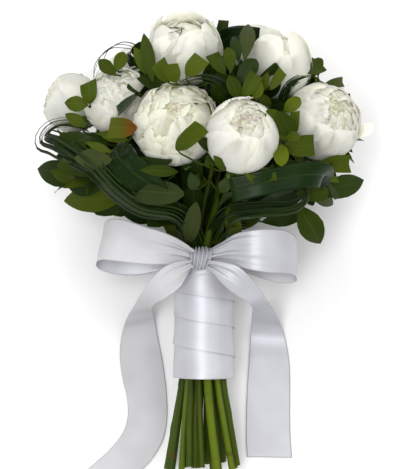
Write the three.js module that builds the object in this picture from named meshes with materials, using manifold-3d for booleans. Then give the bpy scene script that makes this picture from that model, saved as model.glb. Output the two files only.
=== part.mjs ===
// A hand-tied bunch of white peonies with leafy sprigs, folded strap leaves and looped grass,
// bound with tape, wrapped in satin ribbon and finished with a bow. It lies on its back on a
// flat surface, bow upwards, resting on the rear blooms and leaves, the cut stem ends and the ribbon tails.
//
// Units are millimetres. The bunch is laid out in its own frame, with +Y up along the stems from the
// binding point, +X to the right of the bow and +Z out of the bow's front. A group then tilts it to the
// pose it takes when lying down, with the surface at Z = 0.
import * as THREE from "three";
import { mergeVertices } from "three/addons/utils/BufferGeometryUtils.js";
import Module from "manifold-3d";

const wasm = await Module();
wasm.setup();
const { Manifold, Mesh } = wasm;

// ---- driving dimensions (mm)
const STEM_SIDES = 6; // faces round a peony stem
const PEONY_STEM_R = 3.9;
const SPRIG_STEM_R = 3.0;
const LEAF_T = 1.0; // leaf blade
const STRAP_T = 1.4; // strap leaf blade
const RIBBON_W = 40; // satin ribbon, flat width
const RIBBON_T = 0.9; // satin ribbon, as a solid
const GRASS_R = 1.9; // a tied bundle of grass blades
const GAP = 0.4; // clearance kept between neighbours
const LIE_SLOPE = 0.2567; // slope of the resting surface along the stems, seen from the bunch
const LIE_Y = -192; // where the stem ends meet that surface
const LIE_Z = -35.3;
const LIE_ANGLE = Math.atan(LIE_SLOPE);
const BUNDLE_R = 24.77; // radius of the tied stems at the binding point
const WRAP_TOP = 7;
const WRAP_BOTTOM = -110;
const ORIGIN = new THREE.Vector3(3.867, -8.312, 81.930); // puts the middle of the footprint at the origin

// ---- layout tables
// bloom: centre, radius, direction it faces, how far it has opened (0 bud, 1 open), stretch along its axis
const BLOOMS = [
  { name: "peony_01", c: [-17.0,186.7,40.0], r: 33.5, d: [-0.08,0.797,0.598], open: 0.45, st: 0.95 },
  { name: "peony_02", c: [48.6,189.5,-30.0], r: 30.5, d: [0.15,0.968,-0.2], open: 0.35, st: 1.0 },
  { name: "peony_03", c: [66.7,172.3,40.0], r: 28.0, d: [0.12,0.9,0.42], open: 0.3, st: 1.05 },
  { name: "peony_04", c: [105.9,122.5,46.0], r: 35.0, d: [0.381,0.381,0.842], open: 0.4, st: 1.0 },
  { name: "peony_05", c: [33.1,105.8,110.0], r: 31.5, d: [0.14,0.459,0.878], open: 0.15, st: 1.08 },
  { name: "peony_06", c: [-25.4,119.0,75.0], r: 37.5, d: [-0.02,0.28,0.96], open: 1.0, st: 0.9 },
  { name: "peony_07", c: [-77.0,141.7,27.0], r: 32.0, d: [-0.221,0.522,0.824], open: 0.8, st: 0.95 },
  { name: "peony_08", c: [-122.4,143.5,-14.0], r: 27.5, d: [-0.911,0.384,0.152], open: 0.35, st: 1.0 },
  { name: "peony_09", c: [-63.0,169.5,-37.0], r: 30.0, d: [-0.449,0.858,-0.249], open: 0.5, st: 1.0 },
  { name: "peony_10", c: [69.2,134.8,-85.5], r: 34.0, d: [0.419,0.299,-0.857], open: 0.5, st: 0.95 },
  { name: "peony_11", c: [-54.1,130.0,-85.0], r: 34.0, d: [-0.419,0.299,-0.857], open: 0.4, st: 0.95 },
];
// stems, from the cut end up
const STEMS = [
  { name: "peony_01", kind: "peony", path: [[1.8,-191.2,-18.6],[2.9,-150.0,-15.0],[3.4,-108.0,-11.3],[3.5,-50.0,-10.8],[3.7,0.0,-10.4],[3.1,34.1,-12.5],[-0.6,69.5,-10.5],[-5.8,104.1,-4.2],[-11.0,136.0,6.7],[-14.6,163.1,22.3]] },
  { name: "peony_02", kind: "peony", path: [[15.0,-190.0,-24.2],[14.0,-150.0,-18.7],[12.2,-108.0,-13.4],[12.0,-50.0,-12.5],[12.0,0.0,-11.9],[17.7,32.8,-15.2],[24.6,66.3,-16.7],[32.0,99.6,-17.9],[38.9,131.8,-20.0],[44.3,162.0,-24.3]] },
  { name: "peony_03", kind: "peony", path: [[13.5,-189.1,-10.1],[11.8,-150.0,-7.3],[9.6,-108.0,-4.8],[9.3,-50.0,-4.3],[9.2,0.0,-4.0],[16.5,31.4,-3.5],[29.1,62.2,0.6],[43.5,92.1,7.6],[56.1,120.7,17.1],[63.4,147.7,28.5]] },
  { name: "peony_04", kind: "peony", path: [[26.2,-191.2,-3.3],[21.5,-150.0,-0.7],[16.7,-108.0,1.1],[15.9,-50.0,1.5],[15.5,0.0,1.8],[25.3,26.9,0.6],[42.0,53.3,-1.8],[61.7,77.3,-1.9],[80.2,96.9,3.7],[93.5,110.1,18.6]] },
  { name: "peony_05", kind: "peony", path: [[10.7,-194.6,29.9],[6.1,-150.0,24.8],[2.9,-108.0,19.6],[2.2,-50.0,18.8],[1.7,0.0,18.4],[4.3,22.2,25.3],[10.1,43.5,35.7],[17.3,63.0,49.1],[24.1,79.3,64.8],[28.7,91.3,82.2]] },
  { name: "peony_06", kind: "peony", path: [[-7.9,-191.5,14.2],[-7.5,-150.0,10.9],[-6.6,-108.0,7.8],[-6.5,-50.0,7.3],[-6.5,0.0,7.0],[-9.5,25.4,8.9],[-14.1,52.7,11.9],[-18.9,78.3,17.8],[-22.9,98.7,28.2],[-24.8,110.2,44.9]] },
  { name: "peony_07", kind: "peony", path: [[-19.6,-193.1,-7.0],[-15.2,-150.0,-7.2],[-11.2,-108.0,-6.6],[-10.5,-50.0,-6.7],[-10.1,0.0,-6.7],[-17.7,28.8,-10.4],[-31.2,58.2,-14.7],[-47.0,86.0,-16.1],[-61.4,109.6,-11.1],[-70.7,126.9,3.7]] },
  { name: "peony_08", kind: "peony", path: [[-30.2,-195.7,3.2],[-24.3,-150.0,0.1],[-18.8,-108.0,-1.8],[-17.9,-50.0,-2.2],[-17.4,0.0,-2.6],[-25.9,31.7,-5.4],[-38.4,63.8,-10.7],[-54.8,93.4,-16.0],[-75.1,117.7,-19.2],[-99.1,133.7,-17.9]] },
  { name: "peony_09", kind: "peony", path: [[-33.6,-195.5,-11.3],[-25.8,-150.0,-11.8],[-19.1,-108.0,-11.0],[-18.0,-50.0,-11.0],[-17.3,0.0,-11.2],[-22.6,29.9,-14.6],[-27.4,60.9,-17.4],[-32.9,91.5,-20.4],[-40.2,120.2,-24.4],[-50.4,145.5,-30.0]] },
  { name: "peony_10", kind: "peony", path: [[3.7,-189.3,-32.6],[5.4,-150.0,-26.4],[6.1,-108.0,-20.0],[6.4,-50.0,-19.0],[6.7,0.0,-18.3],[11.6,29.3,-23.0],[20.7,60.3,-26.7],[32.4,89.2,-32.3],[45.0,112.3,-42.4],[56.7,125.8,-59.7]] },
  { name: "peony_11", kind: "peony", path: [[-20.0,-193.0,-21.4],[-14.4,-150.0,-18.8],[-9.8,-108.0,-15.6],[-8.9,-50.0,-15.2],[-8.3,0.0,-15.0],[-11.8,27.9,-19.3],[-17.1,57.7,-24.1],[-23.9,85.6,-31.1],[-32.1,108.0,-42.2],[-41.5,121.0,-59.2]] },
  { name: "sprig_01", kind: "sprig", path: [[-20.6,-194.8,16.7],[-17.8,-150.0,11.6],[-14.6,-108.0,7.6],[-14.2,-50.0,6.9],[-14.0,0.0,6.4],[-22.6,21.9,9.5],[-38.5,40.7,14.7],[-58.8,56.4,21.1],[-80.6,69.4,28.2],[-100.9,79.8,35.0]] },
  { name: "sprig_02", kind: "sprig", path: [[-13.4,-189.2,25.3],[-12.9,-150.0,19.7],[-11.4,-108.0,14.3],[-11.3,-50.0,13.4],[-11.3,0.0,12.8],[-17.2,16.9,16.8],[-28.5,31.4,23.0],[-43.1,43.5,30.7],[-58.8,52.9,39.2],[-73.3,59.7,48.0]] },
  { name: "sprig_03", kind: "sprig", path: [[-17.3,-191.7,5.6],[-14.4,-150.0,3.2],[-11.4,-108.0,1.4],[-10.9,-50.0,1.0],[-10.7,0.0,0.7],[-19.6,31.0,1.3],[-36.1,60.1,2.2],[-57.5,87.1,3.4],[-80.6,111.8,4.7],[-102.7,133.9,6.0]] },
  { name: "sprig_04", kind: "sprig", path: [[-6.8,-189.6,-9.4],[-4.9,-150.0,-8.2],[-3.2,-108.0,-6.7],[-2.9,-50.0,-6.5],[-2.6,0.0,-6.4],[-7.1,36.7,-7.2],[-16.8,73.4,-5.1],[-29.7,109.4,-1.6],[-43.7,143.9,1.9],[-56.9,176.3,4.0]] },
  { name: "sprig_05", kind: "sprig", path: [[7.0,-195.1,0.5],[5.5,-150.0,1.0],[4.2,-108.0,1.2],[4.0,-50.0,1.2],[3.9,0.0,1.3],[3.6,33.0,5.8],[0.6,65.6,16.6],[-4.0,97.1,31.3],[-8.7,127.2,47.2],[-12.3,155.3,62.0]] },
  { name: "sprig_06", kind: "sprig", path: [[12.2,-195.0,17.2],[8.3,-150.0,14.7],[5.3,-108.0,12.0],[4.8,-50.0,11.6],[4.4,0.0,11.4],[7.4,33.9,17.9],[12.2,67.7,27.4],[18.4,100.6,39.2],[25.2,131.8,52.3],[32.1,160.3,66.0]] },
  { name: "sprig_07", kind: "sprig", path: [[22.9,-193.0,20.0],[16.9,-150.0,17.9],[11.7,-108.0,15.0],[10.8,-50.0,14.7],[10.2,0.0,14.6],[16.3,27.8,22.0],[26.7,54.0,33.3],[39.8,78.3,47.2],[54.1,100.0,62.5],[67.9,118.9,78.0]] },
  { name: "sprig_08", kind: "sprig", path: [[22.5,-194.6,8.7],[17.3,-150.0,8.8],[12.7,-108.0,8.0],[11.9,-50.0,8.0],[11.4,0.0,8.1],[19.0,20.3,12.2],[33.7,37.2,19.5],[52.6,50.9,28.6],[72.8,61.9,38.5],[91.5,70.4,48.0]] },
  { name: "sprig_09", kind: "sprig", path: [[25.2,-195.1,-16.5],[21.4,-150.0,-11.1],[17.3,-108.0,-6.9],[16.8,-50.0,-6.2],[16.5,0.0,-5.6],[27.6,35.7,-7.6],[45.1,70.0,-9.0],[66.7,102.4,-10.3],[90.1,132.4,-11.8],[113.1,159.3,-14.0]] },
  { name: "sprig_10", kind: "sprig", path: [[-1.8,-189.9,25.1],[-3.3,-150.0,20.3],[-4.1,-108.0,15.5],[-4.3,-50.0,14.7],[-4.5,0.0,14.2],[-4.3,20.7,21.9],[-1.9,39.2,35.8],[1.5,55.2,53.7],[4.9,68.7,73.2],[7.2,79.7,92.0]] },
  { name: "sprig_11", kind: "sprig", path: [[-8.5,-196.0,-28.1],[-4.4,-150.0,-23.0],[-1.7,-108.0,-18.1],[-1.1,-50.0,-17.4],[-0.7,0.0,-17.0],[-0.3,31.5,-24.2],[1.3,63.2,-33.3],[3.4,94.3,-44.0],[5.6,123.6,-56.3],[7.5,150.2,-70.0]] },
];
// leaf whorls: sprig number, where the twig leaves the stem, whorl centre
const WHORLS = [
  [5,[25.2,131.8,52.3],[13.7,188.5,4.0]],
  [3,[-43.7,143.9,1.9],[-17.8,187.3,0.0]],
  [3,[-40.2,135.3,1.0],[-23.8,178.1,-30.0]],
  [10,[5.9,127.0,-58.0],[19.0,169.0,-38.4]],
  [10,[5.4,120.0,-54.7],[56.6,154.3,-38.1]],
  [10,[4.8,112.6,-51.7],[-38.1,145.2,-48.0]],
  [8,[81.3,121.2,-11.2],[81.7,157.1,12.9]],
  [8,[78.4,117.4,-11.0],[81.2,149.6,-23.7]],
  [2,[-74.8,105.6,4.4],[-78.0,136.4,-40.2]],
  [8,[78.4,117.4,-11.0],[97.7,137.6,-2.0]],
  [10,[4.8,112.6,-51.7],[0.5,134.7,-69.8]],
  [10,[4.2,105.3,-48.6],[34.9,122.1,-68.2]],
  [10,[3.7,98.0,-45.5],[-19.2,113.6,-72.7]],
  [10,[3.4,94.3,-44.0],[70.7,108.5,-54.8]],
  [9,[5.2,70.1,75.5],[4.7,90.8,90.4]],
  [2,[-60.3,90.2,3.6],[-76.9,107.7,-53.7]],
  [7,[84.5,67.2,44.4],[109.6,106.2,8.5]],
  [10,[3.4,94.3,-44.0],[15.2,103.2,-76.7]],
  [2,[-71.9,102.5,4.2],[-107.7,100.2,-14.3]],
  [8,[61.3,94.3,-10.0],[96.3,98.7,-36.4]],
  [10,[2.6,82.7,-40.0],[-45.5,93.5,-69.7]],
  [7,[79.8,65.1,42.1],[100.5,82.5,36.1]],
  [0,[-88.2,73.3,30.7],[-104.6,92.7,33.9]],
  [10,[2.6,82.7,-40.0],[52.1,91.3,-68.5]],
  [2,[-60.3,90.2,3.6],[-93.0,88.3,-40.7]],
  [10,[2.3,78.8,-38.6],[-8.6,83.8,-77.5]],
  [8,[50.5,78.1,-9.3],[81.8,79.3,-50.4]],
  [2,[-44.1,70.3,2.7],[-65.8,76.3,-60.8]],
  [0,[-77.8,67.7,27.3],[-92.4,73.3,50.5]],
  [10,[1.8,71.0,-35.9],[29.2,71.8,-73.3]],
  [10,[1.1,59.3,-32.1],[-30.8,64.3,-71.3]],
  [10,[1.1,59.3,-32.1],[61.1,59.8,-58.9]],
  [10,[0.7,51.3,-29.9],[5.7,52.3,-70.8]],
];
// leaves: sprig number, where the stalk starts, blade base, middle, tip, blade normal, blade width, whorl number or -1
const LEAVES = [
  [3,[-48.7,156.1,2.7],[-44.9,155.6,84.5],[-49.5,180.1,70.9],[-53.5,200.8,51.8],[-0.11,0.57,0.81],11.6,-1],
  [3,[-48.7,156.1,2.7],[-44.9,158.9,72.5],[-53.8,174.2,68.7],[-62.1,188.3,60.8],[-0.16,0.28,0.95],11.6,-1],
  [4,[-12.3,155.3,62.0],[-32.1,154.6,93.1],[-35.8,162.9,96.5],[-39.8,171.7,97.6],[0.1,-0.21,0.97],13.1,-1],
  [4,[-12.3,155.3,62.0],[-24.1,153.4,98.3],[-26.6,161.0,102.5],[-29.2,169.3,104.6],[0.11,-0.34,0.94],13.0,-1],
  [4,[-12.3,155.3,62.0],[-15.4,159.4,98.4],[-8.7,166.7,102.7],[-1.5,174.5,104.6],[-0.2,-0.21,0.96],14.7,-1],
  [3,[-55.2,172.2,3.7],[-78.8,163.7,51.5],[-87.8,172.4,42.7],[-95.5,179.8,36.4],[-0.39,0.38,0.84],11.7,-1],
  [3,[-56.9,176.3,4.0],[-79.0,167.7,47.1],[-75.3,176.5,44.5],[-71.6,185.2,46.3],[0.02,0.04,1.0],11.7,-1],
  [2,[-102.7,133.9,6.0],[-101.5,138.0,55.5],[-102.2,147.3,58.9],[-103.0,157.2,59.9],[0.02,-0.22,0.97],14.2,-1],
  [2,[-102.7,133.9,6.0],[-103.3,137.1,54.7],[-114.4,138.2,54.0],[-125.1,139.2,50.7],[-0.18,0.02,0.98],13.4,-1],
  [2,[-94.4,125.6,5.5],[-105.2,118.5,53.1],[-114.6,123.9,54.2],[-124.0,129.2,52.7],[-0.01,0.01,1.0],10.7,-1],
  [0,[-93.3,75.9,32.4],[-58.0,114.2,99.5],[-69.8,114.0,103.1],[-82.1,113.9,103.9],[0.18,0.0,0.98],17.3,-1],
  [0,[-93.3,75.9,32.4],[-66.2,104.1,91.6],[-79.1,107.1,94.2],[-92.2,110.1,93.7],[0.07,-0.02,1.0],9.6,-1],
  [0,[-98.4,78.5,34.1],[-80.7,94.1,80.1],[-92.6,98.5,81.6],[-104.4,102.9,80.1],[-0.0,0.0,1.0],7.0,-1],
  [0,[-100.9,79.8,35.0],[-99.6,107.6,57.3],[-117.1,103.6,54.4],[-133.4,100.0,47.3],[-0.27,-0.06,0.96],19.7,-1],
  [0,[-93.3,75.9,32.4],[-81.0,87.3,74.4],[-98.1,88.3,74.5],[-114.7,89.2,70.6],[-0.11,0.01,0.99],17.7,-1],
  [0,[-95.8,77.2,33.3],[-104.5,70.7,36.1],[-131.2,76.8,24.1],[-154.5,82.1,6.0],[-0.49,0.11,0.86],23.8,-1],
  [0,[-100.9,79.8,35.0],[-113.2,68.8,41.4],[-126.3,74.4,40.3],[-138.8,79.8,35.8],[-0.18,0.08,0.98],11.7,-1],
  [1,[-66.0,56.3,43.6],[-68.1,56.2,44.1],[-101.6,54.1,28.8],[-130.6,52.3,6.0],[-0.52,-0.03,0.85],23.8,-1],
  [1,[-73.3,59.7,48.0],[-89.2,64.9,52.5],[-107.9,65.2,45.5],[-124.5,65.4,34.2],[-0.46,0.01,0.89],18.1,-1],
  [1,[-67.9,57.1,44.7],[-27.6,86.3,99.6],[-49.2,89.8,103.1],[-71.0,93.2,101.4],[0.04,-0.01,1.0],19.1,-1],
  [1,[-62.4,54.6,41.4],[-22.3,75.8,103.7],[-38.1,76.5,110.2],[-54.9,77.2,112.9],[0.27,-0.01,0.96],10.3,-1],
  [1,[-73.3,59.7,48.0],[-73.9,60.8,75.2],[-47.1,58.9,91.7],[-17.1,56.8,101.4],[-0.42,0.03,0.91],20.8,-1],
  [9,[7.2,79.7,92.0],[-23.8,94.2,119.2],[-14.2,102.4,133.6],[-2.2,112.6,144.5],[-0.51,-0.43,0.75],14.4,-1],
  [9,[7.2,79.7,92.0],[9.8,94.7,107.9],[2.5,99.3,119.1],[-6.6,105.1,125.0],[0.56,-0.36,0.75],10.3,-1],
  [9,[7.2,79.7,92.0],[15.9,95.0,101.2],[9.2,88.8,110.4],[1.1,81.4,117.3],[0.46,0.42,0.78],12.0,-1],
  [9,[7.2,79.7,92.0],[19.2,77.3,117.1],[14.6,82.3,125.2],[8.8,88.6,130.5],[0.45,-0.48,0.75],7.7,-1],
  [9,[5.2,70.1,75.5],[-6.8,60.5,90.3],[-8.8,66.6,103.1],[-11.8,75.5,114.0],[0.26,-0.79,0.56],10.3,-1],
  [9,[5.2,70.1,75.5],[14.2,58.8,87.8],[18.5,64.4,100.2],[24.4,72.1,110.5],[-0.49,-0.64,0.59],10.4,-1],
  [5,[32.1,160.3,66.0],[36.0,174.1,90.4],[38.6,196.2,68.4],[40.5,212.6,41.7],[0.09,0.78,0.62],13.5,-1],
  [5,[32.1,160.3,66.0],[30.8,172.5,88.3],[28.1,186.0,82.4],[25.8,197.7,73.4],[-0.1,0.49,0.87],9.7,-1],
  [5,[32.1,160.3,66.0],[23.7,163.0,97.7],[22.6,174.5,96.1],[21.6,185.3,91.9],[-0.02,0.25,0.97],10.5,-1],
  [5,[32.1,160.3,66.0],[18.5,161.5,94.9],[12.9,170.1,96.6],[7.2,178.8,95.9],[0.03,-0.04,1.0],11.3,-1],
  [5,[32.1,160.3,66.0],[29.8,152.4,100.2],[37.6,163.2,102.1],[45.4,174.0,100.8],[-0.01,-0.02,1.0],14.8,-1],
  [5,[30.4,153.2,62.6],[31.4,137.8,109.2],[26.8,147.3,115.2],[21.7,157.8,118.5],[0.17,-0.35,0.92],12.0,-1],
  [5,[31.2,156.7,64.3],[34.8,139.4,111.8],[39.8,149.5,114.6],[45.0,159.9,114.6],[-0.06,-0.11,0.99],12.1,-1],
  [5,[31.2,156.7,64.3],[43.5,138.9,106.4],[46.8,145.7,110.0],[50.3,153.2,111.8],[-0.14,-0.29,0.95],9.5,-1],
  [5,[31.2,156.7,64.3],[50.8,145.9,93.1],[53.3,154.3,96.1],[55.9,163.0,97.0],[-0.06,-0.2,0.98],7.8,-1],
  [5,[32.1,160.3,66.0],[57.9,147.9,89.9],[63.5,156.2,91.4],[69.2,164.5,90.5],[-0.02,-0.02,1.0],8.7,-1],
  [5,[29.5,149.6,60.9],[57.7,131.8,95.9],[52.8,137.6,103.6],[46.9,144.7,109.2],[0.4,-0.48,0.78],9.5,-1],
  [6,[67.9,118.9,78.0],[69.8,128.2,97.8],[76.6,134.0,100.4],[83.6,140.1,100.9],[-0.13,-0.11,0.99],11.3,-1],
  [6,[67.9,118.9,78.0],[73.0,103.4,105.9],[64.8,114.7,118.6],[55.0,128.0,127.7],[0.34,-0.47,0.81],17.1,-1],
  [6,[67.9,118.9,78.0],[76.5,105.2,104.3],[71.5,114.5,117.8],[65.2,126.3,128.4],[0.34,-0.63,0.7],13.7,-1],
  [6,[67.9,118.9,78.0],[78.5,107.3,98.0],[78.7,116.9,103.9],[79.0,127.6,107.3],[-0.01,-0.42,0.91],7.8,-1],
  [6,[67.9,118.9,78.0],[67.7,108.5,108.5],[75.4,106.7,112.5],[83.8,104.7,114.6],[-0.34,0.08,0.94],8.6,-1],
  [6,[66.2,116.5,76.1],[67.9,96.7,102.0],[81.9,98.0,103.1],[95.8,99.3,100.8],[0.04,0.0,1.0],17.4,-1],
  [6,[67.9,118.9,78.0],[66.0,99.9,106.3],[66.5,91.1,115.3],[67.2,80.4,121.9],[-0.04,0.62,0.78],12.9,-1],
  [6,[48.7,91.9,56.8],[50.7,63.8,96.2],[44.8,67.8,109.9],[36.3,73.5,121.5],[0.69,-0.46,0.56],7.7,-1],
  [6,[46.9,89.1,54.9],[41.9,67.2,100.8],[51.3,69.4,108.7],[62.3,72.0,114.1],[-0.52,-0.12,0.84],6.9,-1],
  [7,[91.5,70.4,48.0],[101.3,84.1,64.7],[116.0,84.3,61.1],[129.5,84.5,54.0],[0.35,0.0,0.94],15.2,-1],
  [7,[91.5,70.4,48.0],[103.0,77.0,65.9],[112.4,72.4,61.3],[120.6,68.4,54.4],[0.46,-0.22,0.86],7.1,-1],
  [7,[86.8,68.3,45.6],[103.1,58.2,32.5],[126.4,65.3,22.0],[146.7,71.6,6.0],[0.48,0.15,0.87],20.2,-1],
  [7,[82.1,66.1,43.3],[81.9,57.6,62.0],[97.9,58.6,58.8],[112.7,59.6,51.8],[0.31,0.02,0.95],15.2,-1],
  [7,[86.8,68.3,45.6],[95.4,56.2,40.5],[109.3,52.6,24.7],[119.2,50.0,6.0],[0.79,-0.21,0.58],11.0,-1],
  [7,[75.1,62.9,39.7],[85.9,47.4,32.0],[97.7,28.1,21.5],[107.8,11.5,6.0],[0.27,-0.45,0.85],22.0,-1],
  [8,[101.6,145.8,-12.9],[91.7,165.7,53.1],[100.4,171.6,37.7],[106.8,175.9,29.9],[0.65,0.44,0.62],13.6,-1],
  [8,[104.5,149.2,-13.2],[106.7,155.7,32.8],[118.6,159.0,20.7],[127.5,161.4,6.0],[0.75,0.21,0.63],9.2,-1],
  [8,[104.5,149.2,-13.2],[120.3,144.1,18.0],[127.5,145.2,16.7],[134.3,146.2,13.8],[0.28,0.04,0.96],8.2,-1],
  [8,[101.6,145.8,-12.9],[128.0,128.1,11.7],[135.3,128.7,10.5],[142.0,129.2,7.5],[0.28,0.02,0.96],9.2,-1],
  [7,[91.5,70.4,48.0],[119.5,89.0,30.2],[125.2,91.4,34.3],[131.7,94.1,36.8],[-0.41,-0.17,0.9],7.2,-1],
  [8,[107.4,152.6,-13.4],[103.6,165.5,23.9],[102.8,174.4,21.5],[102.1,182.5,17.0],[-0.03,0.38,0.93],8.2,-1],
  [7,[40.8,42.3,22.9],[52.8,33.0,20.0],[74.0,36.8,15.5],[93.6,40.4,6.0],[0.32,0.06,0.95],14.7,-1],
  [1,[-16.5,14.8,16.3],[-25.5,16.6,16.0],[-31.2,29.4,39.8],[-39.0,47.0,59.5],[0.32,-0.73,0.61],9.8,-1],
  [9,[-4.4,12.9,19.0],[-14.5,13.9,20.5],[-11.4,27.3,51.7],[-6.9,47.6,78.7],[-0.19,-0.84,0.51],14.1,-1],
  [9,[-4.4,12.9,19.0],[29.2,16.6,16.1],[26.9,28.5,48.4],[23.1,47.6,77.0],[0.17,-0.87,0.46],13.2,-1],
  [1,[-34.0,35.9,25.9],[-47.2,33.0,20.8],[-61.6,38.9,29.5],[-77.5,45.5,34.3],[0.35,-0.15,0.93],12.6,-1],
  [7,[30.0,33.0,17.7],[36.3,29.3,27.7],[43.1,33.9,39.3],[52.0,40.0,48.7],[-0.61,-0.42,0.67],7.2,-1],
  [5,null,[14.1,191.5,4.3],[15.9,204.8,5.5],[17.7,218.0,7.0],[-0.66,0.16,-0.73],13.9,0],
  [5,null,[15.1,190.7,2.4],[21.7,201.9,-4.9],[29.2,212.3,-13.9],[-0.35,0.7,0.62],16.6,0],
  [3,null,[-18.3,190.3,0.2],[-20.5,205.6,0.9],[-22.7,220.9,1.8],[-0.87,-0.1,-0.47],14.8,1],
  [3,null,[-24.2,180.7,-31.4],[-26.5,195.1,-38.9],[-28.5,209.4,-46.6],[-0.61,-0.44,-0.66],15.7,2],
  [10,null,[19.6,171.2,-40.2],[22.9,183.6,-49.9],[26.2,195.7,-59.9],[0.27,0.56,0.79],15.7,3],
  [10,null,[58.2,156.5,-39.5],[66.6,168.2,-47.0],[74.9,180.1,-54.3],[0.11,-0.58,-0.8],13.7,4],
  [10,null,[-36.3,147.3,-49.2],[-29.5,156.8,-54.9],[-19.7,166.6,-59.7],[-0.74,0.31,-0.59],15.1,5],
  [8,null,[84.1,158.9,13.3],[96.4,168.5,15.7],[108.8,177.8,18.2],[-0.62,0.74,0.25],15.4,6],
  [8,null,[84.6,156.5,12.8],[99.8,154.6,12.3],[115.6,150.1,11.4],[0.21,0.97,0.15],16.1,6],
  [8,null,[83.2,151.6,-24.7],[91.8,160.1,-29.1],[100.3,168.8,-33.4],[0.35,-0.67,-0.65],13.8,7],
  [2,null,[-80.3,137.5,-41.8],[-94.1,144.5,-51.4],[-108.0,151.2,-60.9],[0.31,0.93,0.21],12.7,8],
  [8,null,[100.4,138.9,-2.0],[112.8,144.5,-2.2],[125.2,149.9,-2.1],[-0.38,0.86,0.35],16.4,9],
  [10,null,[0.4,135.7,-72.6],[-0.2,141.8,-88.1],[-1.0,147.6,-103.7],[0.32,0.89,0.33],14.0,10],
  [10,null,[34.8,120.1,-70.5],[34.7,109.7,-84.6],[33.6,96.5,-98.4],[0.38,0.7,-0.61],15.7,11],
  [10,null,[-18.3,116.1,-74.2],[-14.0,130.4,-83.8],[-8.2,146.6,-92.1],[-0.43,-0.35,-0.83],14.1,12],
  [10,null,[71.4,106.1,-56.5],[76.0,94.3,-66.3],[79.4,79.7,-75.7],[0.61,0.58,-0.54],16.3,13],
  [9,null,[2.5,89.6,92.1],[-5.6,84.8,99.9],[-16.1,78.7,106.4],[0.5,0.25,0.83],13.2,14],
  [9,null,[3.9,88.3,91.8],[-0.4,74.0,100.6],[-5.6,57.1,107.8],[0.18,0.41,0.9],16.9,14],
  [2,null,[-79.1,108.2,-55.6],[-92.4,110.9,-66.7],[-105.8,113.6,-77.7],[0.16,0.99,0.05],16.2,15],
  [7,null,[112.6,106.4,8.6],[126.5,107.2,9.2],[140.4,107.7,9.7],[-0.05,0.98,0.21],14.9,16],
  [7,null,[111.4,104.3,7.2],[123.0,93.6,-0.3],[133.3,80.6,-9.2],[0.8,0.52,0.3],13.3,16],
  [10,null,[15.4,103.5,-79.7],[16.1,104.6,-93.4],[16.6,105.7,-107.1],[0.33,0.94,0.09],13.6,17],
  [2,null,[-110.7,100.4,-14.7],[-122.6,101.2,-16.4],[-134.6,101.9,-17.8],[0.04,0.99,0.15],14.0,18],
  [8,null,[98.9,99.2,-37.8],[110.5,101.4,-44.5],[122.1,103.8,-51.2],[-0.03,-0.93,-0.37],13.8,19],
  [10,null,[-46.8,93.3,-72.3],[-54.9,92.1,-88.2],[-63.0,90.6,-104.0],[0.15,0.98,-0.16],14.2,20],
  [7,null,[103.4,82.4,37.0],[119.9,81.7,42.3],[136.6,81.3,47.3],[-0.01,-1.0,-0.09],15.8,21],
  [7,null,[103.2,83.3,37.2],[115.7,86.6,42.2],[128.0,91.0,47.2],[0.26,-0.96,0.09],15.0,21],
  [0,null,[-107.3,93.0,35.1],[-122.1,94.2,41.4],[-136.8,95.6,47.9],[-0.19,-0.95,-0.25],16.5,22],
  [0,null,[-107.2,93.8,32.8],[-120.3,98.4,27.8],[-133.3,104.1,20.6],[-0.5,-0.3,0.82],16.0,22],
  [10,null,[53.3,91.5,-71.2],[60.0,92.5,-85.8],[66.5,93.7,-100.4],[-0.31,-0.93,-0.21],14.0,23],
  [2,null,[-95.3,88.0,-42.5],[-107.4,86.5,-51.7],[-119.4,84.9,-61.0],[-0.09,0.99,-0.05],15.5,24],
  [10,null,[-9.7,86.0,-79.2],[-15.1,96.2,-88.2],[-21.4,108.9,-95.8],[0.13,-0.54,-0.83],15.3,25],
  [8,null,[84.1,78.6,-52.3],[97.9,74.6,-63.9],[111.7,70.4,-75.4],[0.39,0.91,0.14],15.9,26],
  [2,null,[-67.6,75.5,-63.0],[-76.8,71.8,-74.4],[-86.1,67.9,-85.8],[-0.04,0.96,-0.29],15.2,27],
  [0,null,[-94.8,72.8,52.3],[-107.9,70.1,62.1],[-120.8,67.5,72.2],[-0.09,-0.93,-0.37],15.8,28],
  [0,null,[-95.2,74.2,51.2],[-111.8,78.7,56.1],[-128.7,84.7,60.2],[-0.1,-0.81,0.58],15.4,28],
  [10,null,[30.0,71.5,-76.2],[33.6,69.9,-88.1],[37.1,68.7,-100.1],[-0.38,-0.92,-0.01],16.0,29],
  [10,null,[-31.9,63.3,-73.9],[-36.2,59.3,-84.7],[-40.7,55.2,-95.4],[0.17,0.9,-0.41],13.7,30],
  [10,null,[62.9,58.9,-61.1],[73.1,53.7,-72.7],[83.4,48.6,-84.1],[-0.47,-0.88,-0.02],14.3,31],
  [10,null,[6.6,53.8,-73.3],[10.3,58.7,-83.8],[14.7,66.3,-94.1],[-0.15,-0.82,-0.55],16.2,32],
  [0,[-66.9,61.3,23.8],[-82.7,71.2,-23.9],[-111.8,72.9,-31.1],[-141.0,64.7,-38.3],[-0.11,0.99,-0.03],22.6,-1],
  [0,[-53.7,52.5,19.5],[-67.4,67.4,-45.0],[-91.2,69.9,-58.5],[-114.9,62.5,-72.0],[-0.08,1.0,-0.04],24.0,-1],
  [10,[1.8,71.0,-35.9],[-44.0,68.7,-60.6],[-59.5,75.8,-78.8],[-75.0,72.9,-97.0],[0.06,1.0,0.07],21.3,-1],
  [10,[2.3,78.8,-38.6],[-15.3,73.4,-68.9],[-20.7,83.5,-86.5],[-26.0,83.6,-104.0],[0.08,0.96,0.26],23.2,-1],
  [10,[2.6,82.7,-40.0],[15.3,74.3,-68.9],[20.7,81.2,-85.8],[26.0,78.1,-102.6],[-0.03,0.99,0.1],23.0,-1],
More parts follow.
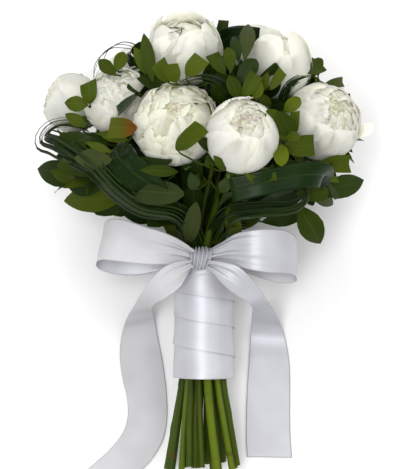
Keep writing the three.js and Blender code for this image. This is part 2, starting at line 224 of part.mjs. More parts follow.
  [10,[1.8,71.0,-35.9],[44.0,61.8,-60.6],[59.5,65.7,-78.8],[75.0,59.5,-97.0],[0.03,1.0,-0.04],21.1,-1],
  [7,[43.1,44.1,24.0],[67.4,63.4,-45.0],[91.2,67.5,-58.5],[114.9,61.6,-72.0],[0.03,1.0,-0.02],20.2,-1],
  [7,[55.1,52.3,29.9],[82.7,60.3,-23.9],[111.8,66.1,-31.1],[141.0,62.0,-38.3],[-0.03,1.0,0.01],24.1,-1],
];
// folded strap leaves and grass bundles: middle line, from inside the binding outwards
const STRAPS = [
  { name: "strap_leaf_01", w: 20, pts: [[-5.4,-70.0,0.7],[-5.3,-30.0,0.6],[-5.2,0.0,0.5],[-16.3,20.2,20.0],[-30.7,70.9,30.0],[-48.7,125.1,32.0],[-47.5,149.5,44.0],[-54.0,150.0,62.0],[-63.7,140.8,66.0],[-76.2,130.4,62.0]] },
  { name: "strap_leaf_02", w: 19, pts: [[2.5,-70.0,-4.4],[2.5,-30.0,-4.2],[2.5,0.0,-4.1],[1.9,20.2,10.0],[9.2,98.9,10.0],[12.8,162.8,12.0],[16.5,197.1,16.0],[29.1,202.0,22.0],[50.0,200.2,22.0]] },
  { name: "strap_leaf_03", w: 30, pts: [[6.7,-70.0,6.3],[6.5,-30.0,6.2],[6.3,0.0,6.2],[20.1,20.2,22.0],[51.9,48.0,52.0],[101.4,73.6,62.0],[103.7,79.9,84.0],[83.4,79.2,104.0],[50.3,69.5,112.0],[23.6,62.7,108.0]] },
  { name: "strap_leaf_04", w: 32, pts: [[-1.3,-70.0,3.5],[-1.3,-30.0,3.4],[-1.3,0.0,3.3],[-12.7,18.4,20.0],[-31.9,47.8,60.0],[-46.9,65.7,92.0],[-66.3,79.8,88.0],[-78.0,98.4,62.0],[-68.3,104.8,40.0]] },
  { name: "strap_leaf_05", w: 16, pts: [[-3.3,-70.0,-12.2],[-3.0,-30.0,-12.0],[-2.8,0.0,-11.9],[-3.7,20.2,2.0],[-25.9,99.7,-8.0],[-42.7,155.6,-14.0],[-53.5,182.7,-6.0],[-61.5,192.8,4.0],[-68.6,186.7,10.0],[-64.1,175.9,8.0]] },
];
const GRASS = [
  { name: "grass_loop_01", pts: [[-0.6,-70.0,10.5],[-0.8,-30.0,10.2],[-0.9,0.0,10.1],[-7.2,16.6,22.0],[-24.7,39.8,66.0],[-55.9,45.7,84.0],[-76.9,60.6,86.0],[-102.4,85.7,70.0],[-130.8,104.5,46.0],[-142.9,110.7,30.0],[-134.4,120.2,22.0],[-114.3,120.1,24.0],[-98.2,113.0,20.0]] },
  { name: "grass_loop_02", pts: [[2.0,-70.0,6.7],[1.8,-30.0,6.6],[1.7,0.0,6.5],[11.0,16.6,22.0],[24.9,38.0,70.0],[50.8,42.1,92.0],[78.8,44.7,92.0],[89.7,55.4,84.0],[84.8,66.1,76.0],[65.5,60.9,74.0]] },
  { name: "grass_loop_03", pts: [[-1.2,-70.0,-1.1],[-1.1,-30.0,-1.1],[-1.1,0.0,-1.1],[7.4,20.2,6.0],[9.2,89.4,20.0],[25.0,132.3,60.0],[21.2,148.2,86.0],[5.4,158.2,92.0],[-13.9,157.4,80.0],[-24.7,151.4,66.0]] },
  { name: "grass_loop_04", pts: [[9.6,-70.0,2.6],[9.3,-30.0,2.7],[9.2,0.0,2.8],[16.6,20.2,4.0],[52.8,89.4,20.0],[69.6,137.8,58.0],[77.7,154.2,76.0],[90.1,160.4,76.0],[101.4,159.7,62.0]] },
];
// ribbon edges at each station: [one edge, other edge]
const RIBBONS = {
  bow_loop_left: [[[-9.4,6.7,36.0],[-9.8,-3.2,35.0]],[[-18.8,13.9,39.0],[-18.8,-3.2,37.0]],[[-33.1,22.0,46.0],[-30.4,-4.9,42.0]],[[-57.1,30.1,52.0],[-54.5,-4.8,49.0]],[[-74.1,35.0,50.0],[-80.5,-2.1,48.0]],[[-83.5,35.5,41.0],[-92.6,-1.4,39.0]],[[-89.5,32.0,29.0],[-97.7,-5.1,28.0]],[[-89.1,27.5,19.0],[-95.6,-9.8,18.0]],[[-78.5,24.8,13.0],[-82.2,-14.5,12.0]],[[-58.5,22.1,11.0],[-60.3,-15.5,10.0]],[[-37.4,16.6,15.0],[-38.3,-10.8,14.0]],[[-21.7,9.3,23.0],[-20.8,-6.1,22.5]]],
  bow_loop_right: [[[2.8,6.7,36.0],[2.8,-3.2,35.0]],[[13.6,13.0,39.0],[12.7,-3.2,37.0]],[[27.9,22.0,46.0],[24.4,-5.8,42.0]],[[43.9,25.6,52.0],[43.1,-10.2,50.0]],[[60.0,26.5,51.0],[59.2,-12.9,49.0]],[[74.6,24.7,43.0],[75.6,-13.9,41.0]],[[83.3,19.3,30.0],[83.4,-16.9,29.0]],[[82.9,16.6,19.0],[82.9,-21.7,18.0]],[[70.4,19.3,12.0],[68.6,-22.7,11.0]],[[52.2,19.3,10.0],[49.5,-17.3,9.0]],[[32.9,15.7,13.0],[32.0,-10.8,13.0]],[[17.3,9.3,22.0],[17.3,-5.2,21.5]]],
  ribbon_tail_left: [[[-10.7,-1.3,41.0],[-10.7,-9.5,39.0]],[[-20.5,-2.2,46.0],[-14.3,-14.8,43.0]],[[-33.0,-5.7,51.0],[-21.4,-25.5,45.0]],[[-45.6,-16.5,48.0],[-33.2,-34.6,40.0]],[[-55.9,-31.3,32.0],[-43.4,-40.5,26.0]],[[-65.1,-45.8,6.0],[-47.8,-45.9,2.0]],[[-72.1,-56.6,-32.0],[-47.9,-52.0,-34.0]],[[-76.5,-67.1,-57.0],[-46.6,-62.4,-58.0]],[[-79.1,-78.8,-62.4],[-43.9,-76.9,-62.3]],[[-79.9,-95.7,-58.8],[-40.0,-95.7,-58.4]],[[-77.4,-114.4,-54.8],[-37.1,-114.4,-54.8]],[[-73.4,-131.1,-50.5],[-35.1,-133.9,-49.8]],[[-71.8,-146.9,-46.4],[-35.0,-153.3,-44.8]],[[-74.9,-161.6,-42.7],[-38.6,-171.7,-40.1]],[[-83.7,-175.3,-39.1],[-48.8,-189.0,-35.6]],[[-96.7,-188.1,-35.8],[-63.7,-204.5,-31.6]],[[-108.7,-198.1,-33.3],[-77.6,-216.3,-28.6]]],
  ribbon_tail_right: [[[3.7,-1.3,41.0],[3.7,-9.5,39.0]],[[14.5,-2.2,46.0],[8.2,-14.8,43.0]],[[28.7,-5.7,51.0],[18.1,-24.6,45.0]],[[41.3,-16.5,48.0],[29.8,-33.7,40.0]],[[52.5,-30.4,32.0],[40.0,-39.6,26.0]],[[61.5,-44.0,6.0],[44.1,-45.0,2.0]],[[68.3,-55.6,-32.0],[44.9,-52.9,-34.0]],[[73.9,-67.1,-57.0],[44.5,-65.3,-58.0]],[[77.9,-80.7,-61.4],[43.7,-80.7,-61.9]],[[80.6,-97.6,-57.9],[42.6,-97.6,-58.3]],[[81.4,-116.3,-54.3],[41.1,-116.3,-54.3]],[[81.2,-134.8,-49.5],[40.1,-134.8,-49.5]],[[81.0,-153.3,-44.8],[39.5,-153.3,-44.8]],[[81.3,-171.7,-40.1],[39.4,-171.7,-40.1]],[[82.5,-188.1,-35.8],[40.3,-187.2,-36.1]]],
};

// ---- helpers
const v3 = (a) => new THREE.Vector3(a[0], a[1], a[2]);

// A closed three.js geometry as a solid.
function solid(geometry) {
  const g = geometry.clone();
  g.deleteAttribute("normal");
  g.deleteAttribute("uv");
  const m = mergeVertices(g, 1e-4);
  const made = new Manifold(
    new Mesh({
      numProp: 3,
      vertProperties: new Float32Array(m.attributes.position.array),
      triVerts: new Uint32Array(m.index.array),
    }),
  );
  if (made.volume() >= 0) return made;
  const t = new Uint32Array(m.index.array);
  for (let i = 0; i < t.length; i += 3) [t[i + 1], t[i + 2]] = [t[i + 2], t[i + 1]];
  return new Manifold(
    new Mesh({
      numProp: 3,
      vertProperties: new Float32Array(m.attributes.position.array),
      triVerts: t,
    }),
  );
}

function moved(geometry, fn) {
  const p = geometry.attributes.position;
  const v = new THREE.Vector3();
  for (let i = 0; i < p.count; i++) {
    v.fromBufferAttribute(p, i);
    fn(v);
    p.setXYZ(i, v.x, v.y, v.z);
  }
  return geometry;
}

const union = (parts) => (parts.length === 1 ? parts[0] : Manifold.union(parts));

// A round tube along a smooth curve.
function tube(points, radius, sides, steps) {
  const shape = new THREE.Shape(
    Array.from({ length: sides }, (_, i) => {
      const a = (2 * Math.PI * i) / sides;
      return new THREE.Vector2(radius * Math.cos(a), radius * Math.sin(a));
    }),
  );
  const path = new THREE.CatmullRomCurve3(points.map(v3), false, "centripetal");
  return solid(
    new THREE.ExtrudeGeometry(shape, { steps, extrudePath: path, bevelEnabled: false }),
  );
}

// A thin strip through stations {p, half, t}: a box bent so that its cross-sections sit on the stations.
function strip(stations) {
  const n = stations.length - 1;
  const frames = stations.map((s, i) => {
    const a = stations[Math.max(i - 1, 0)].p;
    const b = stations[Math.min(i + 1, n)].p;
    const along = b.clone().sub(a).normalize();
    const normal = s.normal
      ? s.normal.clone()
      : along.clone().cross(s.half).normalize();
    return { ...s, normal };
  });
  const position = [];
  const index = [];
  for (const f of frames)
    for (const [x, y] of [[-1, -1], [1, -1], [1, 1], [-1, 1]])
      position.push(...f.p.clone().addScaledVector(f.half, x).addScaledVector(f.normal, y * f.t).toArray());
  // the diagonals run the same way on both faces, so a twisted strip keeps its thickness
  for (let i = 0; i < n; i++) {
    const a = 4 * i;
    const b = a + 4;
    index.push(a, a + 1, b + 1, a, b + 1, b);
    index.push(a + 1, a + 2, b + 2, a + 1, b + 2, b + 1);
    index.push(a + 2, a + 3, b + 2, a + 3, b + 3, b + 2);
    index.push(a + 3, a, b, a + 3, b, b + 3);
  }
  const e = 4 * n;
  index.push(0, 3, 2, 0, 2, 1, e, e + 1, e + 2, e, e + 2, e + 3);
  const geometry = new THREE.BufferGeometry();
  geometry.setAttribute("position", new THREE.Float32BufferAttribute(position, 3));
  geometry.setIndex(index);
  return solid(geometry);
}

function leafBlade(l, grow) {
  const [, a, b, m, t, n, w] = l;
  const base = v3(b),
    mid = v3(m),
    tip = v3(t),
    from = a ? v3(a) : base.clone().lerp(mid, -0.25);
  const normal = v3(n).normalize();
  const side = normal.clone().cross(tip.clone().sub(base)).normalize();
  const st = (p, half) => ({
    p,
    half: side.clone().multiplyScalar(half + grow),
    t: LEAF_T / 2 + grow,
    normal,
  });
  tip.addScaledVector(tip.clone().sub(base).normalize(), grow);
  const at = (k) => base.clone().multiplyScalar((1 - k) * (1 - k)).addScaledVector(mid.clone().multiplyScalar(2).addScaledVector(base, -0.5).addScaledVector(tip, -0.5), 2 * k * (1 - k)).addScaledVector(tip, k * k);
  const blade = [st(at(0.36), w * 0.5), st(at(0.72), w * 0.4), st(tip, 1.0)];
  return strip(a ? [st(from, 0.8), st(base, 1.2), ...blade] : [st(from, 1.4), ...blade]);
}

// Height and radius profiles of a bloom, in units of its radius.
function bloomFrame(b) {
  const q = new THREE.Quaternion().setFromUnitVectors(
    new THREE.Vector3(0, 1, 0),
    v3(b.d).normalize(),
  );
  const c = v3(b.c);
  return (v) => {
    const a = Math.atan2(v.z, v.x);
    const h = THREE.MathUtils.clamp(v.y / b.r, -1, 1);
    const lobe = Math.max(h + 0.2, 0) * 0.05 * Math.cos(5 * a + b.r);
    v.x *= 1 + lobe;
    v.z *= 1 + lobe;
    v.y *= b.st;
    v.applyQuaternion(q).add(c);
  };
}

function lathe(profile, scale, segments, grow) {
  return new THREE.LatheGeometry(
    profile.map(([x, y, nx, ny]) => new THREE.Vector2(
      x === 0 ? 0 : x * scale + nx * grow, y * scale + ny * grow)),
    segments,
  );
}

// The cup of guard petals: outside up to the rim, then back down the inside.
function guardPetals(b, grow) {
  const rim = 0.8 + 0.14 * b.open;
  const top = 0.66 - 0.14 * b.open;
  return solid(
    moved(
      lathe(
        [
          [0, -0.92, 0, -1], [0.46, -0.84, 0.5, -0.9], [0.84, -0.48, 0.9, -0.4],
          [0.98, 0.0, 1, 0], [rim + 0.06, top - 0.28, 1, 0.2], [rim, top, 0.3, 1],
          [rim - 0.09, top - 0.02, -0.6, 0.8], [rim - 0.07, top - 0.28, -1, 0], [0.85, 0.0, -1, 0],
          [0.7, -0.4, -0.8, 0.6], [0.36, -0.68, -0.4, 0.9], [0, -0.74, 0, 1],
        ],
        b.r, 10, grow,
      ),
      bloomFrame(b),
    ),
  );
}

// The crowded inner petals, as one crown inside the cup.
function innerPetals(b, grow) {
  const rim = 0.8 + 0.14 * b.open - 0.13;
  const top = 0.66 - 0.14 * b.open;
  return solid(
    moved(
      lathe(
        [
          [0, -0.69, 0, -1], [0.32, -0.63, 0.4, -0.9], [0.64, -0.37, 0.8, -0.5], [0.79, 0.0, 1, 0],
          [rim - 0.02, top - 0.28, 1, 0.1], [rim - 0.03, top, 1, 0.3], [0.5, 0.84, 0.6, 0.8], [0, 0.93, 0, 1],
        ],
        b.r, 10, grow,
      ),
      bloomFrame(b),
    ),
  );
}

// A ring round the stems between two heights.
function sleeve(profile, grow) {
  const outer = profile.map(([y, , ro]) => new THREE.Vector2(ro + grow, y));
  const inner = profile.map(([y, ri]) => new THREE.Vector2(ri - grow, y)).reverse();
  const all = [...outer, ...inner];
  if (grow) {
    const n = profile.length;
    for (const k of [0, 2 * n - 1]) all[k].y -= grow;
    for (const k of [n - 1, n]) all[k].y += grow;
  }
  return solid(new THREE.LatheGeometry([...all, all[0].clone()], 20));
}

function ribbonStrip(edges, grow) {
  return strip(
    edges.map(([a, b]) => {
      const p = v3(a).add(v3(b)).multiplyScalar(0.5);
      const half = v3(a).sub(v3(b)).multiplyScalar(0.5);
      half.setLength(half.length() + grow);
      return { p, half, t: RIBBON_T / 2 + grow };
    }),
  );
}

function strapBlade(s, grow) {
  const n = s.pts.length;
  const centre = v3([0, 60, 0]);
  let side = null;
  return strip(
    s.pts.map((q, i) => {
      const p = v3(q);
      const a = v3(s.pts[Math.max(i - 1, 0)]);
      const b = v3(s.pts[Math.min(i + 1, n - 1)]);
      const along = b.sub(a).normalize();
      const out = i < 4 ? v3([q[0], 0, q[2] + 0.01]).normalize() : p.clone().sub(centre).normalize();
      let half = along.clone().cross(out);
      if (half.length() < 0.25 && side) half = side.clone().addScaledVector(along, -side.dot(along));
      half.normalize();
      if (side) {
        if (half.dot(side) < 0) half.negate();
        const carried = side.clone().addScaledVector(along, -side.dot(along)).normalize();
        half.lerp(carried, 0.55).normalize();
      }
      side = half.clone();
      const w = i < 3 ? 1.6 : i === 3 ? 4 : i === 4 ? s.w * 0.35 : s.w / 2;
      return { p, half: half.multiplyScalar(w + grow), t: (i < 3 ? 1.6 : STRAP_T / 2) + grow };
    }),
  );
}

// ---- the pieces, in the order in which they claim space
const pieces = [];
const add = (name, make, colour, roughness) => pieces.push({ name, make, colour, roughness });

const wrapProfile = [
  [WRAP_BOTTOM, BUNDLE_R * 1.073 + 0.5, BUNDLE_R * 1.073 + 0.5 + RIBBON_T],
  [-60, BUNDLE_R * 1.035 + 0.5, BUNDLE_R * 1.035 + 0.5 + RIBBON_T],
  [-20, BUNDLE_R * 1.01 + 0.7, BUNDLE_R * 1.01 + 0.7 + RIBBON_T],
  [-11, BUNDLE_R + 2.0, BUNDLE_R + 2.0 + RIBBON_T],
  [WRAP_TOP, BUNDLE_R + 2.0, BUNDLE_R + 2.0 + RIBBON_T],
];
add("ribbon_wrap", (g) => [sleeve(wrapProfile, g)], 0xe6e6ec, 0.35);
add("binding_tie", (g) => [sleeve([[-8, BUNDLE_R + 0.5, BUNDLE_R + 1.5], [-1, BUNDLE_R + 0.5, BUNDLE_R + 1.5]], g)], 0x4d6b3a, 0.8);
for (const b of BLOOMS) {
  add(b.name + "_guard_petals", (g) => [guardPetals(b, g)], 0xf4f2ea, 0.6);
  add(b.name + "_inner_petals", (g) => [innerPetals(b, g)], 0xf7f3e2, 0.6);
}
for (const s of STEMS.filter((s) => s.kind === "peony")) {
  const b = BLOOMS.find((x) => x.name === s.name);
  const n = s.path.length;
  add(
    s.name + "_stem",
    (g) => [
      tube(s.path, PEONY_STEM_R + g, STEM_SIDES, 11),
      solid(
        new THREE.SphereGeometry(9 + g, 6, 4)
          .scale(1, 0.45, 1)
          .applyQuaternion(
            new THREE.Quaternion().setFromUnitVectors(new THREE.Vector3(0, 1, 0), v3(b.d).normalize()),
          )
          .translate(...s.path[n - 1]),
      ),
    ],
    0x5f8a2b,
    0.55,
  );
}
add(
  "bow_knot",
  (g) => [solid(new THREE.SphereGeometry(1, 12, 8).scale(10 + g, 9.5 + g, 8 + g).translate(-3.4, 0.4, BUNDLE_R + 10.5))],
  0xe6e6ec,
  0.3,
);
for (const name of Object.keys(RIBBONS))
  add(name, (g) => [ribbonStrip(RIBBONS[name], g)], 0xe6e6ec, 0.3);
const sprigs = STEMS.filter((s) => s.kind === "sprig");
sprigs.forEach((s) => {
  add(s.name + "_stem_only", (g) => [tube(s.path, SPRIG_STEM_R + g, 5, 10)], 0x55802a, 0.55);
});
for (const s of STRAPS) add(s.name, (g) => [strapBlade(s, g)], 0x1f4a22, 0.35);
for (const s of GRASS) add(s.name, (g) => [tube(s.pts, GRASS_R + g, 4, Math.round(s.pts.length * 1.6))], 0x234f24, 0.4);

// ---- claim space, carve each piece clear of the ones before it, and keep its main body
const surface = solid(
  new THREE.BoxGeometry(2000, 2000, 400)
    .translate(0, 0, -200)
    .applyMatrix4(new THREE.Matrix4().makeRotationX(-LIE_ANGLE))
    .translate(0, LIE_Y, LIE_Z),
);
const boxOf = (m) => {
  const { min, max } = m.boundingBox();
  return new THREE.Box3(v3(min), v3(max));
};
const claimed = [];
const bodies = {};
function carve(made, skip = () => false) {
  const box = boxOf(made);
  const near = claimed.filter((c) => !skip(c.name) && c.box.intersectsBox(box)).map((c) => c.solid);
  let out = near.length ? made.subtract(union(near)) : made;
  out = out.subtract(surface);
  const parts = out.decompose();
  if (!parts.length) return null;
  return parts.reduce((a, b) => (b.volume() > a.volume() ? b : a));
}
for (const p of pieces) {
  const main = carve(union(p.make(0))).simplify(0.03);
  if (!sound(main)) console.warn(p.name + " pinches itself");
  bodies[p.name] = main;
  const reserve = union(p.make(GAP));
  claimed.push({ name: p.name, solid: reserve, box: boxOf(reserve) });
}
// Whether a solid stays one closed surface once vertices closer than a tolerance are welded.
function sound(body) {
  const m = body.getMesh();
  const v = m.vertProperties;
  return [1e-3, 1e-2].every((tolerance) => {
    const ids = new Map();
    const id = new Uint32Array(v.length / 3);
    for (let i = 0; i < id.length; i++) {
      const key = [0, 1, 2].map((j) => Math.round(v[3 * i + j] / tolerance)).join();
      if (!ids.has(key)) ids.set(key, ids.size);
      id[i] = ids.get(key);
    }
    const edges = new Map();
    for (let i = 0; i < m.triVerts.length; i += 3) {
      const t = [0, 1, 2].map((j) => id[m.triVerts[i + j]]);
      if (t[0] === t[1] || t[1] === t[2] || t[2] === t[0]) continue;
      for (let j = 0; j < 3; j++) {
        const a = t[j],
          b = t[(j + 1) % 3];
        const key = a < b ? a + "," + b : b + "," + a;
        edges.set(key, (edges.get(key) ?? 0) + 1);
      }
    }
    return [...edges.values()].every((n) => n === 2);
  });
}
// Twigs and leaves grow from their sprig's stem, one at a time. Each is carved clear of everything else,
// and is left off if what remains no longer reaches the stem.
sprigs.forEach((s, k) => {
  const own = s.name + "_stem_only";
  let body = bodies[own];
  const mine = [];
  const twigs = {};
  const grow = (made, reserve) => {
    const cut = carve(made, (n) => n === own || mine.includes(n));
    if (!cut) return false;
    const joined = body.add(cut).simplify(0.06);
    if (joined.decompose().length !== 1) return false;
    if (cut.volume() < 0.55 * made.volume() || !sound(joined)) return false;
    body = joined;
    const name = s.name + "_" + mine.length;
    mine.push(name);
    claimed.push({ name, solid: reserve, box: boxOf(reserve) });
    return true;
  };
  WHORLS.forEach((w, i) => {
    if (w[0] !== k) return;
    const mid = v3(w[1]).lerp(v3(w[2]), 0.5).add(new THREE.Vector3(0, 2, 0)).toArray();
    twigs[i] = grow(tube([w[1], mid, w[2]], 1.4, 3, 2), tube([w[1], mid, w[2]], 1.4 + GAP, 3, 2));
  });
  for (const l of LEAVES) {
    if (l[0] !== k) continue;
    if (l[7] >= 0 && !twigs[l[7]]) continue;
    grow(leafBlade(l, 0), leafBlade(l, GAP));
  }
  bodies[own] = body;
});

// ---- the scene graph
function meshOf(name, body, colour, roughness) {
  const m = body.getMesh();
  const g = new THREE.BufferGeometry()
    .setAttribute("position", new THREE.BufferAttribute(new Float32Array(m.vertProperties), 3))
    .setIndex(new THREE.BufferAttribute(new Uint32Array(m.triVerts), 1));
  g.computeVertexNormals();
  const mesh = new THREE.Mesh(
    g,
    new THREE.MeshStandardMaterial({ color: colour, roughness, metalness: 0 }),
  );
  mesh.name = name;
  return mesh;
}
const bunch = new THREE.Group(); // the bunch's own frame
for (const p of pieces)
  bunch.add(meshOf(p.name.replace("_stem_only", "_leaves_and_stem"), bodies[p.name], p.colour, p.roughness));
const laid = new THREE.Group(); // tilted to lie on the surface
laid.rotation.x = LIE_ANGLE;
laid.add(bunch);
const part = new THREE.Group();
laid.position.copy(ORIGIN);
part.add(laid);
export default part;
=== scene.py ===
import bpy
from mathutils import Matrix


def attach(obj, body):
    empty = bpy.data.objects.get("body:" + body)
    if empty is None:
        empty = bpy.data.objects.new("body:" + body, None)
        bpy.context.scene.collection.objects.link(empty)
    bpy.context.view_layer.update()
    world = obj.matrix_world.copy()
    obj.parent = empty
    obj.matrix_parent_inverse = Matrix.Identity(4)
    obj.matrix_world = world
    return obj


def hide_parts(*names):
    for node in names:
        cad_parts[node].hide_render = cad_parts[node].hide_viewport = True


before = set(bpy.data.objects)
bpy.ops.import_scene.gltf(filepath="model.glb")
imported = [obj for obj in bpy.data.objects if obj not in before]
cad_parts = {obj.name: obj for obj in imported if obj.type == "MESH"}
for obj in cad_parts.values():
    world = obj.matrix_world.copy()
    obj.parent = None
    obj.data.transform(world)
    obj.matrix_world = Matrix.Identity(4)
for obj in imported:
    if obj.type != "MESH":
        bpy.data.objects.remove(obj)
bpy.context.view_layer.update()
# The looks of a hand-tied bunch of white peonies, lying on its back on a pale surface.
# Everything is laid out in the bunch's own frame, in millimetres: +Y up the stems from the knot, +X to the
# right of the bow, +Z out of the bow's front. to_row() turns that into the row's frame, in metres.
import math

import bpy
import numpy as np
from mathutils import Matrix, Vector

